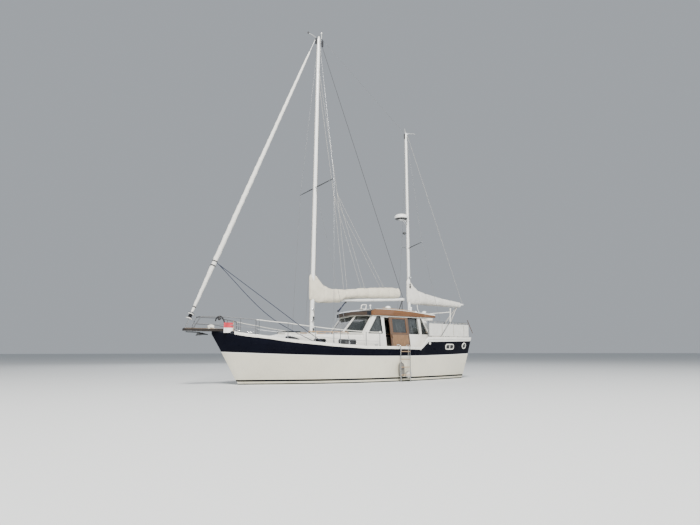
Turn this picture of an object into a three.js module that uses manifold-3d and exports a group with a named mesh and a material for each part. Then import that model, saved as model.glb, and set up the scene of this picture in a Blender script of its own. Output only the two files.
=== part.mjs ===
// A ten metre pilothouse ketch: a long-keeled motor sailer afloat, with both sails stowed.
// Millimetres. +X points to the bow, +Y to port, +Z up; the origin lies on the centreline at the waterline.

import * as THREE from 'three';
import { mergeVertices } from 'three/addons/utils/BufferGeometryUtils.js';
import Module from 'manifold-3d';

const wasm = await Module();
wasm.setup();

// Driving dimensions

const GAP = 0.3; // between two pieces that rest on each other
const PORT = 1;
const STARBOARD = -1;
const SIDES = [['port', PORT], ['starboard', STARBOARD]];

// Hull sections, bow to stern. Columns: x, half breadth at the sheer, sheer height,
// half breadth at the waterline (or at the stem's root), height of the canoe body's bottom.
const HULL_SECTIONS = [
  [5262, 26, 1612, 16, 1545],
  [5000, 285, 1532, 16, 1120],
  [4650, 545, 1440, 16, 520],
  [4350, 715, 1376, 20, 25],
  [4000, 885, 1318, 150, -230],
  [3500, 1085, 1255, 390, -400],
  [3000, 1245, 1203, 620, -520],
  [2300, 1415, 1150, 910, -625],
  [1600, 1525, 1110, 1130, -690],
  [900, 1590, 1075, 1290, -725],
  [400, 1615, 1052, 1360, -735],
  [-400, 1630, 1052, 1410, -725],
  [-1200, 1615, 1052, 1410, -685],
  [-1800, 1588, 1052, 1370, -630],
  [-2260, 1552, 1450, 1312, -571],
  [-3000, 1480, 1460, 1190, -450],
  [-3600, 1410, 1466, 1060, -325],
  [-4150, 1335, 1470, 920, -190],
  [-4550, 1265, 1473, 820, -90],
];
const HULL_JOINTS = { fore: 500, aft: -2330 };
const TRANSOM_LEAN = -0.09; // the transom's step aft for each millimetre up
const BOTTOM_STEPS = 6;
const TOPSIDE_STEPS = 4;
const TOPSIDE_FLARE = 0.85;
const BILGE_FULLNESS = { across: 1.95, down: 1.0 };

// Keel waterplanes. Columns: height, leading edge x, half thickness.
const KEEL_LEVELS = [
  [-120, 3350, 200],
  [-700, 2750, 170],
  [-1200, 1900, 130],
  [-1550, 1150, 95],
];
const KEEL_AFT_X = -3365;
const KEEL_BOTTOM = -1550;
// Keel waterplane outline. Columns: share of the length behind the nose, share of the half thickness.
const KEEL_PLAN = [[0, 0], [0.03, 0.4], [0.14, 0.78], [0.4, 1], [0.78, 0.8], [1, 0.3]];

const SHAFT_Z = -800;
const PROPELLER = { x: -3130, radius: 230, hubRadius: 42, hubLength: 110, blades: 3 };
const APERTURE = { front: -2990, bottom: -1080, top: -500 };
const RUDDER = { axisX: -3420, aftX: -4020, top: -470, bottom: -1494, stockRadius: 24, stockTop: -60 };

// Decks
const SHEER_MIDSHIPS = 1052;
const BULWARK = 60;
const DECK_DROP = 60; // from the sheer down to the moulded deck
const DECK_THICKNESS = 25;
const HOUSE_BASE = SHEER_MIDSHIPS - DECK_DROP;
const SIDE_DECK_FRONT = 4950;
const SIDE_DECK_AFT = -2300;
const AFT_DECK_FRONT = -2360;
const AFT_DECK_AFT = -4600;
const RAIL_HEIGHT = 90;
const RAIL_OVERHANG = 12;

// Trunk cabin sections. Columns: x, half width at the deck, edge height.
const TRUNK_SECTIONS = [
  [376, 1274, 1590],
  [1600, 1165, 1580],
  [2630, 975, 1556],
  [3060, 870, 1535],
  [3380, 770, 1290],
];
const TUMBLEHOME = 0.16; // how far each side leans in for each millimetre up
const TRUNK_CAMBER = 48;
const TRUNK_WALL = 45;
const FORE_HATCH = { front: 2880, aft: 2330, half: 275, top: 1650, lid: 38 };

// Pilothouse
const HOUSE = {
  half: 1080, wall: 45, frontX: 372, sillZ: 1700, sillDrop: 70, roofZ: 2270, roofCamber: 60,
  frontTopX: -100, centreBulge: 88, aftX: -2720, aftKneeZ: 1560, aftTopX: -2490,
};
const DOORWAY = { front: -560, aft: -1360, bottom: 1080, top: 2205 };
const DOOR = { front: -540, aft: -1390, bottom: 1066, top: 2228, inner: 1087, thickness: 32 };
const DOOR_AJAR = { port: -220, starboard: 0 }; // how far aft each door is slid
const DOOR_TRACK = { front: -470, aft: -2275, inner: HOUSE.half, outer: 1126 };

// Spars
const MAST = { footX: 1730, footZ: 1662, headX: 1556, headZ: 12790, footHalf: 78, headHalf: 60, width: 0.74 };
const MIZZEN = { x: -2660, footZ: 2480, headZ: 9970, footHalf: 60, headHalf: 46, width: 0.8 };
const MAIN_BOOM = { pinX: 1580, pinZ: 2775, endX: -2400, endZ: 3030, radius: 55 };
const MIZZEN_BOOM = { pinX: -2785, pinZ: 2935, endX: -5630, endZ: 2975, radius: 42 };
const SPREADER_Z = 6870;
const SPREADER_HALF = 1200;
const MIZZEN_SPREADER_Z = 5100;
const MIZZEN_SPREADER_HALF = 610;
const WIRE = 5; // radius of the standing rigging
const RAIL_TUBE = 13;

// Colours
const FINISH = {
  gelcoat: { color: 0xeae7d6, roughness: 0.35, metalness: 0 },
  white: { color: 0xf1f0ea, roughness: 0.4, metalness: 0 },
  teak: { color: 0x9a7350, roughness: 0.7, metalness: 0 },
  varnish: { color: 0x8a5a34, roughness: 0.35, metalness: 0 },
  steel: { color: 0xb9bcc0, roughness: 0.25, metalness: 1 },
  galvanised: { color: 0x4a4c4f, roughness: 0.6, metalness: 0.8 },
  sparWhite: { color: 0xf0f1f0, roughness: 0.35, metalness: 0.1 },
  canvas: { color: 0xe4dcc2, roughness: 0.9, metalness: 0 },
  sailcloth: { color: 0xf2f1ec, roughness: 0.85, metalness: 0 },
  glass: { color: 0x22282c, roughness: 0.08, metalness: 0 },
  bronze: { color: 0x9a7a3c, roughness: 0.4, metalness: 1 },
  black: { color: 0x1b1c1e, roughness: 0.6, metalness: 0 },
  engine: { color: 0x3f6a52, roughness: 0.5, metalness: 0.3 },
  upholstery: { color: 0x40536b, roughness: 0.95, metalness: 0 },
  grey: { color: 0x6d6a62, roughness: 0.75, metalness: 0 },
};

// Solids

function toSolid(geometry) {
  const bare = geometry.clone();
  bare.deleteAttribute('normal');
  bare.deleteAttribute('uv');
  const merged = mergeVertices(bare, 1e-3);
  return new wasm.Manifold(new wasm.Mesh({
    numProp: 3,
    vertProperties: new Float32Array(merged.attributes.position.array),
    triVerts: new Uint32Array(merged.index.array),
  }));
}

function toGeometry(solid) {
  const mesh = solid.getMesh();
  const geometry = new THREE.BufferGeometry();
  geometry.setAttribute('position', new THREE.BufferAttribute(new Float32Array(mesh.vertProperties), 3));
  geometry.setIndex(new THREE.BufferAttribute(new Uint32Array(mesh.triVerts), 1));
  geometry.computeVertexNormals();
  return geometry;
}

function join(...geometries) {
  return toGeometry(geometries.map(toSolid).reduce((whole, piece) => whole.add(piece)));
}

function cut(body, ...tools) {
  return toGeometry(tools.map(toSolid).reduce((whole, tool) => whole.subtract(tool), toSolid(body)));
}

function common(one, other) {
  return toGeometry(toSolid(one).intersect(toSolid(other)));
}

function block(x0, x1, y0, y1, z0, z1) {
  const geometry = new THREE.BoxGeometry(Math.abs(x1 - x0), Math.abs(y1 - y0), Math.abs(z1 - z0));
  return geometry.translate((x0 + x1) / 2, (y0 + y1) / 2, (z0 + z1) / 2);
}

// A solid skinned over rings of equally many points, closed by a flat cap at each end.
function loft(rings) {
  const count = rings[0].length;
  const positions = rings.flat().flatMap((point) => [point.x, point.y, point.z]);
  const index = [];
  for (let ring = 0; ring + 1 < rings.length; ring += 1) {
    for (let i = 0; i < count; i += 1) {
      const a = ring * count + i;
      const b = ring * count + ((i + 1) % count);
      index.push(a, b, b + count, a, b + count, a + count);
    }
  }
  const capOf = (ring, first, flip) => {
    const normal = new THREE.Vector3();
    ring.forEach((point, i) => {
      const next = ring[(i + 1) % count];
      normal.add(new THREE.Vector3().crossVectors(point, next));
    });
    normal.normalize();
    const across = Math.abs(normal.z) > 0.7 ? new THREE.Vector3(1, 0, 0) : new THREE.Vector3(0, 0, 1);
    const u = new THREE.Vector3().crossVectors(across, normal).normalize();
    const v = new THREE.Vector3().crossVectors(normal, u);
    const flat = ring.map((point) => new THREE.Vector2(point.dot(u), point.dot(v)));
    for (const [a, b, c] of THREE.ShapeUtils.triangulateShape(flat, [])) {
      index.push(...(flip ? [first + a, first + c, first + b] : [first + a, first + b, first + c]));
    }
  };
  capOf(rings[0], 0, true);
  capOf(rings[rings.length - 1], (rings.length - 1) * count, false);
  const geometry = new THREE.BufferGeometry();
  geometry.setAttribute('position', new THREE.Float32BufferAttribute(positions, 3));
  geometry.setIndex(index);
  const solid = toSolid(geometry);
  return solid.volume() < 0 ? toGeometry(toSolid(turnedInsideOut(geometry))) : geometry;
}

function turnedInsideOut(geometry) {
  const index = Array.from(geometry.index.array);
  for (let i = 0; i < index.length; i += 3) {
    [index[i + 1], index[i + 2]] = [index[i + 2], index[i + 1]];
  }
  const flipped = geometry.clone();
  flipped.setIndex(index);
  return flipped;
}

const point = (x, y, z) => new THREE.Vector3(x, y, z);

// A plate with its outline in the XZ plane, from y0 to y1, with any openings cut through it.
function plateXZ(outline, y0, y1, openings = []) {
  const shape = new THREE.Shape(outline.map(([x, z]) => new THREE.Vector2(x, z)));
  const geometry = new THREE.ExtrudeGeometry(shape, { depth: Math.abs(y1 - y0), bevelEnabled: false });
  const plate = geometry.rotateX(Math.PI / 2).translate(0, Math.max(y0, y1), 0);
  if (openings.length === 0) {
    return plate;
  }
  const [low, high] = [Math.min(y0, y1) - 10, Math.max(y0, y1) + 10];
  return cut(plate, ...openings.map((opening) => plateXZ(opening, low, high)));
}

// A plate with its outline in the XY plane, from z0 to z1.
function plateXY(outline, z0, z1) {
  const shape = new THREE.Shape(outline.map(([x, y]) => new THREE.Vector2(x, y)));
  const geometry = new THREE.ExtrudeGeometry(shape, { depth: z1 - z0, bevelEnabled: false });
  return geometry.translate(0, 0, z0);
}

// A rod whose radius follows a table of [share of the length, radius], pointed at neither end.
function spindle(from, to, stations, sides = 8) {
  const axis = to.clone().sub(from);
  const length = axis.length();
  const profile = [
    new THREE.Vector2(0, stations[0][0] * length),
    ...stations.map(([share, radius]) => new THREE.Vector2(radius, share * length)),
    new THREE.Vector2(0, stations[stations.length - 1][0] * length),
  ];
  const geometry = new THREE.LatheGeometry(profile, sides);
  const turn = new THREE.Quaternion().setFromUnitVectors(point(0, 1, 0), axis.normalize());
  return geometry.applyQuaternion(turn).translate(from.x, from.y, from.z);
}

const rod = (from, to, radius, sides = 8) => spindle(from, to, [[0, radius], [1, radius]], sides);

// A bent tube: straight rods with a ball at every bend.
function tube(points, radius, sides = 6) {
  const pieces = [];
  for (let i = 0; i + 1 < points.length; i += 1) {
    pieces.push(rod(points[i], points[i + 1], radius, sides));
    if (i > 0) {
      pieces.push(new THREE.SphereGeometry(radius * 1.08, sides, 4).translate(...points[i].toArray()));
    }
  }
  return join(...pieces);
}

// The radius of a faceted bore that clears a round pin of the given radius at every angle.
const boreRadius = (pin, sides) => (pin + GAP) / Math.cos(Math.PI / sides);

const mirrored = (outline, side) => outline.map(([x, y]) => [x, y * side]);

const parts = new THREE.Group();

function add(name, geometry, finish) {
  const mesh = new THREE.Mesh(geometry, new THREE.MeshStandardMaterial(FINISH[finish]));
  mesh.name = name;
  parts.add(mesh);
  return mesh;
}

// The sheer line

const SHEER_LINE = HULL_SECTIONS.map(([x, half, height], i) => {
  const lean = i === HULL_SECTIONS.length - 1 ? TRANSOM_LEAN : 0;
  return [x + lean * height, half, height];
});

function along(table, x, column) {
  const reached = table.findIndex((row) => row[0] <= x);
  const i = reached < 0 ? table.length - 1 : Math.max(1, reached);
  const [near, far] = [table[i - 1], table[i]];
  const share = (near[0] - x) / (near[0] - far[0]);
  return near[column] + share * (far[column] - near[column]);
}

const halfBreadth = (x) => along(SHEER_LINE, x, 1);
const sheerAt = (x) => along(SHEER_LINE, x, 2);
const railTopAt = (x) => sheerAt(x) + RAIL_HEIGHT;
const sideDeckFloor = (x) => (x < -1800 ? SHEER_MIDSHIPS : sheerAt(x)) - DECK_DROP;
const stationsBetween = (front, aft) => [
  front,
  ...SHEER_LINE.map(([x]) => x).filter((x) => x < front - 1 && x > aft + 1),
  aft,
];

// A level-bottomed strip across the boat that follows the sheer line.
function deckSlab(front, aft, inset, low, high) {
  return loft(stationsBetween(front, aft).map((x) => {
    const half = Math.max(halfBreadth(x) - inset, 4);
    return [[-half, low(x)], [half, low(x)], [half, high(x)], [-half, high(x)]]
      .map(([y, z]) => point(x, y, z));
  }));
}

// Hull

function hullRing([x, half, sheer, waterline, bottom], last) {
  const turnZ = bottom > 0 ? bottom + 18 : 0;
  const lean = last ? TRANSOM_LEAN : 0;
  const side = [];
  for (let i = 1; i <= BOTTOM_STEPS; i += 1) {
    const angle = (i / BOTTOM_STEPS) * (Math.PI / 2);
    side.push([
      waterline * Math.sin(angle) ** BILGE_FULLNESS.across,
      bottom + (turnZ - bottom) * (1 - Math.cos(angle)) ** BILGE_FULLNESS.down,
    ]);
  }
  for (let i = 1; i <= TOPSIDE_STEPS; i += 1) {
    const share = i / TOPSIDE_STEPS;
    side.push([waterline + (half - waterline) * share ** TOPSIDE_FLARE, turnZ + (sheer - turnZ) * share]);
  }
  const ring = [
    ...side.slice().reverse().map(([y, z]) => [-y, z]),
    [0, bottom],
    ...side,
  ];
  return ring.map(([y, z]) => point(x + lean * z, y, z));
}

function keelRing([z, front, half]) {
  const length = front - KEEL_AFT_X;
  const side = KEEL_PLAN.slice(1).map(([share, width]) => [front - share * length, half * width]);
  return [
    [front, 0],
    ...side,
    ...side.slice().reverse().map(([x, y]) => [x, -y]),
  ].map(([x, y]) => point(x, y, z));
}

const TRUNK_PLAN = [
  ...TRUNK_SECTIONS.map(([x, half]) => [x, half]),
  ...TRUNK_SECTIONS.slice().reverse().map(([x, half]) => [x, -half]),
];
const houseLean = (z) => TUMBLEHOME * (HOUSE.roofZ - z);
const HOUSE_FOOT = HOUSE.half + houseLean(HOUSE_BASE);
const HOUSE_PLAN = [
  [HOUSE.frontX + 3, HOUSE_FOOT], [HOUSE.frontX + 3, -HOUSE_FOOT],
  [HOUSE.aftX, -HOUSE_FOOT], [HOUSE.aftX, HOUSE_FOOT],
];
const grown = (outline, by) => {
  const xs = outline.map(([x]) => x);
  const middle = (Math.max(...xs) + Math.min(...xs)) / 2;
  return outline.map(([x, y]) => [x + Math.sign(x - middle) * by, y + Math.sign(y) * by]);
};
// Both deckhouses as solids whose sides lean in from their plans at the deck.
const houseCut = (by) => [TRUNK_PLAN, HOUSE_PLAN].map((plan) => loft([HOUSE_BASE, 3000].map((z) => (
  grown(plan, by - TUMBLEHOME * (z - HOUSE_BASE)).map(([, y], i) => point(grown(plan, by)[i][0], y, z))))));

const SALOON = { front: 300, aft: -2600, half: 1000, sole: 350 };
const FORE_CABIN = { front: 2980, aft: 720, half: 520, sole: 300 };
const ENGINE_BAY = { front: -600, aft: -1800, half: 400, bed: -450 };
const AFT_HATCH = { front: -3330, aft: -3930, half: 300, lid: 34, well: 700 };

const roomCut = (room, floor, top) => block(room.front, room.aft, -room.half, room.half, floor, top);
const aftDeckFloor = (x) => sheerAt(x) - DECK_DROP;
const HIGH = () => 3000;

const heelShoe = block(KEEL_AFT_X + 200, RUDDER.axisX - 80, -34, 34, KEEL_BOTTOM, RUDDER.bottom - 6);
const stockBore = rod(point(RUDDER.axisX, 0, -700), point(RUDDER.axisX, 0, RUDDER.stockTop + 20),
  boreRadius(RUDDER.stockRadius, 24), 24);
const shaftBore = rod(point(-3000, 0, SHAFT_Z), point(-2380, 0, SHAFT_Z), boreRadius(18, 24), 24);
const apertureCut = block(APERTURE.front, KEEL_AFT_X - 40, -300, 300, APERTURE.bottom, APERTURE.top);

const canoeBody = loft(HULL_SECTIONS.map((row, i) => hullRing(row, i === HULL_SECTIONS.length - 1)));
const wholeHull = cut(
  canoeBody,
  deckSlab(SIDE_DECK_FRONT, SIDE_DECK_AFT, -BULWARK, sideDeckFloor, HIGH),
  deckSlab(AFT_DECK_FRONT, AFT_DECK_AFT, -BULWARK, aftDeckFloor, HIGH),
  ...houseCut(GAP),
  roomCut(SALOON, SALOON.sole, 3000),
  roomCut(FORE_CABIN, FORE_CABIN.sole, 3000),
  roomCut(ENGINE_BAY, ENGINE_BAY.bed, SALOON.sole + 1),
  roomCut(AFT_HATCH, AFT_HATCH.well, 3000),
  stockBore,
);

// The hull in three lengths. Columns: name, forward end, after end.
const HULL_LENGTHS = [
  ['hull_fore', 6000, HULL_JOINTS.fore],
  ['hull_middle', HULL_JOINTS.fore - GAP, HULL_JOINTS.aft],
  ['hull_stern', HULL_JOINTS.aft - GAP, -6000],
];
for (const [name, front, aft] of HULL_LENGTHS) {
  add(name, cut(
    wholeHull,
    block(front, 7000, -3000, 3000, -2000, 4000),
    block(aft, -7000, -3000, 3000, -2000, 4000),
  ), 'gelcoat');
}
add('keel', cut(
  join(cut(loft(KEEL_LEVELS.map(keelRing)), apertureCut), heelShoe),
  canoeBody.clone().translate(0, 0, -GAP),
  shaftBore,
), 'gelcoat');

// The bulwark stands on the deck's edge and carries the cap rail.
const railOuter = deckSlab(5272, SHEER_LINE[SHEER_LINE.length - 1][0] - 4, -RAIL_OVERHANG,
  (x) => sheerAt(x) + GAP, railTopAt);
const railInner = deckSlab(5110, AFT_DECK_AFT - 18, BULWARK,
  (x) => sheerAt(x) - 50, (x) => railTopAt(x) + 60);
const raisedBody = canoeBody.clone().translate(0, 0, 2 * GAP);
const bulwark = (front, aft, floor) => cut(
  common(raisedBody, deckSlab(front - GAP, aft + GAP, -BULWARK, (x) => floor(x) + GAP, HIGH)),
  deckSlab(front + 10, aft - 10, BULWARK, (x) => floor(x) - 10, HIGH),
);

// Bow platform: a plank over the stem. Columns of its outline: x, half width.
const PLATFORM = { bottom: 1640, top: 1710, outline: [[6140, 90], [6090, 150], [5500, 215], [4860, 245]] };
const platformPlan = (by) => [
  ...PLATFORM.outline.map(([x, y]) => [x, y + by]),
  ...PLATFORM.outline.slice().reverse().map(([x, y]) => [x, -y - by]),
];

add('cap_rail', join(
  cut(railOuter, railInner, plateXY(platformPlan(GAP), PLATFORM.bottom - GAP, 1900)),
  bulwark(SIDE_DECK_FRONT, SIDE_DECK_AFT, sideDeckFloor),
  bulwark(AFT_DECK_FRONT, AFT_DECK_AFT, aftDeckFloor),
), 'white');
add('bow_platform', cut(
  plateXY(platformPlan(0), PLATFORM.bottom, PLATFORM.top),
  block(5740, 6000, -28, 28, 1500, 1800),
), 'teak');

const deckBoards = (front, aft, floor) => deckSlab(front, aft, BULWARK + GAP,
  (x) => floor(x) + GAP, (x) => floor(x) + DECK_THICKNESS);
add('side_deck', cut(
  deckBoards(SIDE_DECK_FRONT - GAP, SIDE_DECK_AFT + GAP, sideDeckFloor),
  ...houseCut(2 * GAP),
), 'teak');
const COAMING = { top: 1498, low: 1415, wall: 28 };
const coaming = block(AFT_HATCH.front + COAMING.wall, AFT_HATCH.aft - COAMING.wall,
  -AFT_HATCH.half - COAMING.wall, AFT_HATCH.half + COAMING.wall, COAMING.low, COAMING.top);
add('aft_deck', cut(
  join(deckBoards(AFT_DECK_FRONT - GAP, AFT_DECK_AFT + GAP, aftDeckFloor), coaming),
  ...houseCut(2 * GAP),
  roomCut(AFT_HATCH, 0, 3000),
), 'teak');
add('aft_hatch', block(AFT_HATCH.front + 45, AFT_HATCH.aft - 45, -AFT_HATCH.half - 45, AFT_HATCH.half + 45,
  COAMING.top + GAP, COAMING.top + GAP + AFT_HATCH.lid), 'varnish');

// Ground tackle

add('windlass', join(
  block(5180, 5420, -80, 80, PLATFORM.top + GAP, PLATFORM.top + 110),
  rod(point(5300, -150, PLATFORM.top + 70), point(5300, 150, PLATFORM.top + 70), 55, 12),
), 'white');

add('bow_anchor', join(
  rod(point(6040, 0, 1600), point(5560, 0, 1590), 16),
  block(5980, 5800, -48, 48, 1560, PLATFORM.bottom - GAP),
  loft([
    [point(5700, 0, 1600), point(5700, 190, 1500), point(5700, 0, 1560), point(5700, -190, 1500)],
    [point(5400, 0, 1560), point(5400, 40, 1530), point(5400, 0, 1540), point(5400, -40, 1530)],
  ]),
), 'galvanised');

// Pulpit and guard rails

const POST_SEAT = 15; // half the width of a post's footprint on the sloping rail
const seatOnRail = (x) => Math.max(railTopAt(x + POST_SEAT), railTopAt(x - POST_SEAT)) + GAP;
const railPost = (x, side, inset = 26) => point(x, side * (halfBreadth(x) - inset), seatOnRail(x));
const raised = (seat, by) => seat.clone().add(point(0, 0, by));
const PULPIT = {
  aftX: 4150, braceX: 4560, kneeX: 4950, noseX: 5690, footX: 5860, height: 2070, aftHeight: 1995,
};
const pulpitSide = (side) => [
  point(PULPIT.footX, side * 110, PLATFORM.top + GAP),
  point(PULPIT.footX, side * 110, PLATFORM.top + 24),
  point(PULPIT.noseX, side * 215, PULPIT.height),
  point(PULPIT.kneeX, side * 335, PULPIT.height),
  point(PULPIT.aftX, side * (halfBreadth(PULPIT.aftX) - 20), PULPIT.aftHeight),
  railPost(PULPIT.aftX, side, 20),
];
const pulpitBrace = (side) => {
  const [, , , knee, end] = pulpitSide(side);
  const top = knee.clone().lerp(end, (PULPIT.kneeX - PULPIT.braceX) / (PULPIT.kneeX - PULPIT.aftX));
  const seat = railPost(PULPIT.braceX, side);
  return [top, raised(seat, 24), seat];
};

add('pulpit', join(
  ...SIDES.flatMap(([, side]) => [tube(pulpitSide(side), RAIL_TUBE), tube(pulpitBrace(side), RAIL_TUBE - 2)]),
  rod(point(PULPIT.noseX, -215, PULPIT.height), point(PULPIT.noseX, 215, PULPIT.height), RAIL_TUBE),
), 'steel');

// Guard rail posts. Columns: x, height of the upper wire.
const GUARD_POSTS = [[4060, 1985], [3230, 1898], [2380, 1795], [1520, 1722], [555, 1672], [0, 1662]];
const GUARD_DROP = 300; // from the upper wire to the lower one

function guardRail(side) {
  const tops = GUARD_POSTS.map(([x, z]) => point(x, side * (halfBreadth(x) - 26), z));
  const lines = [];
  for (let i = 0; i + 1 < tops.length; i += 1) {
    const drop = point(0, 0, -GUARD_DROP);
    lines.push(rod(tops[i], tops[i + 1], 6, 6));
    lines.push(rod(tops[i].clone().add(drop), tops[i + 1].clone().add(drop), 6, 6));
  }
  return join(
    ...tops.map((top, i) => rod(railPost(GUARD_POSTS[i][0], side), top.clone().add(point(0, 0, 14)), 12)),
    ...lines,
  );
}
SIDES.forEach(([name, side]) => add(`guard_rail_${name}`, guardRail(side), 'steel'));

// Stern rail, with its weather cloths outside the posts. Columns: x, y on the port side.
const STERN_RAIL_Z = 2110;
const STERN_PLAN = [-2270, -3180, -3900, -4560].map((x) => [x, halfBreadth(x) - 24]).concat([[-4650, 1130]]);
const sternLoop = [...STERN_PLAN, ...mirrored(STERN_PLAN, STARBOARD).reverse()];

add('stern_rail', join(
  tube(sternLoop.map(([x, y]) => point(x, y, STERN_RAIL_Z)), RAIL_TUBE + 3),
  ...sternLoop.filter((_, i) => i !== 4 && i !== 5).map(([x, y]) => rod(
    point(x, y, seatOnRail(x)), point(x, y, STERN_RAIL_Z), 12)),
  ...SIDES.map(([, side]) => rod(point(-4650, side * 400, seatOnRail(-4650)),
    point(-4650, side * 400, STERN_RAIL_Z), 12)),
), 'steel');

const CLOTH = { low: 1582, high: 2035, offset: 16.3, thickness: 8 };
function offsetOutward(loop, by) {
  return loop.map(([x, y], i) => {
    const [px, py] = loop[Math.max(i - 1, 0)];
    const [nx, ny] = loop[Math.min(i + 1, loop.length - 1)];
    const length = Math.hypot(nx - px, ny - py);
    return [x + ((ny - py) / length) * by, y - ((nx - px) / length) * by];
  });
}
add('weather_cloth', plateXY([
  ...offsetOutward(sternLoop, CLOTH.offset),
  ...offsetOutward(sternLoop, CLOTH.offset + CLOTH.thickness).reverse(),
], CLOTH.low, CLOTH.high), 'sailcloth');

// Boarding ladder and fenders on the port side

const LADDER = { front: -735, aft: -1150, y: 1785, low: -130, high: 1250, rungs: 5 };
const ladderRail = (x) => [
  point(x, LADDER.y, LADDER.low), point(x, LADDER.y, LADDER.high),
  point(x, halfBreadth(x) - 22, LADDER.high), railPost(x, PORT, 22),
];
const rungHeights = Array.from({ length: LADDER.rungs }, (_, i) => LADDER.low + 90 + i * 262);
add('boarding_ladder', join(
  tube(ladderRail(LADDER.front), 15),
  tube(ladderRail(LADDER.aft), 15),
  ...rungHeights.map((z) => block(LADDER.front, LADDER.aft, LADDER.y - 24, LADDER.y + 24, z, z + 22)),
), 'steel');

// Trunk cabin

const TRUNK_SHOULDER = 70;
function trunkRing([x, half, edge], inset) {
  const [low, top] = [HOUSE_BASE + GAP - (inset ? 60 : 0), edge - inset];
  const foot = half - inset - TUMBLEHOME * (low - HOUSE_BASE);
  const shoulder = half - inset - TUMBLEHOME * (top - TRUNK_SHOULDER - HOUSE_BASE);
  return [
    [-foot, low], [foot, low],
    [shoulder, top - TRUNK_SHOULDER], [shoulder - TRUNK_SHOULDER, top],
    [0, top + TRUNK_CAMBER],
    [-shoulder + TRUNK_SHOULDER, top], [-shoulder, top - TRUNK_SHOULDER],
  ].map(([y, z]) => point(x, y, z));
}
const trunkOuter = loft(TRUNK_SECTIONS.map((row) => trunkRing(row, 0)));
const trunkInner = loft([
  [330, 1274, 1590], ...TRUNK_SECTIONS.slice(1, 4), [3300, 795, 1345],
].map((row) => trunkRing(row, TRUNK_WALL)));
const hatchFrame = block(FORE_HATCH.front, FORE_HATCH.aft, -FORE_HATCH.half, FORE_HATCH.half, 1500,
  FORE_HATCH.top - GAP);
const hatchHole = block(FORE_HATCH.front - 45, FORE_HATCH.aft + 45,
  -FORE_HATCH.half + 45, FORE_HATCH.half - 45, 1300, 1800);
const mastStep = block(MAST.footX - 130, MAST.footX + 130, -110, 110, 1560, MAST.footZ - GAP);
add('trunk_cabin', cut(join(cut(trunkOuter, trunkInner), hatchFrame, mastStep), hatchHole), 'white');
add('fore_hatch', block(FORE_HATCH.front + 12, FORE_HATCH.aft - 12,
  -FORE_HATCH.half - 12, FORE_HATCH.half + 12, FORE_HATCH.top, FORE_HATCH.top + FORE_HATCH.lid), 'glass');

// Pilothouse walls

const WINDOWS = {
  fore: [[172, 1645], [-266, 2240], [-418, 2240], [-440, 1645]],
  mid: [[-1650, 1645], [-1650, 2240], [-2100, 2240], [-2125, 1645]],
  quarter: [[-2250, 1645], [-2250, 2225], [-2288, 2225], [-2550, 1645]],
  doorway: [[DOORWAY.front, DOORWAY.bottom], [DOORWAY.front, DOORWAY.top],
    [DOORWAY.aft, DOORWAY.top], [DOORWAY.aft, DOORWAY.bottom]],
};
const SIDE_OUTLINE = [
  [HOUSE.frontX, HOUSE_BASE + GAP], [HOUSE.frontX, HOUSE.sillZ - HOUSE.sillDrop],
  [HOUSE.frontTopX, HOUSE.roofZ],
  [HOUSE.aftTopX, HOUSE.roofZ], [HOUSE.aftX, HOUSE.aftKneeZ], [HOUSE.aftX, HOUSE_BASE + GAP],
];
// An outline that runs from its low forward corner up and aft, with every edge moved in.
function shrunk(outline, by) {
  const edges = outline.map(([x, z], i) => {
    const next = outline[(i + 1) % outline.length];
    const [dx, dz] = [next[0] - x, next[1] - z];
    const share = by / Math.hypot(dx, dz);
    return { x: x - dz * share, z: z + dx * share, dx, dz };
  });
  return edges.map((edge, i) => {
    const before = edges[(i + edges.length - 1) % edges.length];
    const cross = before.dx * edge.dz - before.dz * edge.dx;
    const reach = ((edge.x - before.x) * edge.dz - (edge.z - before.z) * edge.dx) / cross;
    return [before.x + before.dx * reach, before.z + before.dz * reach];
  });
}
// A piece of a side drawn upright at the roof's height, leant to the side's slope.
const leant = (geometry, side) => geometry
  .applyMatrix4(new THREE.Matrix4().makeShear(0, 0, 0, 0, 0, -side * TUMBLEHOME))
  .translate(0, side * TUMBLEHOME * HOUSE.roofZ, 0);
const GLASS = 8;
const WALL_IN = HOUSE.half - HOUSE.wall;

for (const [name, side] of SIDES) {
  const wall = plateXZ(SIDE_OUTLINE, side * WALL_IN, side * HOUSE.half, Object.values(WINDOWS));
  const tracks = [[1042, DOOR.bottom - GAP], [DOOR.top + 6, DOOR.top + 30]].map(([low, high]) => block(
    DOOR_TRACK.front, DOOR_TRACK.aft, side * (DOOR_TRACK.inner - 1), side * DOOR_TRACK.outer, low, high));
  add(`pilothouse_side_${name}`, leant(join(wall, ...tracks), side), 'white');
  const middle = side * (HOUSE.half - 20);
  add(`side_glass_fore_${name}`, leant(
    plateXZ(shrunk(WINDOWS.fore, GAP), middle, middle - side * GLASS), side), 'glass');
  add(`side_glass_aft_${name}`, leant(plateXZ(
    [[-1605, 1610], [-1605, 2258], [-2400, 2258], [-2640, 1650], [-2640, 1610]],
    side * (WALL_IN - GAP), side * (WALL_IN - GAP - GLASS)), side), 'glass');

  const front = DOOR.front + DOOR_AJAR[name];
  const aft = DOOR.aft + DOOR_AJAR[name];
  const doorOutline = [[front, DOOR.bottom], [front, DOOR.top], [aft, DOOR.top], [aft, DOOR.bottom]];
  const lite = [[front - 110, 1665], [front - 110, 2180], [aft + 110, 2180], [aft + 110, 1665]];
  const inner = side * DOOR.inner;
  const outer = side * (DOOR.inner + DOOR.thickness);
  add(`door_${name}`, leant(join(
    plateXZ(doorOutline, inner, outer, [lite]),
    block(front - 40, front - 66, outer - side * 2, outer + side * 30, 1500, 1620),
  ), side), 'varnish');
  add(`door_glass_${name}`, leant(
    plateXZ(shrunk(lite, GAP), inner + side * 12, inner + side * 20), side), 'glass');
}

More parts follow.
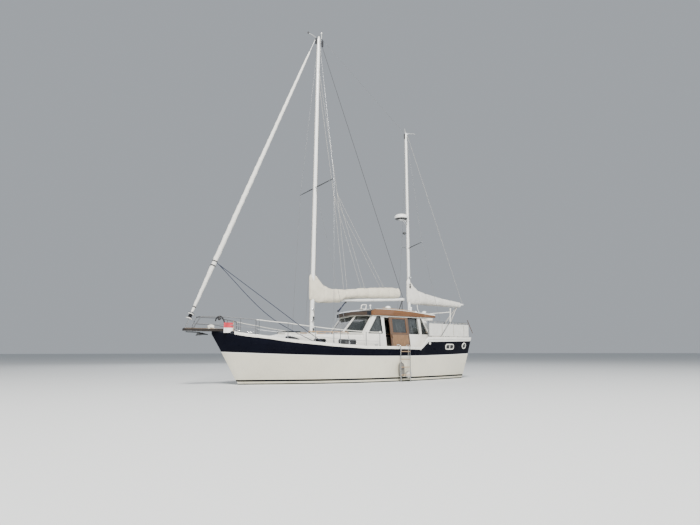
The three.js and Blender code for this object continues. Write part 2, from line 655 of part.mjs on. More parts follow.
// The raked windshield: a pane each side of a centre post. share runs 0 at the centre to 1 at the side.
const sillAt = (across) => HOUSE.sillZ - HOUSE.sillDrop * across;
const headAt = (across) => HOUSE.roofZ + HOUSE.roofCamber * (1 - across);
const bulgeAt = (across, up) => HOUSE.centreBulge * (1 - across) * (1 - up);
const insideAt = (z) => WALL_IN - GAP + houseLean(z);
function windshieldPoint(side, across, up, back) {
  const z = sillAt(across) + (headAt(across) - sillAt(across)) * up;
  const x = HOUSE.frontX + (HOUSE.frontTopX - HOUSE.frontX) * up + bulgeAt(across, up) - back;
  return point(x, side * across * insideAt(z), z);
}
function windshieldBlock(side, [left, right], [low, high], [front, back]) {
  const corners = [[left, front], [right, front], [right, back], [left, back]];
  return loft([low, high].map((up) => corners.map(
    ([across, depth]) => windshieldPoint(side, across, up, depth))));
}
const PANE = { across: [0.055, 0.93], up: [0.03, 0.95] };
const frameHalf = (side) => cut(
  windshieldBlock(side, [0, 1], [0, 1], [0, HOUSE.wall]),
  windshieldBlock(side, PANE.across, PANE.up, [-60, HOUSE.wall + 60]),
);
// A bar across the front under the windshield's sill. depths is [forward face, after face].
const acrossFront = (forward, after, lowAt) => loft([STARBOARD, 0, PORT].map((side) => {
  const across = Math.abs(side);
  const [top, low] = [sillAt(across) + 1, lowAt(across)];
  return [[forward(across), top], [after, top], [after, low], [forward(across), low]]
    .map(([x, z]) => point(x, side * insideAt(z), z));
}));
add('pilothouse_front', join(
  frameHalf(PORT),
  frameHalf(STARBOARD),
  acrossFront((across) => HOUSE.frontX + bulgeAt(across, 0), HOUSE.frontX - 32,
    (across) => 1652 - 48 * across),
  acrossFront(() => HOUSE.frontX, HOUSE.frontX - HOUSE.wall, () => HOUSE_BASE + GAP),
), 'white');
const PANE_PLAY = 0.0007;
SIDES.forEach(([name, side]) => add(`windshield_${name}`, windshieldBlock(side,
  [PANE.across[0] + PANE_PLAY, PANE.across[1] - PANE_PLAY],
  [PANE.up[0] + PANE_PLAY, PANE.up[1] - PANE_PLAY], [16, 24]), 'glass'));

const AFT_HALF = WALL_IN - GLASS - 2 * GAP - 1;
const AFT_LITE = { inner: 170, outer: 700, low: 1720, high: 2150 }; // a window each side of the middle
const aftWallRing = (x, z) => {
  const half = AFT_HALF + houseLean(z);
  return [[x, -half], [x, half], [x + HOUSE.wall, half], [x + HOUSE.wall, -half]]
    .map(([along, y]) => point(along, y, z));
};
add('pilothouse_aft_wall', cut(
  loft([
    aftWallRing(HOUSE.aftX, HOUSE_BASE + GAP),
    aftWallRing(HOUSE.aftX, HOUSE.aftKneeZ),
    aftWallRing(HOUSE.aftTopX, HOUSE.roofZ),
  ]),
  block(-2900, -2300, AFT_LITE.inner, AFT_LITE.outer, AFT_LITE.low, AFT_LITE.high),
  block(-2900, -2300, -AFT_LITE.inner, -AFT_LITE.outer, AFT_LITE.low, AFT_LITE.high),
), 'white');

// Pilothouse roof sections. Columns: x, half width, edge height, crown height, camber of the underside.
const ROOF_SECTIONS = [
  [46, 1060, 2382, 2446, HOUSE.roofCamber],
  [0, 1130, 2405, 2470, HOUSE.roofCamber],
  [-190, 1150, 2482, 2525, HOUSE.roofCamber],
  [-700, 1165, 2486, 2540, 30],
  [-1600, 1165, 2456, 2518, 0],
  [-2450, 1150, 2388, 2484, 0],
  [-3000, 1115, 2345, 2478, 0],
];
add('pilothouse_roof', loft(ROOF_SECTIONS.map(([x, half, edge, crown, camber]) => {
  const under = HOUSE.roofZ + GAP;
  const shoulder = edge + (crown - edge) * 0.62;
  return [
    [-half, under], [-WALL_IN, under], [0, under + camber], [WALL_IN, under], [half, under],
    [half, edge], [half * 0.72, shoulder], [half * 0.3, crown - 3],
    [half * -0.3, crown - 3], [half * -0.72, shoulder], [-half, edge],
  ].map(([y, z]) => point(x, y, z));
})), 'varnish');

// Saloon and engine

const SOLE_TOP = SALOON.sole + 30;
add('saloon_sole', join(
  block(SALOON.front - 5, SALOON.aft + 5, -SALOON.half + 5, SALOON.half - 5, SALOON.sole + GAP, SOLE_TOP),
  ...SIDES.map(([, side]) => block(-650, -1300, side * 720, side * (SALOON.half - 5), SOLE_TOP - 1, 690)),
), 'teak');
add('engine_block', block(ENGINE_BAY.front - 110, ENGINE_BAY.aft + 90,
  -300, 300, ENGINE_BAY.bed + GAP, 260), 'engine');
add('helm_console', join(
  block(-90, 290, -940, -120, SOLE_TOP + GAP, 1230),
  loft([
    [point(-90, -940, 1230), point(290, -940, 1230), point(290, -940, 1440), point(-40, -940, 1330)],
    [point(-90, -120, 1230), point(290, -120, 1230), point(290, -120, 1440), point(-40, -120, 1330)],
  ]),
  rod(point(-80, -540, 1130), point(-200, -540, 1130), 20, 12),
), 'varnish');

const WHEEL = { x: -225, y: -540, z: 1130, radius: 215, spokes: 6 };
function helmWheel() {
  const rim = new THREE.TorusGeometry(WHEEL.radius, 14, 6, 24).rotateY(Math.PI / 2);
  const spokes = Array.from({ length: WHEEL.spokes }, (_, i) => {
    const angle = (i / WHEEL.spokes) * 2 * Math.PI;
    const rimSpot = point(0, Math.cos(angle), Math.sin(angle)).multiplyScalar(WHEEL.radius);
    return rod(point(0, 0, 0), rimSpot, 9, 6);
  });
  const hub = rod(point(-24, 0, 0), point(24.7, 0, 0), 38, 12);
  return join(rim, hub, ...spokes).translate(WHEEL.x, WHEEL.y, WHEEL.z);
}
add('helm_wheel', helmWheel(), 'varnish');

add('helm_seat', join(
  rod(point(-760, -540, SOLE_TOP + GAP), point(-760, -540, 900), 45, 12),
  block(-960, -560, -770, -310, 880, 980),
  block(-980, -900, -770, -310, 960, 1380),
), 'upholstery');
add('settee', join(
  block(-2560, -1980, -900, 900, SOLE_TOP + GAP, 860),
  block(-2580, -2450, -900, 900, 840, 1330),
), 'upholstery');

// Spars

function mastGeometry({ x, footX = x, headX = x, footZ, headZ, footHalf, headHalf, width }, sides = 16) {
  const geometry = new THREE.CylinderGeometry(headHalf, footHalf, headZ - footZ, sides);
  geometry.rotateX(Math.PI / 2).scale(1, width, 1).translate(0, 0, (headZ + footZ) / 2);
  const lean = (headX - footX) / (headZ - footZ);
  const shear = new THREE.Matrix4().makeShear(0, 0, 0, 0, lean, 0);
  return geometry.applyMatrix4(shear).translate(footX - lean * footZ, 0, 0);
}
const mastX = (z) => MAST.footX + ((z - MAST.footZ) / (MAST.headZ - MAST.footZ)) * (MAST.headX - MAST.footX);

// The two lugs on a mast that hold the boom's pin.
function gooseneck(mastFace, boom, pinRadius) {
  const height = 66;
  const reach = height + 8;
  return [
    block(boom.pinX - 26, mastFace + 40, -26, 26, boom.pinZ + height, boom.pinZ + height + 16),
    block(boom.pinX - 26, mastFace + 40, -26, 26, boom.pinZ - height - 16, boom.pinZ - height),
    rod(point(boom.pinX, 0, boom.pinZ - reach), point(boom.pinX, 0, boom.pinZ + reach), pinRadius, 16),
  ];
}
// A boom: a tube from its pin aft, with an eye around the pin.
function boomGeometry(boom, pinRadius, growth = 0) {
  const start = point(boom.pinX - 60, 0, boom.pinZ);
  const end = point(boom.endX, 0, boom.endZ);
  const bar = rod(start, end, boom.radius + growth, 12);
  if (growth) {
    return bar;
  }
  const eye = rod(point(boom.pinX, 0, boom.pinZ - 60), point(boom.pinX, 0, boom.pinZ + 60), 24, 16);
  const neck = block(boom.pinX - 8, boom.pinX - 90, -16, 16, boom.pinZ - 34, boom.pinZ + 34);
  const bore = rod(point(boom.pinX, 0, boom.pinZ - 90), point(boom.pinX, 0, boom.pinZ + 90),
    boreRadius(pinRadius, 16), 16);
  return cut(join(bar, eye, neck), bore);
}
const PIN = 10;
const masthead = [
  block(MAST.headX - 190, MAST.headX + 150, -28, 28, MAST.headZ - 60, MAST.headZ + 20),
  rod(point(MAST.headX - 120, 0, MAST.headZ), point(MAST.headX - 120, 0, MAST.headZ + 330), 7, 6),
];

// Spreaders: a collar round the mast with an arm to each side.
function spreaders(x, z, half, radius, mastHalf, mastWidth, sweep, rise) {
  const collar = new THREE.CylinderGeometry(mastHalf + 14, mastHalf + 14, 60, 16)
    .rotateX(Math.PI / 2).scale(1, (mastHalf * mastWidth + 14) / (mastHalf + 14), 1).translate(x, 0, z);
  const arms = SIDES.map(([, side]) => spindle(
    point(x, side * (mastHalf * mastWidth - 20), z),
    point(x - sweep, side * half, z + rise),
    [[0, radius], [1, radius * 0.7]],
  ));
  return [collar, ...arms];
}
function halfAt(spar, z) {
  const share = (z - spar.footZ) / (spar.headZ - spar.footZ);
  return spar.footHalf + share * (spar.headHalf - spar.footHalf);
}
add('main_mast', join(
  mastGeometry(MAST),
  ...masthead,
  ...gooseneck(mastX(MAIN_BOOM.pinZ) - 60, MAIN_BOOM, PIN),
  ...spreaders(mastX(SPREADER_Z), SPREADER_Z, SPREADER_HALF, 24,
    halfAt(MAST, SPREADER_Z), MAST.width, 40, 20),
), 'sparWhite');
add('mizzen_mast', join(
  mastGeometry(MIZZEN),
  block(MIZZEN.x - 110, MIZZEN.x + 90, -22, 22, MIZZEN.headZ - 40, MIZZEN.headZ + 12),
  ...gooseneck(MIZZEN.x - 45, MIZZEN_BOOM, PIN),
  ...spreaders(MIZZEN.x, MIZZEN_SPREADER_Z, MIZZEN_SPREADER_HALF, 18,
    halfAt(MIZZEN, MIZZEN_SPREADER_Z), MIZZEN.width, 190, 170),
), 'sparWhite');
add('main_boom', boomGeometry(MAIN_BOOM, PIN), 'sparWhite');
add('mizzen_boom', boomGeometry(MIZZEN_BOOM, PIN), 'sparWhite');

// Stowed sails under their covers. Columns: x, bottom, top, half width.
const MAIN_COVER = [
  [1450, 2715, 3520, 95],
  [1210, 2760, 3320, 150],
  [920, 2820, 3235, 165],
  [360, 2935, 3250, 165],
  [-300, 2965, 3330, 165],
  [-1230, 3025, 3420, 155],
  [-2130, 3080, 3455, 130],
];
const MIZZEN_COVER = [
  [-2900, 2850, 3560, 90],
  [-3240, 2855, 3385, 135],
  [-3800, 2850, 3270, 140],
  [-4500, 2845, 3160, 125],
  [-5100, 2835, 3090, 100],
  [-5460, 2850, 3045, 70],
];
function coverRing([x, low, high, half]) {
  const middle = low + (high - low) * 0.36;
  const around = [
    [0, low], [0.55, low + 12], [0.92, middle - (middle - low) * 0.45], [1, middle],
    [0.86, middle + (high - middle) * 0.42], [0.48, middle + (high - middle) * 0.8], [0, high],
  ];
  const side = around.slice(1, -1);
  return [
    point(x, 0, low),
    ...side.map(([share, z]) => point(x, half * share, z)),
    point(x, 0, high),
    ...side.slice().reverse().map(([share, z]) => point(x, -half * share, z)),
  ];
}
add('main_sail_cover', cut(loft(MAIN_COVER.map(coverRing)), boomGeometry(MAIN_BOOM, PIN, 1)), 'canvas');
add('mizzen_sail_cover', cut(loft(MIZZEN_COVER.map(coverRing)), boomGeometry(MIZZEN_BOOM, PIN, 1)), 'canvas');

// Standing rigging

const CHAIN_X = 1740;
const LOWER_CHAIN_X = 1180;
const MIZZEN_CHAIN_X = -3080;
const stay = (points) => tube(points, WIRE, 6);
const CHAINPLATE = { inset: 50, height: 90 };
const chainplate = (x, side) => {
  const seat = railPost(x, side, CHAINPLATE.inset);
  return [raised(seat, CHAINPLATE.height), seat];
};
SIDES.forEach(([name, side]) => {
  add(`cap_shroud_${name}`, stay([
    point(MAST.headX, side * 52, MAST.headZ - 110),
    point(mastX(SPREADER_Z) - 44, side * (SPREADER_HALF + 8 + WIRE), SPREADER_Z + 22),
    ...chainplate(CHAIN_X, side),
  ]), 'steel');
  add(`lower_shroud_${name}`, stay([
    point(mastX(SPREADER_Z - 90), side * 60, SPREADER_Z - 90),
    ...chainplate(LOWER_CHAIN_X, side),
  ]), 'steel');
  add(`mizzen_shroud_${name}`, stay([
    point(MIZZEN.x, side * 44, MIZZEN.headZ - 180),
    point(MIZZEN.x - 194, side * (MIZZEN_SPREADER_HALF + 8 + WIRE), MIZZEN_SPREADER_Z + 175),
    ...chainplate(MIZZEN_CHAIN_X, side),
  ]), 'steel');
});
add('triatic_stay', stay([
  point(MAST.headX - 193.2, 0, MAST.headZ - 20), point(MIZZEN.x + 93.2, 0, MIZZEN.headZ - 8),
]), 'steel');

// Furled headsail on its stay, and the furler's drum. Columns: share of the length, radius.
const STAY = { low: point(5990, 0, 1990), high: point(1712, 0, 12700) };
const onStay = (z) => STAY.low.clone().lerp(STAY.high, (z - STAY.low.z) / (STAY.high.z - STAY.low.z));
const ROLL = [
  [0, 9], [0.032, 9], [0.036, 42], [0.1, 66], [0.3, 74],
  [0.6, 62], [0.88, 42], [0.945, 30], [0.95, 9], [1, 9],
];
add('furled_headsail', spindle(STAY.low, onStay(12690), ROLL, 10), 'sailcloth');
add('furler_drum', spindle(onStay(PLATFORM.top + GAP + 5.4), onStay(1990 - GAP), [
  [0, 14], [0.28, 14], [0.3, 95], [0.4, 95], [0.43, 48],
  [0.76, 48], [0.8, 95], [0.9, 95], [0.93, 22], [1, 22],
], 16), 'black');

// Radar on a bracket forward of the mizzen mast

const RADAR = { x: -2335, z: 6225, radius: 258, height: 235 };
const domeProfile = [[0, 0], [0.84, 0], [1, 0.22], [1, 0.5], [0.86, 0.86], [0.5, 1], [0, 1]]
  .map(([r, h]) => new THREE.Vector2(r * RADAR.radius, h * RADAR.height));
const mizzenFace = MIZZEN.x + halfAt(MIZZEN, RADAR.z) + 2 * GAP;
add('radar_scanner', join(
  new THREE.LatheGeometry(domeProfile, 20).rotateX(Math.PI / 2).translate(RADAR.x, 0, RADAR.z),
  loft([
    [point(mizzenFace, -40, 6070), point(mizzenFace, 40, 6070), point(mizzenFace, 40, 6215),
      point(mizzenFace, -40, 6215)],
    [point(RADAR.x, -60, 6200), point(RADAR.x, 60, 6200), point(RADAR.x, 60, 6232),
      point(RADAR.x, -60, 6232)],
  ]),
), 'white');

// Rudder, propeller and shaft

const RUDDER_OUTLINE = [
  [RUDDER.axisX + 34, RUDDER.bottom], [RUDDER.axisX + 34, RUDDER.top], [RUDDER.axisX - 60, RUDDER.top + 8],
  [RUDDER.aftX + 90, -330], [RUDDER.aftX, -420], [RUDDER.aftX, -1330], [RUDDER.aftX + 120, RUDDER.bottom],
];
add('rudder', join(
  plateXZ(RUDDER_OUTLINE, -22, 22),
  rod(point(RUDDER.axisX, 0, RUDDER.bottom), point(RUDDER.axisX, 0, RUDDER.top + 4), 36, 16),
  rod(point(RUDDER.axisX, 0, RUDDER.top - 20), point(RUDDER.axisX, 0, RUDDER.stockTop),
    RUDDER.stockRadius, 24),
), 'black');

function propeller() {
  const blade = (angle) => {
    const outline = [
      [36, -18], [90, -62], [170, -78], [220, -44], [PROPELLER.radius, 8],
      [206, 58], [140, 74], [70, 48], [36, 20],
    ];
    const shape = new THREE.Shape(outline.map(([r, w]) => new THREE.Vector2(w, r)));
    const geometry = new THREE.ExtrudeGeometry(shape, { depth: 9, bevelEnabled: false });
    geometry.translate(0, 0, -4.5).rotateY(Math.PI / 2 - 0.62);
    return geometry.rotateX(angle);
  };
  const turns = Array.from({ length: PROPELLER.blades }, (_, i) => (i / PROPELLER.blades) * 2 * Math.PI);
  const hub = spindle(point(-PROPELLER.hubLength / 2, 0, 0), point(PROPELLER.hubLength / 2, 0, 0),
    [[0, 24], [0.3, 38], [0.6, PROPELLER.hubRadius], [1, PROPELLER.hubRadius]], 16);
  const shaft = rod(point(0, 0, 0), point(-2400 - PROPELLER.x, 0, 0), 18, 24);
  return join(hub, shaft, ...turns.map(blade)).translate(PROPELLER.x, 0, SHAFT_Z);
}
add('propeller', propeller(), 'bronze');

// Fenders on the port side. Columns: name, x, y, low, high, radius.
const FENDERS = [['fender_long', -880, 1635.4, 130, 680, 105], ['fender_ball', -1210, 1610.3, 95, 405, 125]];
for (const [name, x, y, low, high, radius] of FENDERS) {
  const profile = [[0, 0.3], [0.08, 0.75], [0.25, 1], [0.75, 1], [0.92, 0.75], [1, 0.3]]
    .map(([share, width]) => [share, width * radius]);
  add(name, spindle(point(x, y, low), point(x, y, high), profile, 14), 'grey');
}

export default parts;
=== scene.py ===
"""A ten metre pilothouse ketch afloat, with both sails stowed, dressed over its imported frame.

Metres. +X points to the bow, +Y to port, +Z up; the origin lies on the centreline at the waterline.
"""

from __future__ import annotations

import bisect
import logging
import math
from dataclasses import dataclass, field
from enum import Enum
from typing import Callable, Optional, Sequence, Union

import bmesh
import bpy
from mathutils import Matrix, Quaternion, Vector, noise


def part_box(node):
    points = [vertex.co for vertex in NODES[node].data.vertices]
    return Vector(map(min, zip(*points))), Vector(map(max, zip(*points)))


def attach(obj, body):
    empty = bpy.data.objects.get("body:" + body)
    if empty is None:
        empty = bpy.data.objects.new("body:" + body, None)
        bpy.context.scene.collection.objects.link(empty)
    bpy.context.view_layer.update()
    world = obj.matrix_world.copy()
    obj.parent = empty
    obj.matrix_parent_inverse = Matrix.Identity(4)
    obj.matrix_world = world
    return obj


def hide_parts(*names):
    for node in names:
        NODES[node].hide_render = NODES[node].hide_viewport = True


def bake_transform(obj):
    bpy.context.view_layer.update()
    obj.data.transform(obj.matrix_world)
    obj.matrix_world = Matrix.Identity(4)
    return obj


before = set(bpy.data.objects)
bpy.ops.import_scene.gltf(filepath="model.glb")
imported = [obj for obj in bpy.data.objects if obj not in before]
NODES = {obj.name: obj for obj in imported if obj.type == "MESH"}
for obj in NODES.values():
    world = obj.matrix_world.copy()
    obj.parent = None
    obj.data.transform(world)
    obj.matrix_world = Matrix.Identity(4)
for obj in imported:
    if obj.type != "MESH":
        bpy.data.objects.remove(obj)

LOG = logging.getLogger("ketch")
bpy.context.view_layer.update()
BOAT = "boat"
UP = Vector((0.0, 0.0, 1.0))
# Where the raised stern quarter steps up from the side deck.
STEP_X = -1.8
# The most of a leg that the rounding of its corner takes.
ROUNDING_SHARE = 0.45
# A heading is upright above this rise.
UPRIGHT = 0.98
# What a turned form keeps of its radius on the axis.
LEAST_RADIUS = 2e-4
# The least cosine that a mitre is worked out with.
MITRE_LIMIT = 0.35

Point = Sequence[float]
Colour = tuple[float, float, float]
Socket = bpy.types.NodeSocket


class Side(Enum):
    """The two sides of the boat, each with the sign of its Y."""

    PORT = 1
    STARBOARD = -1

    @property
    def word(self) -> str:
        """The side's name as piece names spell it."""
        return self.name.lower()


class Grain(Enum):
    """The axis that wood grain runs along, with the noise scale on each axis."""

    ALONG = (1.2, 26.0, 26.0)
    ACROSS = (26.0, 1.2, 26.0)
    UPRIGHT = (26.0, 26.0, 1.2)


# Curves and tables


class Table:
    """Rows of numbers against a first column, read between rows on a smooth curve that never overshoots."""

    def __init__(self, rows: Sequence[Sequence[float]]) -> None:
        """Sorts the rows and finds each column's slopes.

        Args:
            rows: the place along the table first, then the values there.
        """
        self.rows = sorted(tuple(row) for row in rows)
        self.places = [row[0] for row in self.rows]
        self.slopes = [self._slopes([row[c] for row in self.rows]) for c in range(len(self.rows[0]))]

    def _slopes(self, values: Sequence[float]) -> list[float]:
        """Slopes at the rows, level where the values turn.

        Args:
            values: one column.

        Returns:
            One slope for each row.
        """
        steps = [b - a for a, b in zip(self.places, self.places[1:])]
        rises = [(b - a) / step for a, b, step in zip(values, values[1:], steps)]
        slopes = [rises[0]]
        for i in range(1, len(rises)):
            near, far = rises[i - 1], rises[i]
            if near * far <= 0:
                slopes.append(0.0)
                continue
            weight_near = 2 * steps[i] + steps[i - 1]
            weight_far = steps[i] + 2 * steps[i - 1]
            slopes.append((weight_near + weight_far) / (weight_near / near + weight_far / far))
        slopes.append(rises[-1])
        return slopes

    def at(self, place: float, column: int = 1) -> float:
        """Reads one column at a place.

        Args:
            place: where along the table, held within its ends.
            column: which column.

        Returns:
            The value there.
        """
        place = min(max(place, self.places[0]), self.places[-1])
        i = min(max(bisect.bisect_right(self.places, place) - 1, 0), len(self.places) - 2)
        step = self.places[i + 1] - self.places[i]
        t = (place - self.places[i]) / step
        low, high = self.rows[i][column], self.rows[i + 1][column]
        slope_low, slope_high = self.slopes[column][i] * step, self.slopes[column][i + 1] * step
        return (
            low * (2 * t**3 - 3 * t**2 + 1)
            + slope_low * (t**3 - 2 * t**2 + t)
            + high * (3 * t**2 - 2 * t**3)
            + slope_high * (t**3 - t**2)
        )


def spread(low: float, high: float, count: int) -> list[float]:
    """Evenly spaced numbers.

    Args:
        low: the first number.
        high: the last number.
        count: how many.

    Returns:
        The numbers, both ends included.
    """
    return [low + (high - low) * i / (count - 1) for i in range(count)]


def smooth_line(points: Sequence[Point], count: int) -> list[Vector]:
    """A smooth line through the points.

    Args:
        points: what the line passes through.
        count: how many points it gets.

    Returns:
        Points along the line.
    """
    knots = [Vector(p) for p in points]
    lengths = [0.0]
    for a, b in zip(knots, knots[1:]):
        lengths.append(lengths[-1] + (b - a).length)
    curve = Table([(s, *knot) for s, knot in zip(lengths, knots)])
    return [Vector([curve.at(s, c) for c in (1, 2, 3)]) for s in spread(0, lengths[-1], count)]


def corner_arc(before: Vector, corner: Vector, after: Vector, fillet: float, steps: int) -> list[Vector]:
    """The rounding of one corner.

    Args:
        before: the corner before it.
        corner: the corner.
        after: the corner after it.
        fillet: how far from the corner the rounding starts.
        steps: how many steps it takes.

    Returns:
        Points on the rounding, both ends included.
    """
    back, ahead = before - corner, after - corner
    reach = min(fillet, back.length * ROUNDING_SHARE, ahead.length * ROUNDING_SHARE)
    start, end = corner + back.normalized() * reach, corner + ahead.normalized() * reach
    return [start * (1 - t) ** 2 + corner * 2 * t * (1 - t) + end * t**2 for t in spread(0, 1, steps + 1)]


def rounded(points: Sequence[Point], fillet: float, steps: int = 5) -> list[Vector]:
    """A path with its corners rounded.

    Args:
        points: the path's corners and ends.
        fillet: how far from each corner the rounding starts.
        steps: points on each rounding.

    Returns:
        The rounded path.
    """
    knots = [Vector(p) for p in points]
    path = [knots[0]]
    for before, corner, after in zip(knots, knots[1:], knots[2:]):
        path += corner_arc(before, corner, after, fillet, steps)
    return [*path, knots[-1]]


def sag(start: Point, end: Point, drop: float, count: int = 16) -> list[Vector]:
    """A line that hangs between two points.

    Args:
        start: one end.
        end: the other end.
        drop: how far its middle hangs below the straight line.
        count: points on the line.

    Returns:
        Points along the line.
    """
    a, b = Vector(start), Vector(end)
    return [a.lerp(b, t) - UP * (4 * drop * t * (1 - t)) for t in spread(0, 1, count)]


# Meshes


class Maker:
    """Gathers the faces of one piece and turns them into an object that rides on its body."""

    def __init__(self) -> None:
        """Starts an empty piece."""
        self.bm = bmesh.new()

    def _fresh(self, before: int) -> list[bmesh.types.BMVert]:
        """The vertices made since there were this many."""
        self.bm.verts.ensure_lookup_table()
        return list(self.bm.verts)[before:]

    def _round(self, verts: Sequence[bmesh.types.BMVert], radius: float, steps: int) -> None:
        """Rounds the edges that meet at some vertices.

        Args:
            verts: the vertices.
            radius: the rounding.
            steps: faces across each rounded edge.
        """
        edges = dict.fromkeys(edge for vert in verts for edge in vert.link_edges)
        bmesh.ops.bevel(self.bm, geom=list(edges), offset=radius, segments=steps, profile=0.5, affect="EDGES")

    def loft(self, rings: Sequence[Sequence[Point]], closed: bool = True, caps: bool = True) -> "Maker":
        """Skins rings of equally many points.

        Args:
            rings: the rings, in order.
            closed: whether each ring's last point joins its first.
            caps: whether the end rings are filled.

        Returns:
            The maker itself.
        """
        rows = [[self.bm.verts.new(p) for p in ring] for ring in rings]
        count = len(rows[0])
        for near, far in zip(rows, rows[1:]):
            for i in range(count if closed else count - 1):
                j = (i + 1) % count
                self.bm.faces.new((near[i], near[j], far[j], far[i]))
        if caps and closed:
            self.bm.faces.new(list(reversed(rows[0])))
            self.bm.faces.new(rows[-1])
        return self

    def pipe(
        self,
        points: Sequence[Point],
        radius: Union[float, Sequence[float]],
        sides: int = 10,
        fillet: float = 0.0,
        flat: float = 1.0,
    ) -> "Maker":
        """A round bar or tube along a path.

        Args:
            points: the path.
            radius: one radius, or one for each point.
            sides: faces around it.
            fillet: how far from each corner the path is rounded.
            flat: thickness across the other way as a share of the radius.

        Returns:
            The maker itself.
        """
        path = rounded(points, fillet) if fillet else [Vector(p) for p in points]
        radii = [radius] * len(path) if isinstance(radius, (int, float)) else list(radius)
        rings = []
        normal: Optional[Vector] = None
        for i, here in enumerate(path):
            heading = (path[min(i + 1, len(path) - 1)] - path[max(i - 1, 0)]).normalized()
            if normal is None:
                normal = heading.cross(UP) if abs(heading.z) < UPRIGHT else heading.cross(Vector((1, 0, 0)))
            normal = (normal - heading * normal.dot(heading)).normalized()
            other = heading.cross(normal)
            ring = []
            for k in range(sides):
                angle = 2 * math.pi * k / sides
                ring.append(here + (normal * math.cos(angle) + other * (math.sin(angle) * flat)) * radii[i])
            rings.append(ring)
        return self.loft(rings)

    def lathe(
        self, profile: Sequence[tuple[float, float]], origin: Point, axis: Point = (0, 0, 1), sides: int = 32
    ) -> "Maker":
        """A turned form.

        Args:
            profile: pairs of radius and distance along the axis.
            origin: where distance is nought.
            axis: the way distance grows.
            sides: faces around it.

        Returns:
            The maker itself.
        """
        turn = UP.rotation_difference(Vector(axis).normalized())
        rings = []
        for radius, height in profile:
            reach = max(radius, LEAST_RADIUS)
            ring = []
            for k in range(sides):
                angle = 2 * math.pi * k / sides
                spot = Vector((reach * math.cos(angle), reach * math.sin(angle), height))
                ring.append(turn @ spot + Vector(origin))
            rings.append(ring)
        return self.loft(rings)

    def box(self, low: Point, high: Point, radius: float = 0.004, steps: int = 2) -> "Maker":
        """A block with rounded edges.

        Args:
            low: its lowest corner.
            high: its highest corner.
            radius: the rounding of its edges.
            steps: faces across each rounded edge.

        Returns:
            The maker itself.
        """
        made = bmesh.ops.create_cube(self.bm, size=1.0)["verts"]
        near, far = Vector(low), Vector(high)
        for vert in made:
            vert.co = Vector([near[c] + (vert.co[c] + 0.5) * (far[c] - near[c]) for c in range(3)])
        if radius:
            self._round(made, radius, steps)
        return self

    def slab(self, outline: Sequence[Point], depth: Point, radius: float = 0.0) -> "Maker":
        """A flat plate with any outline.

        Args:
            outline: its corners in order.
            depth: the way and distance that it is thick.
            radius: the rounding of its edges.

        Returns:
            The maker itself.
        """
        before = len(self.bm.verts)
        thick = Vector(depth)
        self.loft([[Vector(p) for p in outline], [Vector(p) + thick for p in outline]])
        if radius:
            self._round(self._fresh(before), radius, 2)
        return self

    def moulding(
        self, path: Sequence[Point], section: Sequence[tuple[float, float]], out: Point, closed: bool = True
    ) -> "Maker":
        """A section swept along a path with mitred corners, such as a window's frame.

        Args:
            path: the path, which lies square to out.
            section: pairs of distance beside the path and distance along out.
            out: the way that the section stands off the path's plane.
            closed: whether the path's end joins its start.

        Returns:
            The maker itself.
        """
        knots = [Vector(p) for p in path]
        stand = Vector(out).normalized()
        rings = []
        count = len(knots)
        for i, here in enumerate(knots):
            back = here - knots[i - 1] if closed or i else knots[1] - here
            ahead = knots[(i + 1) % count] - here if closed or i + 1 < count else here - knots[i - 1]
            side_back, side_ahead = stand.cross(back).normalized(), stand.cross(ahead).normalized()
            across = (side_back + side_ahead).normalized()
            reach = 1.0 / max(across.dot(side_ahead), MITRE_LIMIT)
            rings.append([here + across * (beside * reach) + stand * off for beside, off in section])
        if closed:
            rings.append(rings[0])
        self.loft(rings, closed=True, caps=not closed)
        if closed:
            bmesh.ops.remove_doubles(self.bm, verts=self._fresh(0), dist=1e-6)
        return self

    def warped(self, change: Callable[[Vector], Vector]) -> "Maker":
        """Moves every point made so far by a rule.

        Args:
            change: the rule, from a point to its new place.

        Returns:
            The maker itself.
        """
        for vert in self.bm.verts:
            vert.co = change(vert.co)
        return self

    def build(
        self,
        name: str,
        finish: "Finish",
        body: Optional[str] = BOAT,
        crease: float = 35.0,
        replaces: Sequence[str] = (),
        second: Optional[tuple["Finish", Callable[[bmesh.types.BMFace], bool]]] = None,
    ) -> bpy.types.Object:
        """Makes the object.

        Args:
            name: the piece's name.
            finish: what it is made of.
            body: the body that it rides on, or None for a piece on no body.
            crease: the angle in degrees above which an edge stays sharp.
            replaces: the solids that it stands for.
            second: another finish, and the test for the faces that take it.

        Returns:
            The finished piece.
        """
        bmesh.ops.recalc_face_normals(self.bm, faces=list(self.bm.faces))
        limit = math.radians(crease)
        for face in self.bm.faces:
            face.smooth = True
            if second is not None and second[1](face):
                face.material_index = 1
        for edge in self.bm.edges:
            if len(edge.link_faces) == 2:
                edge.smooth = edge.calc_face_angle() < limit
        mesh = bpy.data.meshes.new(name)
        self.bm.to_mesh(mesh)
        self.bm.free()
        piece = bpy.data.objects.new(name, mesh)
        bpy.context.scene.collection.objects.link(piece)
        mesh.materials.append(finish.material())
        if second is not None:
            mesh.materials.append(second[0].material())
        if body is not None:
            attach(piece, body)
        if replaces:
            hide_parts(*replaces)
        LOG.info("%s: %d faces", name, len(mesh.polygons))
        return piece


def dress(node: str, finish: "Finish", edge: float = 0.0, steps: int = 2) -> bpy.types.Object:
    """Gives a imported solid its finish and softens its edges.

    Args:
        node: the solid's name.
        finish: what it is made of.
        edge: the rounding of its edges.
        steps: faces across each rounded edge.

    Returns:
        The solid's object.
    """
    solid = NODES[node]
    solid.data.materials.clear()
    solid.data.materials.append(finish.material())
    if edge:
        rounding = solid.modifiers.new("edges", "BEVEL")
        rounding.width = edge
        rounding.segments = steps
        rounding.limit_method = "ANGLE"
        rounding.angle_limit = math.radians(30)
        rounding.harden_normals = False
    LOG.info("%s dressed", node)
    return solid


# Finishes


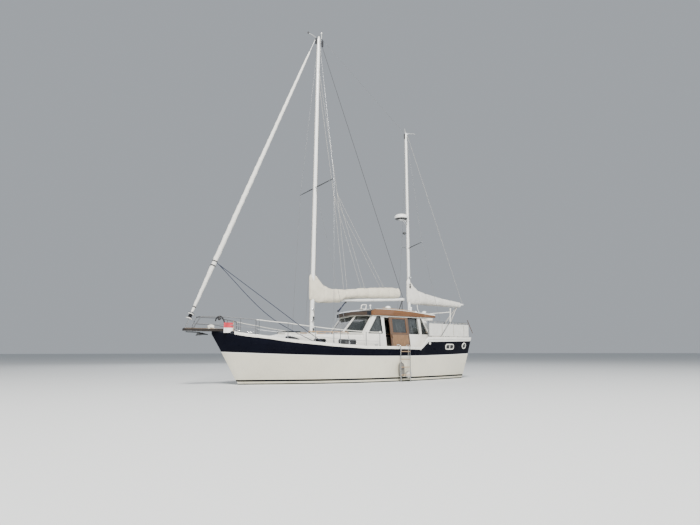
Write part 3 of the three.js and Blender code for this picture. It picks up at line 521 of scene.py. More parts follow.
class Graph:
    """A material's nodes, with short names for the ones that finishes use."""

    def __init__(self, name: str) -> None:
        """Makes the material with its shader.

        Args:
            name: the material's name.
        """
        self.material = bpy.data.materials.new(name)
        self.material.use_nodes = True
        self.tree = self.material.node_tree
        self.tree.nodes.clear()
        output = self.tree.nodes.new("ShaderNodeOutputMaterial")
        self.shader = self.tree.nodes.new("ShaderNodeBsdfPrincipled")
        self.tree.links.new(self.shader.outputs[0], output.inputs[0])
        self.place: Socket = self.tree.nodes.new("ShaderNodeTexCoord").outputs["Object"]

    def put(self, target: Socket, value: Union[Socket, float, Sequence[float]]) -> None:
        """Links a socket to an input, or sets the input's own value.

        Args:
            target: the input.
            value: a socket, a number or a colour.
        """
        if isinstance(value, bpy.types.NodeSocket):
            self.tree.links.new(value, target)
        else:
            target.default_value = value

    def set(self, **values: Union[Socket, float, Sequence[float]]) -> None:
        """Fills the shader's inputs, named with underscores for spaces."""
        for name, value in values.items():
            if isinstance(value, tuple) and len(value) == 3:
                value = (*value, 1.0)
            self.put(self.shader.inputs[name.replace("_", " ")], value)

    def math(self, operation: str, *values: Union[Socket, float]) -> Socket:
        """One sum of one to three values.

        Args:
            operation: which sum.
            values: what it works on.

        Returns:
            The result.
        """
        node = self.tree.nodes.new("ShaderNodeMath")
        node.operation = operation
        for target, value in zip(node.inputs, values):
            self.put(target, value)
        return node.outputs[0]

    def axes(self) -> tuple[Socket, Socket, Socket]:
        """The place's X, Y and Z.

        Returns:
            The three sockets.
        """
        node = self.tree.nodes.new("ShaderNodeSeparateXYZ")
        self.put(node.inputs[0], self.place)
        return node.outputs[0], node.outputs[1], node.outputs[2]

    def stretched(self, scale: Sequence[float]) -> Socket:
        """The place, scaled on each axis.

        Args:
            scale: the scale on each axis.

        Returns:
            The scaled place.
        """
        node = self.tree.nodes.new("ShaderNodeMapping")
        self.put(node.inputs["Vector"], self.place)
        node.inputs["Scale"].default_value = scale
        return node.outputs[0]

    def noise(
        self, scale: float, stretch: Sequence[float] = (1.0, 1.0, 1.0), detail: float = 4.0,
        rough: float = 0.55
    ) -> Socket:
        """Cloudy noise from 0 to 1.

        Args:
            scale: features in a metre.
            stretch: the scale on each axis.
            detail: how many octaves.
            rough: how strong the fine ones are.

        Returns:
            The noise.
        """
        node = self.tree.nodes.new("ShaderNodeTexNoise")
        self.put(node.inputs["Vector"], self.stretched(stretch))
        node.inputs["Scale"].default_value = scale
        node.inputs["Detail"].default_value = detail
        node.inputs["Roughness"].default_value = rough
        return node.outputs[0]

    def wave(self, scale: float, axis: str, distortion: float = 0.0) -> Socket:
        """Bands from 0 to 1 across an axis.

        Args:
            scale: bands in a metre, roughly.
            axis: X, Y, Z or DIAGONAL.
            distortion: how far the bands wander.

        Returns:
            The bands.
        """
        node = self.tree.nodes.new("ShaderNodeTexWave")
        self.put(node.inputs["Vector"], self.place)
        node.bands_direction = axis
        node.wave_profile = "SIN"
        node.inputs["Scale"].default_value = scale
        node.inputs["Distortion"].default_value = distortion
        node.inputs["Detail"].default_value = 2.0
        return node.outputs[1]

    def span(
        self, value: Socket, low: float, high: float, out_low: float = 0.0, out_high: float = 1.0,
    ) -> Socket:
        """A value carried from one range to another and held there.

        Args:
            value: what is carried.
            low: the range's start.
            high: the range's end.
            out_low: what the start becomes.
            out_high: what the end becomes.

        Returns:
            The new value.
        """
        node = self.tree.nodes.new("ShaderNodeMapRange")
        for target, number in zip(node.inputs, (value, low, high, out_low, out_high)):
            self.put(target, number)
        return node.outputs[0]

    def mix(
        self, share: Union[Socket, float], first: Union[Socket, Colour], second: Union[Socket, Colour]
    ) -> Socket:
        """A colour between two.

        Args:
            share: how much of the second.
            first: the first colour.
            second: the second colour.

        Returns:
            The mixed colour.
        """
        node = self.tree.nodes.new("ShaderNodeMix")
        node.data_type = "RGBA"
        self.put(node.inputs[0], share)
        for target, colour in ((node.inputs[6], first), (node.inputs[7], second)):
            self.put(target, colour if isinstance(colour, bpy.types.NodeSocket) else (*colour, 1.0))
        return node.outputs[2]

    def bump(self, height: Socket, depth: float, strength: float = 1.0) -> None:
        """Gives the shader a relief.

        Args:
            height: the relief, from 0 to 1.
            depth: its depth in metres.
            strength: how much of it shows.
        """
        node = self.tree.nodes.new("ShaderNodeBump")
        node.inputs["Strength"].default_value = strength
        node.inputs["Distance"].default_value = depth
        self.put(node.inputs["Height"], height)
        self.put(self.shader.inputs["Normal"], node.outputs[0])


def shade(colour: Colour, share: float) -> Colour:
    """The colour, darker or lighter by a share."""
    return tuple(min(1.0, channel * share) for channel in colour)


_MADE: dict[str, bpy.types.Material] = {}


@dataclass(frozen=True)
class Finish:
    """What a piece is made of: a name for its material and the record's slot for it."""

    name: str
    slot: str
    colour: Colour

    def material(self) -> bpy.types.Material:
        """The finish's one material, made when it is first asked for.

        Returns:
            The material.
        """
        if self.name not in _MADE:
            graph = Graph(self.name)
            self.paint(graph)
            _MADE[self.name] = graph.material
        return _MADE[self.name]

    def paint(self, graph: Graph) -> None:
        """Draws the finish.

        Args:
            graph: the material's nodes.
        """
        raise NotImplementedError


@dataclass(frozen=True)
class Paint(Finish):
    """Gelcoat, enamel or moulded plastic, with faint clouding, run marks and fine relief."""

    gloss: float = 0.28
    coat: float = 0.35
    dirt: float = 0.12
    relief: float = 0.0006

    def paint(self, graph: Graph) -> None:
        """Draws the paint.

        Args:
            graph: the material's nodes.
        """
        clouds = graph.span(graph.noise(2.3), 0.35, 0.75)
        runs = graph.span(graph.noise(3.0, (7.0, 7.0, 0.5), 5.0, 0.6), 0.52, 0.8)
        colour = graph.mix(clouds, shade(self.colour, 1.0), shade(self.colour, 1 - self.dirt * 0.6))
        stained = graph.mix(graph.math("MULTIPLY", runs, self.dirt * 3), colour, shade(self.colour, 0.55))
        rough = graph.span(graph.noise(9.0, detail=6.0), 0.3, 0.75, self.gloss - 0.06, self.gloss + 0.12)
        graph.set(Base_Color=stained, Roughness=rough, IOR=1.48)
        if self.coat:
            graph.set(Coat_Weight=self.coat, Coat_Roughness=0.12)
        graph.bump(graph.math("ADD", graph.noise(4.0), graph.noise(160.0)), self.relief)


@dataclass(frozen=True)
class HullPaint(Finish):
    """The hull's paint: antifouling, boot stripe and cream topsides under a dark band with a white line."""

    band: Colour = (0.0025, 0.003, 0.007)
    boot: Colour = (0.010, 0.011, 0.014)
    bottom: Colour = (0.020, 0.022, 0.027)
    line: Colour = (0.82, 0.82, 0.78)
    line_width: float = 0.026
    # The band's lower edge: height amidships, slope and bend along the boat.
    edge: tuple[float, float, float] = (0.874, 0.0056, 0.0046)
    # The white quarter's lower edge and the slope up to it: each a slope and a height amidships.
    quarter: tuple[float, float] = (-0.0218, 1.3152)
    slope: tuple[float, float] = (-0.6975, -0.1984)
    stripe: tuple[float, float] = (0.092, 0.15)
    waterline: float = 0.035

    def paint(self, graph: Graph) -> None:
        """Draws the bands by height above the water.

        Args:
            graph: the material's nodes.
        """
        x, _, z = graph.axes()
        height, rise, bend = self.edge
        curve = graph.math("MULTIPLY_ADD", graph.math("MULTIPLY", x, x), bend, height)
        edge = graph.math("MULTIPLY_ADD", x, rise, curve)
        clouds = graph.span(graph.noise(1.7), 0.3, 0.75)
        runs = graph.span(graph.noise(2.4, (9.0, 9.0, 0.35), 6.0, 0.62), 0.5, 0.85)
        cream = graph.mix(clouds, self.colour, shade(self.colour, 0.93))
        cream = graph.mix(graph.math("MULTIPLY", runs, 0.22), cream, (0.50, 0.43, 0.28))
        patches = graph.span(graph.noise(5.0, (1, 1, 3)), 0.4, 0.7)
        scum = graph.math("MULTIPLY", graph.span(z, 0.34, 0.06), patches)
        cream = graph.mix(graph.math("MULTIPLY", scum, 0.35), cream, (0.42, 0.38, 0.24))
        dark = graph.mix(clouds, self.band, shade(self.band, 1.4))
        under = graph.math("SUBTRACT", edge, self.line_width)
        colour = graph.mix(self._above(graph, z, under), cream, self.line)
        colour = graph.mix(self._above(graph, z, edge), colour, dark)
        quarter = graph.math("MULTIPLY_ADD", x, *self.quarter)
        slope = graph.math("MULTIPLY_ADD", x, *self.slope)
        over = self._above(graph, z, graph.math("MINIMUM", quarter, slope))
        raised = graph.math("MULTIPLY", over, graph.span(x, STEP_X, STEP_X - 0.002))
        colour = graph.mix(raised, colour, self.line)
        low, high = (self._above(graph, z, level) for level in self.stripe)
        in_boot = graph.math("MULTIPLY", low, graph.math("SUBTRACT", 1.0, high))
        colour = graph.mix(in_boot, colour, self.boot)
        slime = graph.mix(graph.span(graph.noise(14.0), 0.4, 0.65), self.bottom, (0.035, 0.045, 0.03))
        colour = graph.mix(self._above(graph, z, self.waterline), slime, colour)
        wet = graph.span(graph.noise(6.0, detail=6.0), 0.3, 0.75, 0.24, 0.40)
        graph.set(Base_Color=colour, Roughness=wet, IOR=1.45, Specular_IOR_Level=0.06, Coat_Weight=0.0)
        graph.bump(graph.noise(0.9, detail=3.0), 0.003, 0.6)

    def _above(self, graph: Graph, z: Socket, level: Union[Socket, float]) -> Socket:
        """1 above a level and 0 below it, with a sharp painted edge.

        Args:
            graph: the material's nodes.
            z: the height.
            level: the edge's height.

        Returns:
            The share above.
        """
        over = graph.math("SUBTRACT", z, level)
        return graph.span(over, -0.0015, 0.0015)


@dataclass(frozen=True)
class Wood(Finish):
    """Varnished or oiled timber with grain along one axis."""

    grain: Grain = Grain.ALONG
    gloss: float = 0.22
    coat: float = 0.6

    def paint(self, graph: Graph) -> None:
        """Draws the grain.

        Args:
            graph: the material's nodes.
        """
        figure = graph.noise(1.6, self.grain.value, 6.0, 0.6)
        pores = graph.noise(9.0, self.grain.value, 3.0, 0.7)
        colour = graph.mix(graph.span(figure, 0.32, 0.7), shade(self.colour, 1.25), shade(self.colour, 0.62))
        colour = graph.mix(graph.span(pores, 0.55, 0.8), colour, shade(self.colour, 0.35))
        worn = graph.span(graph.noise(1.3), 0.5, 0.8)
        colour = graph.mix(graph.math("MULTIPLY", worn, 0.35), colour, shade(self.colour, 1.5))
        rough = graph.span(figure, 0.3, 0.7, self.gloss, self.gloss + 0.16)
        graph.set(
            Base_Color=colour, Roughness=rough, Coat_Weight=self.coat, Coat_Roughness=0.2,
            Specular_IOR_Level=0.3,
        )
        graph.bump(figure, 0.0009)


@dataclass(frozen=True)
class DeckPlanks(Finish):
    """Laid teak with dark caulking between planks that run fore and aft."""

    width: float = 0.052
    seam: float = 0.006

    def paint(self, graph: Graph) -> None:
        """Draws the planks by distance from the centreline.

        Args:
            graph: the material's nodes.
        """
        x, y, _ = graph.axes()
        # The offset keeps the planks' numbers above nought on both sides.
        lane = graph.math("ADD", graph.math("DIVIDE", y, self.width), 200.0)
        within = graph.math("MULTIPLY", graph.math("FRACT", lane), self.width)
        number = graph.math("FLOOR", lane)
        # Butts 2.2 m apart along a plank, shifted from each plank to the next.
        along = graph.math("ADD", graph.math("MULTIPLY", x, 0.45), graph.math("MULTIPLY", number, 0.37))
        caulked = graph.math("LESS_THAN", within, self.seam)
        butted = graph.math("LESS_THAN", graph.math("FRACT", along), 0.0025)
        seams = graph.math("MAXIMUM", caulked, butted)
        # A tint for each plank, scattered by its number.
        scatter = graph.math("SINE", graph.math("MULTIPLY", number, 12.9))
        tint = graph.math("FRACT", graph.math("MULTIPLY", scatter, 437.5))
        figure = graph.noise(1.8, Grain.ALONG.value, 6.0, 0.62)
        wood = graph.mix(graph.span(figure, 0.3, 0.7), shade(self.colour, 1.12), shade(self.colour, 0.7))
        wood = graph.mix(graph.math("MULTIPLY", tint, 0.45), wood, shade(self.colour, 0.72))
        salt = graph.span(graph.noise(2.1), 0.5, 0.8)
        wood = graph.mix(graph.math("MULTIPLY", salt, 0.4), wood, (0.47, 0.44, 0.39))
        colour = graph.mix(seams, wood, (0.018, 0.017, 0.017))
        graph.set(Base_Color=colour, Roughness=graph.span(figure, 0.3, 0.7, 0.6, 0.82), IOR=1.45)
        graph.bump(graph.math("SUBTRACT", figure, graph.math("MULTIPLY", seams, 1.5)), 0.002)


@dataclass(frozen=True)
class Metal(Finish):
    """Polished, brushed, cast or enamelled metal."""

    gloss: float = 0.2
    metallic: float = 1.0
    spots: float = 0.15
    spot_colour: Colour = (0.25, 0.16, 0.09)

    def paint(self, graph: Graph) -> None:
        """Draws the metal with its tarnish.

        Args:
            graph: the material's nodes.
        """
        clouds = graph.span(graph.noise(6.0), 0.3, 0.7)
        tarnish = graph.span(graph.noise(38.0, detail=6.0), 0.58, 0.78)
        colour = graph.mix(clouds, self.colour, shade(self.colour, 0.82))
        colour = graph.mix(graph.math("MULTIPLY", tarnish, self.spots), colour, self.spot_colour)
        brushed = graph.noise(30.0, (1.0, 9.0, 9.0), 5.0)
        rough = graph.span(brushed, 0.3, 0.7, self.gloss, self.gloss + 0.16)
        graph.set(Base_Color=colour, Roughness=rough, Metallic=self.metallic)
        graph.bump(brushed, 0.0003)


@dataclass(frozen=True)
class Cloth(Finish):
    """Woven cloth with a visible weave, soft creases with painted shade in their folds, and weather marks."""

    weave: float = 240.0
    creases: float = 0.010
    crease_stretch: tuple[float, float, float] = (1.0, 1.0, 1.6)
    soil: Colour = (0.42, 0.37, 0.27)
    soiling: float = 0.22
    sheen: float = 0.25
    rough: float = 0.86

    def paint(self, graph: Graph) -> None:
        """Draws the cloth.

        Args:
            graph: the material's nodes.
        """
        warp = graph.wave(self.weave, "X")
        weft = graph.wave(self.weave, "Z")
        threads = graph.math("MULTIPLY", warp, weft)
        folds = graph.noise(5.5, self.crease_stretch, 5.0, 0.6)
        # Painted shade: the colour darkens where the folds' relief is low.
        colour = graph.mix(graph.span(folds, 0.3, 0.72), shade(self.colour, 0.86), self.colour)
        colour = graph.mix(graph.math("MULTIPLY", threads, 0.12), colour, shade(self.colour, 0.7))
        stains = graph.span(graph.noise(1.9, (1.4, 1.4, 0.7), 6.0, 0.62), 0.5, 0.8)
        colour = graph.mix(graph.math("MULTIPLY", stains, self.soiling), colour, self.soil)
        graph.set(
            Base_Color=colour,
            Roughness=graph.span(threads, 0.0, 1.0, self.rough - 0.08, self.rough + 0.06),
            Sheen_Weight=self.sheen,
            Sheen_Roughness=0.5,
        )
        fine = graph.math("MULTIPLY", threads, 0.05)
        graph.bump(graph.math("ADD", folds, fine), self.creases)


@dataclass(frozen=True)
class Glass(Finish):
    """Tinted glazing, clear enough to show the cabin darkly, with dried salt on it."""

    clear: float = 0.72

    def paint(self, graph: Graph) -> None:
        """Draws the glazing.

        Args:
            graph: the material's nodes.
        """
        salt = graph.span(graph.noise(7.0, (1, 1, 0.6), 6.0, 0.6), 0.55, 0.85)
        colour = graph.mix(graph.math("MULTIPLY", salt, 0.35), self.colour, (0.62, 0.64, 0.64))
        rough = graph.span(graph.noise(11.0, detail=5.0), 0.4, 0.8, 0.02, 0.10)
        graph.set(Base_Color=colour, Roughness=rough, Transmission_Weight=self.clear, IOR=1.45)
        graph.bump(graph.noise(1.2, detail=2.0), 0.0012)


@dataclass(frozen=True)
class Rubber(Finish):
    """Rubber or dull plastic, scuffed and faded."""

    rough: float = 0.7
    fade: Colour = (0.34, 0.34, 0.33)

    def paint(self, graph: Graph) -> None:
        """Draws the rubber.

        Args:
            graph: the material's nodes.
        """
        scuffs = graph.span(graph.noise(16.0, detail=6.0), 0.52, 0.8)
        clouds = graph.span(graph.noise(4.0), 0.35, 0.7)
        colour = graph.mix(clouds, self.colour, shade(self.colour, 0.7))
        colour = graph.mix(graph.math("MULTIPLY", scuffs, 0.3), colour, self.fade)
        graph.set(Base_Color=colour, Roughness=graph.span(scuffs, 0.0, 1.0, self.rough, self.rough + 0.15))
        graph.bump(graph.noise(60.0), 0.0006)


@dataclass(frozen=True)
class Rope(Finish):
    """Laid rope, its strands showing as slanting ridges, with painted shade in the grooves between them."""

    def paint(self, graph: Graph) -> None:
        """Draws the strands.

        Args:
            graph: the material's nodes.
        """
        strands = graph.wave(60.0, "DIAGONAL", 1.0)
        # Painted shade: the grooves between the strands are darker.
        colour = graph.mix(strands, shade(self.colour, 0.6), shade(self.colour, 1.1))
        graph.set(Base_Color=colour, Roughness=0.85, Sheen_Weight=0.2)
        graph.bump(strands, 0.0012)


@dataclass(frozen=True)
class Banner(Finish):
    """Flag cloth in two level stripes."""

    lower: Colour = (0.82, 0.82, 0.80)
    split: float = 0.0

    def paint(self, graph: Graph) -> None:
        """Draws the stripes.

        Args:
            graph: the material's nodes.
        """
        _, _, z = graph.axes()
        over = graph.span(graph.math("SUBTRACT", z, self.split), -0.002, 0.002)
        threads = graph.math("MULTIPLY", graph.wave(300.0, "X"), graph.wave(300.0, "Z"))
        folds = graph.noise(9.0)
        colour = graph.mix(over, self.lower, self.colour)
        colour = graph.mix(graph.math("MULTIPLY", threads, 0.15), colour, (0.2, 0.15, 0.15))
        graph.set(Base_Color=colour, Roughness=graph.span(folds, 0.3, 0.7, 0.7, 0.85), Sheen_Weight=0.2)
        graph.bump(folds, 0.006)


HULL_PAINT = HullPaint("hull_paint", "gelcoat", (0.80, 0.765, 0.64))
WHITE = Paint("white_gelcoat", "white_paint", (0.80, 0.79, 0.74))
RAIL_WHITE = Paint("rail_white", "white_paint", (0.84, 0.83, 0.77), dirt=0.2)
SPAR = Paint("spar_enamel", "spar_paint", (0.84, 0.85, 0.84), gloss=0.3, dirt=0.05, relief=0.0003)
DOME = Paint("dome_plastic", "white_paint", (0.86, 0.86, 0.84), gloss=0.34, coat=0.15, dirt=0.06)
BLACK = Paint("black_enamel", "black_paint", (0.022, 0.022, 0.025), gloss=0.36, coat=0.1, dirt=0.02)
# Black for the cap rail's bow, and painted shade on the roof's front.
BLACK_BAND_AND_SHADE = Paint("dark_band_and_painted_shade", "black_paint", (0.012, 0.013, 0.018), gloss=0.2, dirt=0.02)
ANTIFOUL = Paint("antifouling", "bottom_paint", (0.022, 0.024, 0.03), gloss=0.6, coat=0.0, dirt=0.3)
ENGINE = Paint("engine_enamel", "engine_paint", (0.10, 0.24, 0.17), gloss=0.34)
TEAK = DeckPlanks("laid_teak", "teak", (0.40, 0.30, 0.20))
SOLE = DeckPlanks("cabin_sole", "teak", (0.42, 0.26, 0.14), width=0.07, seam=0.008)
PLATFORM = Wood("platform_timber", "dark_wood", (0.022, 0.018, 0.016), gloss=0.6, coat=0.0)
VARNISH = Wood("varnish_along", "varnish", (0.15, 0.067, 0.027), coat=0.2)
VARNISH_UP = Wood("varnish_upright", "varnish", (0.105, 0.062, 0.038), Grain.UPRIGHT, coat=0.2)
# A darker copy of the varnish: painted shade on the roof's front board.
VARNISH_SHADED = Wood("varnish_painted_shade", "varnish", (0.07, 0.045, 0.03), Grain.ACROSS, gloss=0.35)
PANEL = Wood("door_panel", "varnish", (0.22, 0.128, 0.068), Grain.UPRIGHT, gloss=0.45, coat=0.05)
HANDRAIL = Wood("teak_rail", "teak", (0.46, 0.30, 0.17), gloss=0.5, coat=0.1)
STEEL = Metal("stainless", "steel", (0.62, 0.63, 0.64), gloss=0.13, spots=0.1)
WIRE = Metal("wire_rope", "steel", (0.42, 0.43, 0.44), gloss=0.3, spots=0.25)
GALVANISED = Metal("galvanised_iron", "galvanised", (0.10, 0.105, 0.11), gloss=0.5, metallic=0.7, spots=0.5)
TUBE = Metal("weathered_tube", "steel", (0.17, 0.175, 0.185), gloss=0.42, metallic=0.55, spots=0.2)
BRONZE = Metal(
    "cast_bronze", "bronze", (0.42, 0.29, 0.12), gloss=0.3, spots=0.35, spot_colour=(0.10, 0.20, 0.14),
)
CANVAS = Cloth("cover_canvas", "canvas", (0.72, 0.67, 0.545))
CANVAS_WHITE = Cloth("cover_canvas_white", "canvas", (0.76, 0.745, 0.69), soiling=0.16)
SAILCLOTH = Cloth("sailcloth", "sailcloth", (0.80, 0.79, 0.75), creases=0.004, soiling=0.12)
DODGER = Cloth("weather_cloth_fabric", "sailcloth", (0.74, 0.735, 0.69), creases=0.005, soiling=0.2)
CUSHION = Cloth("cushion_cloth", "upholstery", (0.06, 0.085, 0.14), weave=300.0, creases=0.004, soiling=0.05)
GLAZING = Glass("tinted_glass", "glass", (0.06, 0.072, 0.075))
SMOKED = Glass("smoked_sheet", "smoked_acrylic", (0.012, 0.013, 0.015), clear=0.25)
GASKET = Rubber("window_gasket", "fender", (0.012, 0.012, 0.013), rough=0.55, fade=(0.06, 0.06, 0.06))
FENDER_GREY = Rubber("grey_fender", "fender", (0.17, 0.165, 0.15))
FENDER_WHITE = Rubber("white_fender", "fender", (0.66, 0.65, 0.60))
ROPE_PALE = Rope("pale_rope", "sailcloth", (0.55, 0.53, 0.48))
ROPE_BLUE = Rope("blue_rope", "canvas", (0.010, 0.016, 0.045))
SEAM = Rope("seam_tape", "canvas", (0.20, 0.13, 0.08))
ROPE_DARK = Rope("dark_rope", "canvas", (0.045, 0.045, 0.05))


# Hull


# Hull lines. Columns: x, half breadth at the sheer, sheer, half breadth at the waterline, bottom.
LINES = Table([
    (5.262, 0.026, 1.612, 0.016, 1.545),
    (5.0, 0.285, 1.532, 0.016, 1.12),
    (4.65, 0.545, 1.44, 0.016, 0.52),
    (4.35, 0.715, 1.376, 0.02, 0.025),
    (4.0, 0.885, 1.318, 0.15, -0.23),
    (3.5, 1.085, 1.255, 0.39, -0.4),
    (3.0, 1.245, 1.203, 0.62, -0.52),
    (2.3, 1.415, 1.15, 0.91, -0.625),
    (1.6, 1.525, 1.11, 1.13, -0.69),
    (0.9, 1.59, 1.075, 1.29, -0.725),
    (0.4, 1.615, 1.052, 1.36, -0.735),
    (-0.4, 1.63, 1.052, 1.41, -0.725),
    (-1.2, 1.615, 1.052, 1.41, -0.685),
    (-1.8, 1.588, 1.052, 1.37, -0.63),
    (-2.26, 1.552, 1.45, 1.312, -0.571),
    (-3.0, 1.48, 1.46, 1.19, -0.45),
    (-3.6, 1.41, 1.466, 1.06, -0.325),
    (-4.15, 1.335, 1.47, 0.92, -0.19),
    (-4.55, 1.265, 1.473, 0.82, -0.09),
])
STEM_X = 5.262
STERN_X = -4.55
# The transom's rake for each metre of height, and the station where it sets in.
LEAN = -0.09
LEAN_FROM = -4.15
# A height on the raised stern, for reading the station under a point of its rail.
STERN_RAIL_Z = 1.5
# How far the flat of the bottom rises to the bilge, and how the side fills out above it.
BILGE_RISE = 0.018
FLARE = 0.85
BULWARK = 0.06
RAIL = 0.09
# How far the bulwark stands above the sheer. Columns: x, rise.
RISE = Table((
    (5.3, 0.02), (5.0, 0.06), (4.65, 0.09), (4.35, 0.1), (4.0, 0.12), (3.75, 0.12), (3.5, 0.108),
    (3.0, 0.098),
    (2.3, 0.087), (1.6, 0.067), (0.4, 0.063), (-1.2, 0.05), (-1.84, 0.033), (-2.2, 0.001), (-5.0, 0.001),
))


def leaned(x: float, z: float) -> float:
    """Where a station's point at this height stands, with the transom's rake."""
    return x + LEAN * z * min(max((LEAN_FROM - x) / (LEAN_FROM - STERN_X), 0.0), 1.0)


def unleaned(x: float, z: float) -> float:
    """The station whose point at this height stands at x.

    Args:
        x: the place along the boat.
        z: the height.

    Returns:
        The station.
    """
    if x >= LEAN_FROM:
        return x
    share = (LEAN_FROM - x) / (LEAN_FROM - STERN_X - LEAN * z)
    return LEAN_FROM - share * (LEAN_FROM - STERN_X)


def beam_at(x: float) -> float:
    """Half the breadth at the sheer."""
    return LINES.at(unleaned(x, STERN_RAIL_Z), 1)


def rail_at(x: float) -> float:
    """The height of the cap rail's top."""
    station = unleaned(x, STERN_RAIL_Z)
    return LINES.at(station, 2) + RISE.at(station) + RAIL


def rail_spot(x: float, side: Side, inset: float = 0.026, over: float = 0.0) -> Vector:
    """A point on the cap rail.

    Args:
        x: its place along the boat.
        side: which side.
        inset: how far inside the sheer.
        over: how far above the rail.

    Returns:
        The point.
    """
    return Vector((x, side.value * (beam_at(x) - inset), rail_at(x) + over))


def skin_at(x: float, z: float) -> float:
    """Half the breadth of the hull's side at a height above its bilge.

    Args:
        x: the station.
        z: the height.

    Returns:
        The distance from the centreline.
    """
    half, sheer, water, bottom = (LINES.at(x, c) for c in (1, 2, 3, 4))
    turn = max(0.0, bottom + BILGE_RISE)
    return water + (half - water) * ((z - turn) / (sheer - turn)) ** FLARE


@dataclass
class Hull:
    """The hull with its keel and cap rail."""

    bilge: float = 1.95
    flare: float = FLARE
    bottom_steps: int = 14
    side_steps: int = 14
    deck_drop: float = 0.072
    # A slight fullness where the deck steps up: how far out, its x, height, length and depth.
    fullness: tuple[float, float, float, float, float] = (0.012, -2.22, 0.99, 0.16, 0.14)
    # Each laid deck's front and back.
    side_deck: tuple[float, float] = (4.95, -2.3)
    aft_deck: tuple[float, float] = (-2.36, -4.49)
    # The sheer forward of the step, which the side deck keeps under the raised quarter.
    midships: float = 1.052
    # Rooms let into the hull. Columns: front, back, half width, floor.
    rooms: tuple[tuple[float, float, float, float], ...] = (
        (2.98, 0.72, 0.52, 0.3),
        (0.3, -2.6, 1.0, 0.35),
        (-3.33, -3.93, 0.3, 0.7),
    )
    # The keel's sections. Columns: height, front, half thickness.
    keel_levels: tuple[tuple[float, float, float], ...] = (
        (-0.12, 3.35, 0.2),
        (-0.7, 2.75, 0.17),
        (-1.2, 1.9, 0.13),
        (-1.55, 1.15, 0.095),
    )
    keel_aft: float = -3.365
    # The propeller's aperture: front, low, high.
    aperture: tuple[float, float, float] = (-2.99, -1.08, -0.5)

    def _stations(self) -> list[float]:
        """Where the hull's rings stand, close together at the stem and at each step.

        Returns:
            The stations, from the stem aft.
        """
        xs = spread(STEM_X, 4.62, 24) + spread(4.55, STERN_X, 96)
        for front, back, _, _ in (*self.rooms, (*self.side_deck, 0, 0), (*self.aft_deck, 0, 0)):
            for edge in (front, back):
                xs += [edge + 0.0004, edge - 0.0004]
        return sorted(xs, reverse=True)

    def _ring(self, x: float) -> list[Vector]:
        """One section of the hull, from the bottom up the port side and down the other.

        Args:
            x: the station.

        Returns:
            The section's points.
        """
        half, sheer, water, bottom = (LINES.at(x, c) for c in (1, 2, 3, 4))
        turn = max(0.0, bottom + BILGE_RISE)
        side = []
        for i in range(1, self.bottom_steps + 1):
            angle = i / self.bottom_steps * math.pi / 2
            side.append(
                (water * math.sin(angle) ** self.bilge, bottom + (turn - bottom) * (1 - math.cos(angle)))
            )
        # The fullness keeps the side deck's edge inside the skin.
        swell, at_x, at_z, long, deep = self.fullness
        for i in range(1, self.side_steps + 1):
            share = i / self.side_steps
            z = turn + (sheer - turn) * share
            full = swell * math.exp(-((x - at_x) / long) ** 2 - ((z - at_z) / deep) ** 2)
            side.append((water + (half - water) * share**self.flare + full, z))
        on_side, on_aft = (low < x < high for high, low in (self.side_deck, self.aft_deck))
        inner = half - BULWARK if on_side or on_aft else half * 0.8
        deck = sheer - 0.001
        if on_side:
            deck = (self.midships if x < STEP_X else sheer) - self.deck_drop
        elif on_aft:
            deck = sheer - self.deck_drop
        room, floor = inner * 0.5, deck - 0.001
        for front, back, width, level in self.rooms:
            if back < x < front:
                room, floor = width, level
        top = sheer + RISE.at(x)
        share = min(1.0, max(0.0, (deck - turn) / (sheer - turn)))
        low = min(inner, water + (half - water) * share**self.flare - 0.03)
        side += [(half, top), (inner, top), (low, deck), (min(room, low), deck), (min(room, low), floor)]
        outline = [(0.0, bottom), *side, (0.0, floor), *((-y, z) for y, z in reversed(side))]
        return [Vector((leaned(x, z), y, z)) for y, z in outline]

    def skin(self) -> None:
        """Lofts the hull, white inside its bulwark."""
        maker = Maker().loft([self._ring(x) for x in self._stations()])
        maker.build(
            "hull_skin",
            HULL_PAINT,
            replaces=("hull_fore", "hull_middle", "hull_stern"),
            second=(WHITE, self._is_inside),
            crease=40,
        )

    def _is_inside(self, face: bmesh.types.BMFace) -> bool:
        """Whether a face looks inboard or up.

        Args:
            face: a face of the hull.

        Returns:
            True where it takes the inside's paint.
        """
        spot = face.calc_center_median()
        if face.normal.z > 0.7 or face.normal.y * spot.y < -0.1 * abs(spot.y):
            return True
        in_walls = face.normal.x > 0.9 or (face.normal.x < -0.9 and spot.x > -4.4)
        return in_walls and spot.z > 0.2 and spot.x < 4.97

    def keel(self) -> None:
        """Lofts the long keel with its propeller aperture, and adds the heel shoe."""
        levels = Table(self.keel_levels)
        plan = Table(((0, 0.02), (0.004, 0.16), (0.03, 0.4), (0.14, 0.78), (0.4, 1), (0.78, 0.8), (1, 0.3)))
        front_of_hole, low, high = self.aperture
        zs = sorted(spread(-1.55, -0.12, 26) + [low - 0.03, low, high, high + 0.03])
        rings = []
        for z in zs:
            nose, half = levels.at(z, 1), levels.at(z, 2)
            rear = front_of_hole if low <= z <= high else self.keel_aft
            shares = [0.0, 0.004, 0.012, 0.03, 0.07, 0.14, 0.26, 0.4, 0.6, 0.78, 0.9, 1.0]
            side = [(nose - share * (nose - rear), half * plan.at(share)) for share in shares]
            rings.append([(x, y, z) for x, y in side] + [(x, -y, z) for x, y in reversed(side)])
        maker = Maker().loft(rings)
        maker.box((-3.5, -0.034, -1.55), (-3.165, 0.034, -1.5), 0.008)
        maker.build("long_keel", ANTIFOUL, replaces=("keel",), crease=50)
        boss = Maker().lathe(
            [(0.03, 0), (0.052, 0.04), (0.07, 0.2), (0.08, 0.35)], (-3.045, 0, -0.8), (1, 0, 0), 24,
        )
        boss.build("stern_tube", BRONZE)

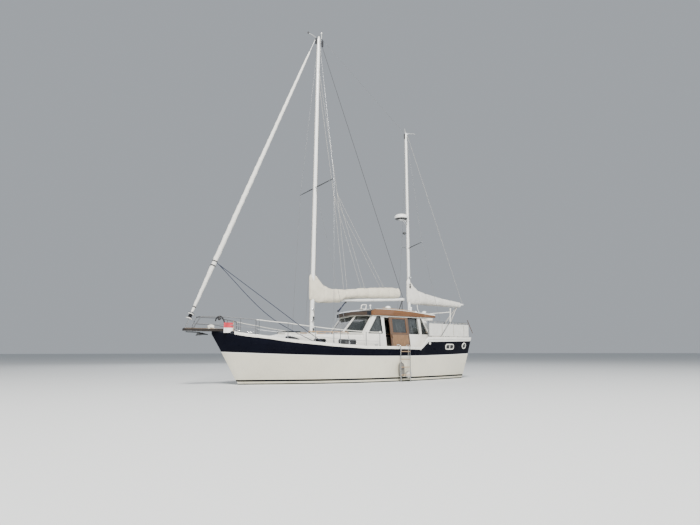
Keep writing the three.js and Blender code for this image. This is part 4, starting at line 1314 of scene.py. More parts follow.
    def cap_rail(self) -> None:
        """Sweeps the white cap rail along both sides and across the transom."""
        maker = Maker()
        xs = spread(STEM_X, 4.7, 22) + spread(4.6, STERN_X, 92)
        for side in Side:
            maker.loft([self._rail_ring(x, side) for x in xs])
        top = LINES.at(STERN_X, 2)
        ring = self._rounded_box(-0.078, 0.008, top - 0.002, top + RAIL, 0.018)
        maker.loft([[(leaned(STERN_X, z) - along, y, z) for along, z in ring] for y in spread(-1.2, 1.2, 25)])
        at_bow = (BLACK_BAND_AND_SHADE, lambda face: face.calc_center_median().x > 4.72)
        maker.build("cap_moulding", RAIL_WHITE, replaces=("cap_rail",), second=at_bow)

    def _rounded_box(
        self, low: float, high: float, floor: float, top: float, radius: float,
    ) -> list[tuple[float, float]]:
        """A section with rounded corners.

        Args:
            low: its start across.
            high: its end across.
            floor: its lowest height.
            top: its greatest height.
            radius: of its upper corners.

        Returns:
            Pairs across and up.
        """
        points = [(low, floor)]
        for centre, start in ((low + radius, math.pi), (high - radius, math.pi / 2)):
            for i in range(5):
                angle = start - i / 4 * math.pi / 2
                points.append((centre + radius * math.cos(angle), top - radius + radius * math.sin(angle)))
        return [*points, (high, floor)]

    def _rail_ring(self, x: float, side: Side) -> list[Vector]:
        """One section of the cap rail.

        Args:
            x: the station.
            side: which side.

        Returns:
            The section's points.
        """
        half, sheer = LINES.at(x, 1), LINES.at(x, 2) + RISE.at(x)
        inner = max(half - BULWARK - 0.002, 0.001)
        top = min(sheer + RAIL, 1.638) if x > 4.8 else sheer + RAIL
        radius = min(0.02, (half + 0.012 - inner) / 2.5, (top - sheer) / 2.5)
        outline = self._rounded_box(inner, half + 0.012, sheer - 0.002, top, radius)
        return [Vector((leaned(x, z), side.value * y, z)) for y, z in outline]

    def build(self) -> None:
        """Makes the hull's pieces."""
        self.skin()
        self.keel()
        self.cap_rail()


# The trunk's half width at its foot. Columns: x, half width.
TRUNK_FOOT = Table(((3.38, 0.77), (3.06, 0.87), (2.63, 0.975), (1.6, 1.165), (0.376, 1.274)))
TRUNK_BASE = 0.992
# How far the cabin's and pilothouse's sides lean in for each metre of height.
TUMBLEHOME = 0.16
HOUSE_HALF = 1.08
HOUSE_TOP = 2.27
# Half the width of the arch under the roof.
ARCH_HALF = 1.035
# Roof sections. Columns: x, half width, edge height, crown height, camber of the underside.
ROOF_TABLE = Table((
    (0.046, 1.06, 2.382, 2.446, 0.06),
    (0.0, 1.13, 2.405, 2.47, 0.06),
    (-0.19, 1.15, 2.482, 2.525, 0.06),
    (-0.7, 1.165, 2.486, 2.54, 0.03),
    (-1.6, 1.165, 2.456, 2.518, 0.0),
    (-2.45, 1.15, 2.388, 2.484, 0.0),
    (-3.0, 1.115, 2.345, 2.478, 0.0),
))


def trunk_side(x: float, z: float) -> float:
    """How far from the centreline the trunk's side stands."""
    return TRUNK_FOOT.at(x) - TUMBLEHOME * (z - TRUNK_BASE)


def tumbled(spot: Vector) -> Vector:
    """Leans a point drawn on the pilothouse's upright side in to the side's slope."""
    return Vector((spot.x, spot.y + math.copysign(TUMBLEHOME * (HOUSE_TOP - spot.z), spot.y), spot.z))


@dataclass
class Decks:
    """Laid decks, the trunk cabin on the fore part and the aft hatch."""

    # Side lights. Columns: aft end, fore end, low, high.
    portlights: tuple[tuple[float, float, float, float], ...] = (
        (0.69, 1.36, 1.245, 1.425),
        (1.80, 2.22, 1.295, 1.43),
    )
    # The dark wedge at the trunk's forward corner, tapering to its after end: a framed smoked sheet as
    # painted shadow where the trunk's sloped front meets the deck.
    shadow_wedge: tuple[tuple[float, float], ...] = (
        (2.70, 1.40),
        (2.90, 1.425),
        (3.13, 1.432),
        (3.13, 1.485),
        (3.03, 1.505),
        (2.91, 1.502),
        (2.71, 1.425),
    )

    def build(self) -> None:
        """Makes the decks' pieces."""
        dress("side_deck", TEAK)
        dress("aft_deck", TEAK)
        dress("trunk_cabin", WHITE, 0.014, 3)
        dress("fore_hatch", SMOKED, 0.006)
        dress("aft_hatch", WHITE, 0.008)
        self._portlights()
        self._trims()

    def _portlights(self) -> None:
        """Dark side lights with pale frames, and a framed smoked sheet as painted shadow at the trunk's
        forward corner.
        """
        for side in Side:
            glass, frame_ = Maker(), Maker()
            corners = [
                [(aft, low), (fore, low), (fore, high), (aft, high)]
                for aft, fore, low, high in self.portlights
            ]
            # The last outline is the painted shadow at the trunk's forward corner.
            for points in (*corners, self.shadow_wedge):
                on_corner = points is self.shadow_wedge
                outline = rounded_outline(points, 0.02 if on_corner else 0.06)
                out = 0.016 if on_corner else 0.0005
                path = [
                    (x, side.value * (trunk_side(x, z) + out - 17 * max(0.0, z - 1.46) ** 2), z)
                    for x, z in outline
                ]
                glass.slab(path, (0, side.value * 0.006, 0))
                frame_.moulding(path, window_bead(0.011, 0.010), (0, side.value, 0))
            glass.build(f"trunk_lights_{side.word}", SMOKED)
            frame_.build(f"trunk_light_frames_{side.word}", STEEL)

    def _trims(self) -> None:
        """The trunk's handrails on their feet."""
        for side in Side:
            rail = Maker()
            points = [
                (x, side.value * (0.80 - 0.09 * max(0.0, x - 0.7) / 1.9), 1.618 + 0.002)
                for x in spread(0.75, 2.25, 6)
            ]
            tops = [Vector(p) + UP * 0.055 for p in points]
            rail.pipe([points[0], *tops, points[-1]], 0.015, 12, 0.05)
            for foot, top in zip(points[1:-1], tops[1:-1]):
                rail.pipe([foot, top], [0.02, 0.014], 10)
            rail.build(f"trunk_handrail_{side.word}", HANDRAIL)


def rounded_outline(corners: Sequence[Point], fillet: float, steps: int = 6) -> list[tuple[float, ...]]:
    """A closed outline with rounded corners.

    Args:
        corners: its corners in order.
        fillet: how far from each corner the rounding starts.
        steps: points on each rounding.

    Returns:
        The outline.
    """
    knots = [Vector(c) for c in corners]
    outline = []
    for i, corner in enumerate(knots):
        arc = corner_arc(knots[i - 1], corner, knots[(i + 1) % len(knots)], fillet, steps)
        outline += [tuple(spot) for spot in arc]
    return outline


def window_bead(width: float, height: float) -> list[tuple[float, float]]:
    """The section of a window's frame: a low rounded bead across the path.

    Args:
        width: half its width.
        height: how far it stands up.

    Returns:
        Pairs across the path and along its stand.
    """
    points = [(-width, -0.004)]
    for i in range(7):
        angle = math.pi * (1 - i / 6)
        points.append((width * math.cos(angle), height * math.sin(angle)))
    return [*points, (width, -0.004)]


# Pilothouse


@dataclass
class Pilothouse:
    """The wheelhouse: walls, glazing, sliding doors and cambered roof."""

    half: float = HOUSE_HALF
    # Side windows, each as pairs of x and z.
    glazed: tuple[tuple[tuple[float, float], ...], ...] = (
        ((0.172, 1.645), (-0.266, 2.24), (-0.418, 2.24), (-0.44, 1.645)),
        ((-1.65, 1.645), (-1.65, 2.24), (-2.1, 2.24), (-2.125, 1.645)),
        ((-2.25, 1.645), (-2.25, 2.225), (-2.288, 2.225), (-2.55, 1.645)),
    )
    roof_base: float = 2.2705
    door_half: float = 1.119
    # The door's panel and its glazing: inset from the door's ends, low, high.
    panel: tuple[float, float, float] = (0.07, 1.12, 1.6)
    lite: tuple[float, float, float] = (0.11, 1.665, 2.18)

    def build(self) -> None:
        """Makes the house's pieces."""
        for node in (
            "pilothouse_side_port", "pilothouse_side_starboard", "pilothouse_front", "pilothouse_aft_wall",
        ):
            dress(node, WHITE, 0.006, 3)
        for side in Side:
            for node in ("side_glass_fore", "side_glass_aft", "door_glass", "windshield"):
                dress(f"{node}_{side.word}", GLAZING)
            self._gaskets(side)
            self._door(side)
        self._roof()
        self._fascia()

    def _gaskets(self, side: Side) -> None:
        """Black seals round the side windows.

        Args:
            side: which side.
        """
        maker = Maker()
        for outline in self.glazed:
            path = [(x, side.value * self.half, z) for x, z in rounded_outline(outline, 0.03)]
            maker.moulding(
                path, window_bead(0.012, 0.007 if outline[0][0] > 0 else 0.0025), (0, side.value, 0),
            )
        maker.warped(tumbled).build(f"window_seals_{side.word}", GASKET)

    def _door(self, side: Side) -> None:
        """A sliding door: its frame is the solid, with a pale panel and a glazing bead on it.

        Args:
            side: which side.
        """
        body = f"{side.word}_door"
        dress(f"door_{side.word}", VARNISH_UP, 0.004)
        low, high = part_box(f"door_{side.word}")
        y = side.value * self.door_half
        panel = Maker()
        outline = self._door_outline(low.x, high.x, self.panel, 0.02)
        panel.slab([(x, y - side.value * 0.001, z) for x, z in outline], (0, side.value * 0.004, 0))
        panel.warped(tumbled).build(f"door_panel_{side.word}", PANEL, body)
        bead = Maker()
        lite = self._door_outline(low.x, high.x, self.lite, 0.015)
        bead.moulding([(x, y, z) for x, z in lite], window_bead(0.012, 0.005), (0, side.value, 0))
        bead.warped(tumbled).build(f"door_bead_{side.word}", VARNISH, body)

    def _door_outline(
        self, aft: float, front: float, sizes: tuple[float, float, float], fillet: float
    ) -> list[tuple[float, ...]]:
        """A rounded outline on a door.

        Args:
            aft: the door's after end.
            front: its front end.
            sizes: the inset from its ends, the low edge and the high edge.
            fillet: the rounding.

        Returns:
            The outline.
        """
        inset, low, high = sizes
        front, aft = front - inset, aft + inset
        return rounded_outline([(front, low), (front, high), (aft, high), (aft, low)], fillet)

    def _roof(self) -> None:
        """The white cambered roof, with painted shade in black on its front."""
        table = ROOF_TABLE
        rings = []
        for x in [0.0395, 0.03, 0.02, *spread(0.0, -2.96, 48), -2.985, -3.0]:
            half, edge, crown, camber = (table.at(x, c) for c in (1, 2, 3, 4))
            half -= 0.012
            arch = []
            for i in range(25):
                angle = math.pi * i / 24
                across = math.copysign(abs(math.cos(angle)) ** 0.75, math.cos(angle))
                arch.append((x, half * across, edge + (crown - edge) * math.sin(angle) ** 0.8))
            under = [
                (x, y, self.roof_base + camber * max(0.0, 1 - abs(y) / ARCH_HALF))
                for y in spread(-half, half, 15)
            ]
            rings.append([*under, *arch])
        # Painted shade: the roof's front, all but its underside, takes the black finish.
        shaded = (BLACK_BAND_AND_SHADE, lambda face: face.calc_center_median().x > -0.2 and face.normal.z > -0.5)
        Maker().loft(rings).build("roof_top", WHITE, replaces=("pilothouse_roof",), second=shaded, crease=30)

    def _fascia(self) -> None:
        """The varnished boards along the roof's sides and the one across its front, darker as painted shade.
        """
        table = ROOF_TABLE
        for side in Side:
            rings = []
            for x in spread(0.0, -2.995, 40):
                half, edge = table.at(x, 1), table.at(x, 2)
                low, high = self.roof_base + 0.001, edge + 0.003
                inner, outer = half - 0.02, half
                section = [
                    (inner, low), (outer - 0.005, low), (outer, low + 0.006), (outer, high - 0.01),
                    (outer - 0.007, high), (inner, high + 0.004),
                ]
                rings.append([(x, side.value * y, z) for y, z in section])
            Maker().loft(rings).build(f"roof_fascia_{side.word}", VARNISH)
        front = Maker()
        rings = []
        for y in spread(-1.1, 1.1, 40):
            bow = 0.046 - 0.046 * max(0.0, abs(y) - 0.9) / 0.2
            low = self.roof_base + 0.001 + 0.06 * max(0.0, 1 - abs(y) / ARCH_HALF)
            top = 2.442 - 0.056 * (abs(y) / 1.1) ** 2
            back, face = bow - 0.03, bow - 0.001
            rings.append([(back, y, low), (face, y, low), (face, y, top), (back, y, top + 0.004)])
        # Painted shade: the front board takes the darker copy of the varnish.
        front.loft(rings).build("roof_front_board", VARNISH_SHADED)


# Spars and stowed sails


@dataclass(frozen=True)
class Spar:
    """A mast's place and taper, oval and longer fore and aft."""

    name: str
    # x and z of its two ends.
    foot: tuple[float, float]
    head: tuple[float, float]
    # Half its length fore and aft at the two ends, and its width as a share of that.
    half_foot: float
    half_head: float
    width: float

    def x_at(self, z: float) -> float:
        """Where the mast's middle stands at a height."""
        share = (z - self.foot[1]) / (self.head[1] - self.foot[1])
        return self.foot[0] + share * (self.head[0] - self.foot[0])

    def half_at(self, z: float) -> float:
        """Half the mast's length fore and aft at a height."""
        share = (z - self.foot[1]) / (self.head[1] - self.foot[1])
        return self.half_foot + share * (self.half_head - self.half_foot)


MAIN = Spar("main", (1.73, 1.662), (1.556, 12.79), 0.078, 0.06, 0.74)
MIZZEN = Spar("mizzen", (-2.66, 2.48), (-2.66, 9.97), 0.06, 0.046, 0.8)
# The booms' gooseneck pins: x and z.
MAIN_PIN = (1.58, 2.775)
MIZZEN_PIN = (-2.785, 2.935)


@dataclass
class Mast:
    """One mast with its spreaders, masthead, sail track, winches and halyards."""

    spar: Spar
    # The spreaders: height, half the span, and how far their tips lie aft of and above their roots.
    spreader_z: float
    spreader_half: float
    sweep: float
    rise: float
    # The gooseneck's pin: x and z.
    pin: tuple[float, float]
    # The masthead crane's reach aft and forward.
    crane: tuple[float, float]
    # Columns: height, side (1 to port, -1 to starboard).
    winches: tuple[tuple[float, float], ...]
    cleat_drop: float = 0.32

    def build(self) -> None:
        """Makes the mast's pieces."""
        self._tube()
        self._spreaders()
        self._head()
        self._gooseneck()
        self._fittings()

    def _tube(self) -> None:
        """The extruded mast, its sail track and its foot casting."""
        spar = self.spar
        maker = Maker()
        heights = spread(spar.foot[1], spar.head[1], 60)
        path = [(spar.x_at(z), 0.0, z) for z in heights]
        maker.pipe(path, [spar.half_at(z) * spar.width for z in heights], 32, flat=1 / spar.width)
        maker.build(f"{spar.name}_mast_tube", SPAR, replaces=(f"{spar.name}_mast",))
        low = self.pin[1] + 0.3
        track = Maker()
        rings = []
        for z in spread(low, spar.head[1] - 0.2, 40):
            x = spar.x_at(z) - spar.half_at(z)
            rings.append(
                [(x + 0.004, -0.011, z), (x - 0.007, -0.011, z), (x - 0.007, 0.011, z), (x + 0.004, 0.011, z)]
            )
        track.loft(rings)
        track.build(f"{spar.name}_sail_track", BLACK if spar is MIZZEN else GALVANISED)
        foot = Maker()
        x, z = spar.x_at(spar.foot[1]), spar.foot[1]
        for height, grow in ((0.0, 0.03), (0.03, 0.014)):
            before = len(foot.bm.verts)
            foot.lathe(
                [(0.0, 0.0), (1.0, 0.0), (1.0, 0.024), (0.94, 0.032), (0.0, 0.032)], (0, 0, 0), sides=40,
            )
            for vert in foot._fresh(before):
                vert.co.x = x + vert.co.x * (spar.half_foot + grow)
                vert.co.y *= spar.half_foot * spar.width + grow
                vert.co.z += z + height
        foot.build(f"{spar.name}_mast_collar", STEEL)

    def _spreaders(self) -> None:
        """Swept arms with a root fitting and a rounded tip boot."""
        spar, maker, fittings = self.spar, Maker(), Maker()
        x, z = spar.x_at(self.spreader_z), self.spreader_z
        root = spar.half_at(z) * spar.width
        for side in Side:
            start = Vector((x, side.value * (root - 0.01), z))
            end = Vector((x - self.sweep, side.value * self.spreader_half, z + self.rise))
            path = [start.lerp(end, t) for t in (0.0, 0.05, 0.4, 0.8, 0.97, 1.0)]
            maker.pipe(path, [0.030, 0.034, 0.030, 0.024, 0.02, 0.008], 16, flat=0.45)
            fittings.lathe(
                [(0.0, -0.03), (0.014, -0.028), (0.018, 0.0), (0.014, 0.028), (0.0, 0.03)],
                end, (0, 0, 1), 16,
            )
            fittings.pipe([start, start.lerp(end, 0.09)], [0.044, 0.036], 16, flat=0.6)
        maker.build(f"{spar.name}_spreader_arms", BLACK)
        fittings.build(f"{spar.name}_spreader_fittings", STEEL)

    def _head(self) -> None:
        """The masthead crane with its sheaves and blocks, an aerial and a wind vane."""
        spar, maker = self.spar, Maker()
        x, z = spar.head
        aft, fore = self.crane
        for y in (-0.026, 0.02):
            outline = [
                (x - aft, z + 0.006), (x + fore, z + 0.006), (x + fore, z - 0.03), (x + 0.04, z - 0.06),
                (x - 0.04, z - 0.06), (x - aft, z - 0.03),
            ]
            maker.slab([(px, y, pz) for px, pz in outline], (0, 0.006, 0), 0.0015)
        for centre in (x - aft + 0.02, x + fore - 0.02):
            maker.lathe(
                [(0.0, -0.018), (0.02, -0.018), (0.017, 0.0), (0.02, 0.018), (0.0, 0.018)],
                (centre, 0, z - 0.014), (0, 1, 0), 20,
            )
        maker.build(f"{spar.name}_masthead", STEEL)
        blocks, aloft = Maker(), Maker()
        hung = ((x - aft + 0.03, z - 0.30), (x + fore - 0.03, z - 0.26))
        for px, low in hung if spar is MAIN else hung[1:]:
            outline = rounded_outline(
                [(px - 0.034, low), (px + 0.034, low), (px + 0.034, z - 0.04), (px - 0.034, z - 0.04)], 0.03,
            )
            blocks.slab([(at, -0.016, up) for at, up in outline], (0, 0.032, 0), 0.003)
        if spar is MAIN:
            aloft.pipe([(x - 0.12, 0, z), (x - 0.12, 0, z + 0.32)], [0.008, 0.005], 10)
            aloft.lathe(
                [(0.0, 0.0), (0.022, 0.004), (0.022, 0.05), (0.0, 0.056)], (x - 0.12, 0, z + 0.23), sides=16,
            )
            aloft.pipe([(x + 0.12, 0, z), (x + 0.3, 0, z + 0.06), (x + 0.46, 0, z + 0.07)], 0.006, 10)
            blocks.lathe(
                [(0.0, 0.0), (0.03, 0.006), (0.034, 0.04), (0.014, 0.075), (0.0, 0.08)],
                (x + 0.46, 0, z + 0.055), sides=18,
            )
            aloft.lathe(
                [(0.0, 0.0), (0.036, 0.0), (0.036, 0.05), (0.02, 0.075), (0.0, 0.08)],
                (x, 0.0, z + 0.01), sides=24,
            )
        else:
            aloft.pipe([(x, 0, z + 0.005), (x - 0.5, 0, z + 0.09)], 0.006, 10)
            aloft.pipe([(x + 0.02, 0, z), (x + 0.05, 0, z + 0.19)], [0.006, 0.004], 10)
        blocks.build(f"{spar.name}_masthead_blocks", BLACK)
        aloft.build(f"{spar.name}_masthead_aerial", RAIL_WHITE)
        cap = Maker()
        half = spar.half_at(z)
        cap.pipe(
            [(x, 0, z - 0.004), (x, 0, z + 0.006), (x, 0, z + 0.011)],
            [half * spar.width * 1.06, half * spar.width * 1.06, half * 0.5], 28, flat=1 / spar.width,
        )
        cap.build(f"{spar.name}_mast_cap", SPAR)

    def _gooseneck(self) -> None:
        """The bracket and pin that carry the boom."""
        spar, maker = self.spar, Maker()
        pin_x, pin_z = self.pin
        face = spar.x_at(pin_z) - spar.half_at(pin_z)
        for low in (pin_z - 0.082, pin_z + 0.066):
            outline = rounded_outline(
                [(pin_x - 0.026, -0.026), (pin_x - 0.026, 0.026), (face + 0.02, 0.03), (face + 0.02, -0.03)],
                0.02,
            )
            maker.slab([(x, y, low) for x, y in outline], (0, 0, 0.016), 0.002)
        maker.pipe([(pin_x, 0, pin_z - 0.09), (pin_x, 0, pin_z + 0.09)], 0.0098, 20)
        maker.lathe(
            [(0.0, 0.0), (0.016, 0.0), (0.016, 0.008), (0.008, 0.012), (0.0, 0.012)],
            (pin_x, 0, pin_z + 0.082), sides=18,
        )
        maker.box((face - 0.003, -0.032, pin_z - 0.12), (face + 0.012, 0.032, pin_z + 0.12), 0.004)
        maker.build(f"{spar.name}_gooseneck", STEEL)

    def _fittings(self) -> None:
        """Winches on the mast's sides, cleats under them, and halyards down its faces, made fast there."""
        spar, winches, lines = self.spar, Maker(), Maker()
        for height, turn in self.winches:
            side = 1 if turn > 0 else -1
            root = Vector((spar.x_at(height), side * (spar.half_at(height) * spar.width - 0.004), height))
            drum = [
                (0.0, 0.0), (0.046, 0.0), (0.046, 0.014), (0.03, 0.024), (0.026, 0.05), (0.036, 0.078),
                (0.04, 0.084), (0.03, 0.094), (0.0, 0.094),
            ]
            winches.lathe(drum, root, (0, side, 0), 28)
            low = root - UP * self.cleat_drop
            winches.pipe(
                [
                    low - UP * 0.07 + Vector((0, side * 0.026, 0)),
                    low + UP * 0.07 + Vector((0, side * 0.026, 0)),
                ],
                [0.008, 0.012], 10,
            )
            winches.pipe([low, low + Vector((0, side * 0.026, 0))], [0.013, 0.009], 10)
        winches.build(f"{spar.name}_mast_winches", STEEL)
        top = spar.head[1] - 0.05
        foot = spar.foot[1] + 0.35
        for fore, y in ((1, 0.016), (1, -0.016), (-0.55, 0.045), (-0.55, -0.045)):
            points = []
            for z in spread(foot, top, 24):
                half = spar.half_at(z)
                wide = half * spar.width
                off_y = y if fore == 1 else math.copysign(wide * 0.86 + 0.009, y)
                off_x = half + 0.008 if fore == 1 else fore * half
                points.append((spar.x_at(z) + off_x, off_y, z))
            lines.pipe(points, 0.0045, 6)
        lines.build(f"{spar.name}_halyards", ROPE_PALE)
        turns = Maker()
        for height, turn in self.winches:
            side = 1 if turn > 0 else -1
            out = side * (spar.half_at(height) * spar.width + 0.028)
            x, z = spar.x_at(height), height - self.cleat_drop
            for k in range(5):
                reach = 0.088 - 0.006 * k
                bight = [
                    (
                        x + 0.026 * math.sin(2 * a), out + side * (0.006 * k + 0.012 * math.cos(a)),
                        z + reach * math.sin(a),
                    )
                    for a in spread(0, 2 * math.pi, 25)
                ]
                turns.pipe(bight, 0.0065, 6)
        turns.build(f"{spar.name}_made_fast_halyards", ROPE_DARK)


@dataclass
class Boom:
    """A boom with its stowed sail under a laced cover."""

    name: str
    # x and z of the gooseneck's pin and of the boom's end.
    pin: tuple[float, float]
    end: tuple[float, float]
    radius: float
    # The cover. Columns: x, bottom, top, half width.
    cover: tuple[tuple[float, float, float, float], ...]
    finish: Cloth
    # Where the cover leaves the mast, and where it reaches the boom.
    blend_from: float
    blend_to: float
    # Where its ties lie.
    ties: tuple[float, ...]
    # Picks the cover's folds.
    seed: int

    def build(self) -> None:
        """Makes the boom's pieces."""
        self._tube()
        self._cover()

    def z_at(self, x: float) -> float:
        """The height of the boom's middle."""
        share = (x - self.pin[0]) / (self.end[0] - self.pin[0])
        return self.pin[1] + share * (self.end[1] - self.pin[1])

    def _tube(self) -> None:
        """The tube, the eye round the pin, end castings and hanging bails."""
        body = f"{self.name}_boom"
        start, end = self.pin[0] - 0.07, self.end[0]
        tube = Maker()
        xs = [start, start - 0.004, end + 0.004, end]
        grow = [0.9, 1.0, 1.0, 0.9]
        tube.pipe([(x, 0, self.z_at(x)) for x in xs], [self.radius * g for g in grow], 28)
        tube.build(f"{self.name}_boom_tube", SPAR, body, replaces=(body,))
        iron = Maker()
        x, z = self.pin
        iron.lathe(
            [(0.0125, -0.06), (0.024, -0.06), (0.024, 0.06), (0.0125, 0.06), (0.0125, -0.06)], (x, 0, z),
            (0, 0, 1), 24,
        )
        iron.box((x - 0.1, -0.016, z - 0.032), (x - 0.02, 0.016, z + 0.032), 0.006)
        iron.lathe(
            [(0.0, 0.0), (self.radius * 1.04, 0.0), (self.radius * 1.04, 0.05), (self.radius * 0.6, 0.07)],
            (start - 0.05, 0, self.z_at(start)), (1, 0, 0), 28,
        )
        iron.lathe(
            [
                (0.0, 0.0), (self.radius * 0.8, 0.002), (self.radius * 1.04, 0.02),
                (self.radius * 1.04, 0.06), (0.0, 0.06),
            ],
            (end, 0, self.z_at(end)), (1, 0, 0), 28,
        )
        for share in (0.32, 0.62, 0.93):
            bail = x + (end - x) * share
            level = self.z_at(bail)
            reach = self.radius + 0.006
            loop = [
                (bail, reach * math.sin(a), level - 0.01 - reach * math.cos(a) * 1.25)
                for a in spread(-math.pi / 2, math.pi / 2, 12)
            ]
            iron.pipe(loop, 0.005, 8)
        iron.build(f"{self.name}_boom_fittings", STEEL, body)

    def _ring(self, x: float, table: Table) -> list[Vector]:
        """A section of the cover with the sail's bulk and the lacing's pinches in it.

        Args:
            x: where it stands.
            table: the cover's sizes.

        Returns:
            The section's points.
        """
        low, high, half = (table.at(x, c) for c in (1, 2, 3))
        middle = low + (high - low) * 0.36
        near = min(abs(x - tie) for tie in self.ties)
        pinch = 1 - 0.085 * math.exp(-((near / 0.07) ** 2))
        points = []
        count = 36
        for i in range(count):
            angle = 2 * math.pi * i / count
            up, out = math.sin(angle), math.cos(angle)
            span = high - middle if up > 0 else middle - low
            width = math.copysign(abs(out) ** (1.25 if up > 0 else 0.75), out) * half * pinch
            spot = Vector((x, width, middle + span * up * (1 - (1 - pinch) * 0.5)))
            bulk = noise.noise(Vector((x * 2.2, self.seed + spot.y * 5, spot.z * 4)))
            fold = noise.noise(Vector((x * 7.0 + spot.z * 5, self.seed + 9 + spot.y * 9, spot.z * 3.5)))
            lump = 0.013 * bulk + 0.010 * fold
            points.append(spot + Vector((0, out, up)) * lump)
        return points

    def _cover(self) -> None:
        """The cover, crossing from the mast's collar to the boom."""
        table = Table(self.cover)
        front, back = self.cover[0][0], self.cover[-1][0]
        xs = spread(front, back, int((front - back) / 0.024))
        maker = Maker().loft([self._ring(x, table) for x in xs])
        cover = maker.build(f"{self.name}_cover_cloth", self.finish, None, 60, (f"{self.name}_sail_cover",))
        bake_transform(cover)
        lacing = Maker()
        for tie in self.ties[1:]:
            ring = self._ring(tie, table)
            middle = sum(ring, Vector()) / len(ring)
            loop = [
                middle + (spot - middle) * 1.015 + Vector((0.012 * math.sin(i), 0, 0))
                for i, spot in enumerate(ring)
            ]
            lacing.pipe([*loop, loop[0]], 0.0035, 6)
        lacing.build(f"{self.name}_cover_lacing", ROPE_PALE, f"{self.name}_boom")


# Sail covers. Columns: x, bottom, top, half width.
MAIN_COVER = (
    (1.845, 2.86, 3.60, 0.02), (1.83, 2.80, 3.66, 0.06), (1.78, 2.76, 3.70, 0.088), (1.68, 2.74, 3.69, 0.092),
    (1.58, 2.72, 3.65, 0.094),
    (1.42, 2.70, 3.48, 0.105), (1.21, 2.715, 3.32, 0.15), (0.92, 2.74, 3.235, 0.165),
    (0.62, 2.775, 3.23, 0.165),
    (0.36, 2.90, 3.25, 0.165),
    (-0.3, 2.965, 3.33, 0.165), (-1.23, 3.025, 3.42, 0.155), (-2.1, 3.08, 3.455, 0.13),
    (-2.13, 3.10, 3.43, 0.11),
)
MAIN_TIES = (1.72, 1.3, 0.85, 0.4, -0.1, -0.6, -1.1, -1.6, -2.02)
MIZZEN_COVER = (
    (-2.555, 2.98, 3.76, 0.02), (-2.57, 2.92, 3.82, 0.05), (-2.62, 2.89, 3.84, 0.072),
    (-2.74, 2.87, 3.76, 0.078),
    (-2.9, 2.86, 3.58, 0.09), (-3.24, 2.855, 3.385, 0.135), (-3.8, 2.85, 3.27, 0.14),
    (-4.5, 2.845, 3.16, 0.125),
    (-5.1, 2.835, 3.09, 0.1), (-5.44, 2.85, 3.045, 0.07), (-5.46, 2.87, 3.03, 0.055),
)
MIZZEN_TIES = (-2.7, -3.1, -3.5, -3.95, -4.4, -4.85, -5.3)


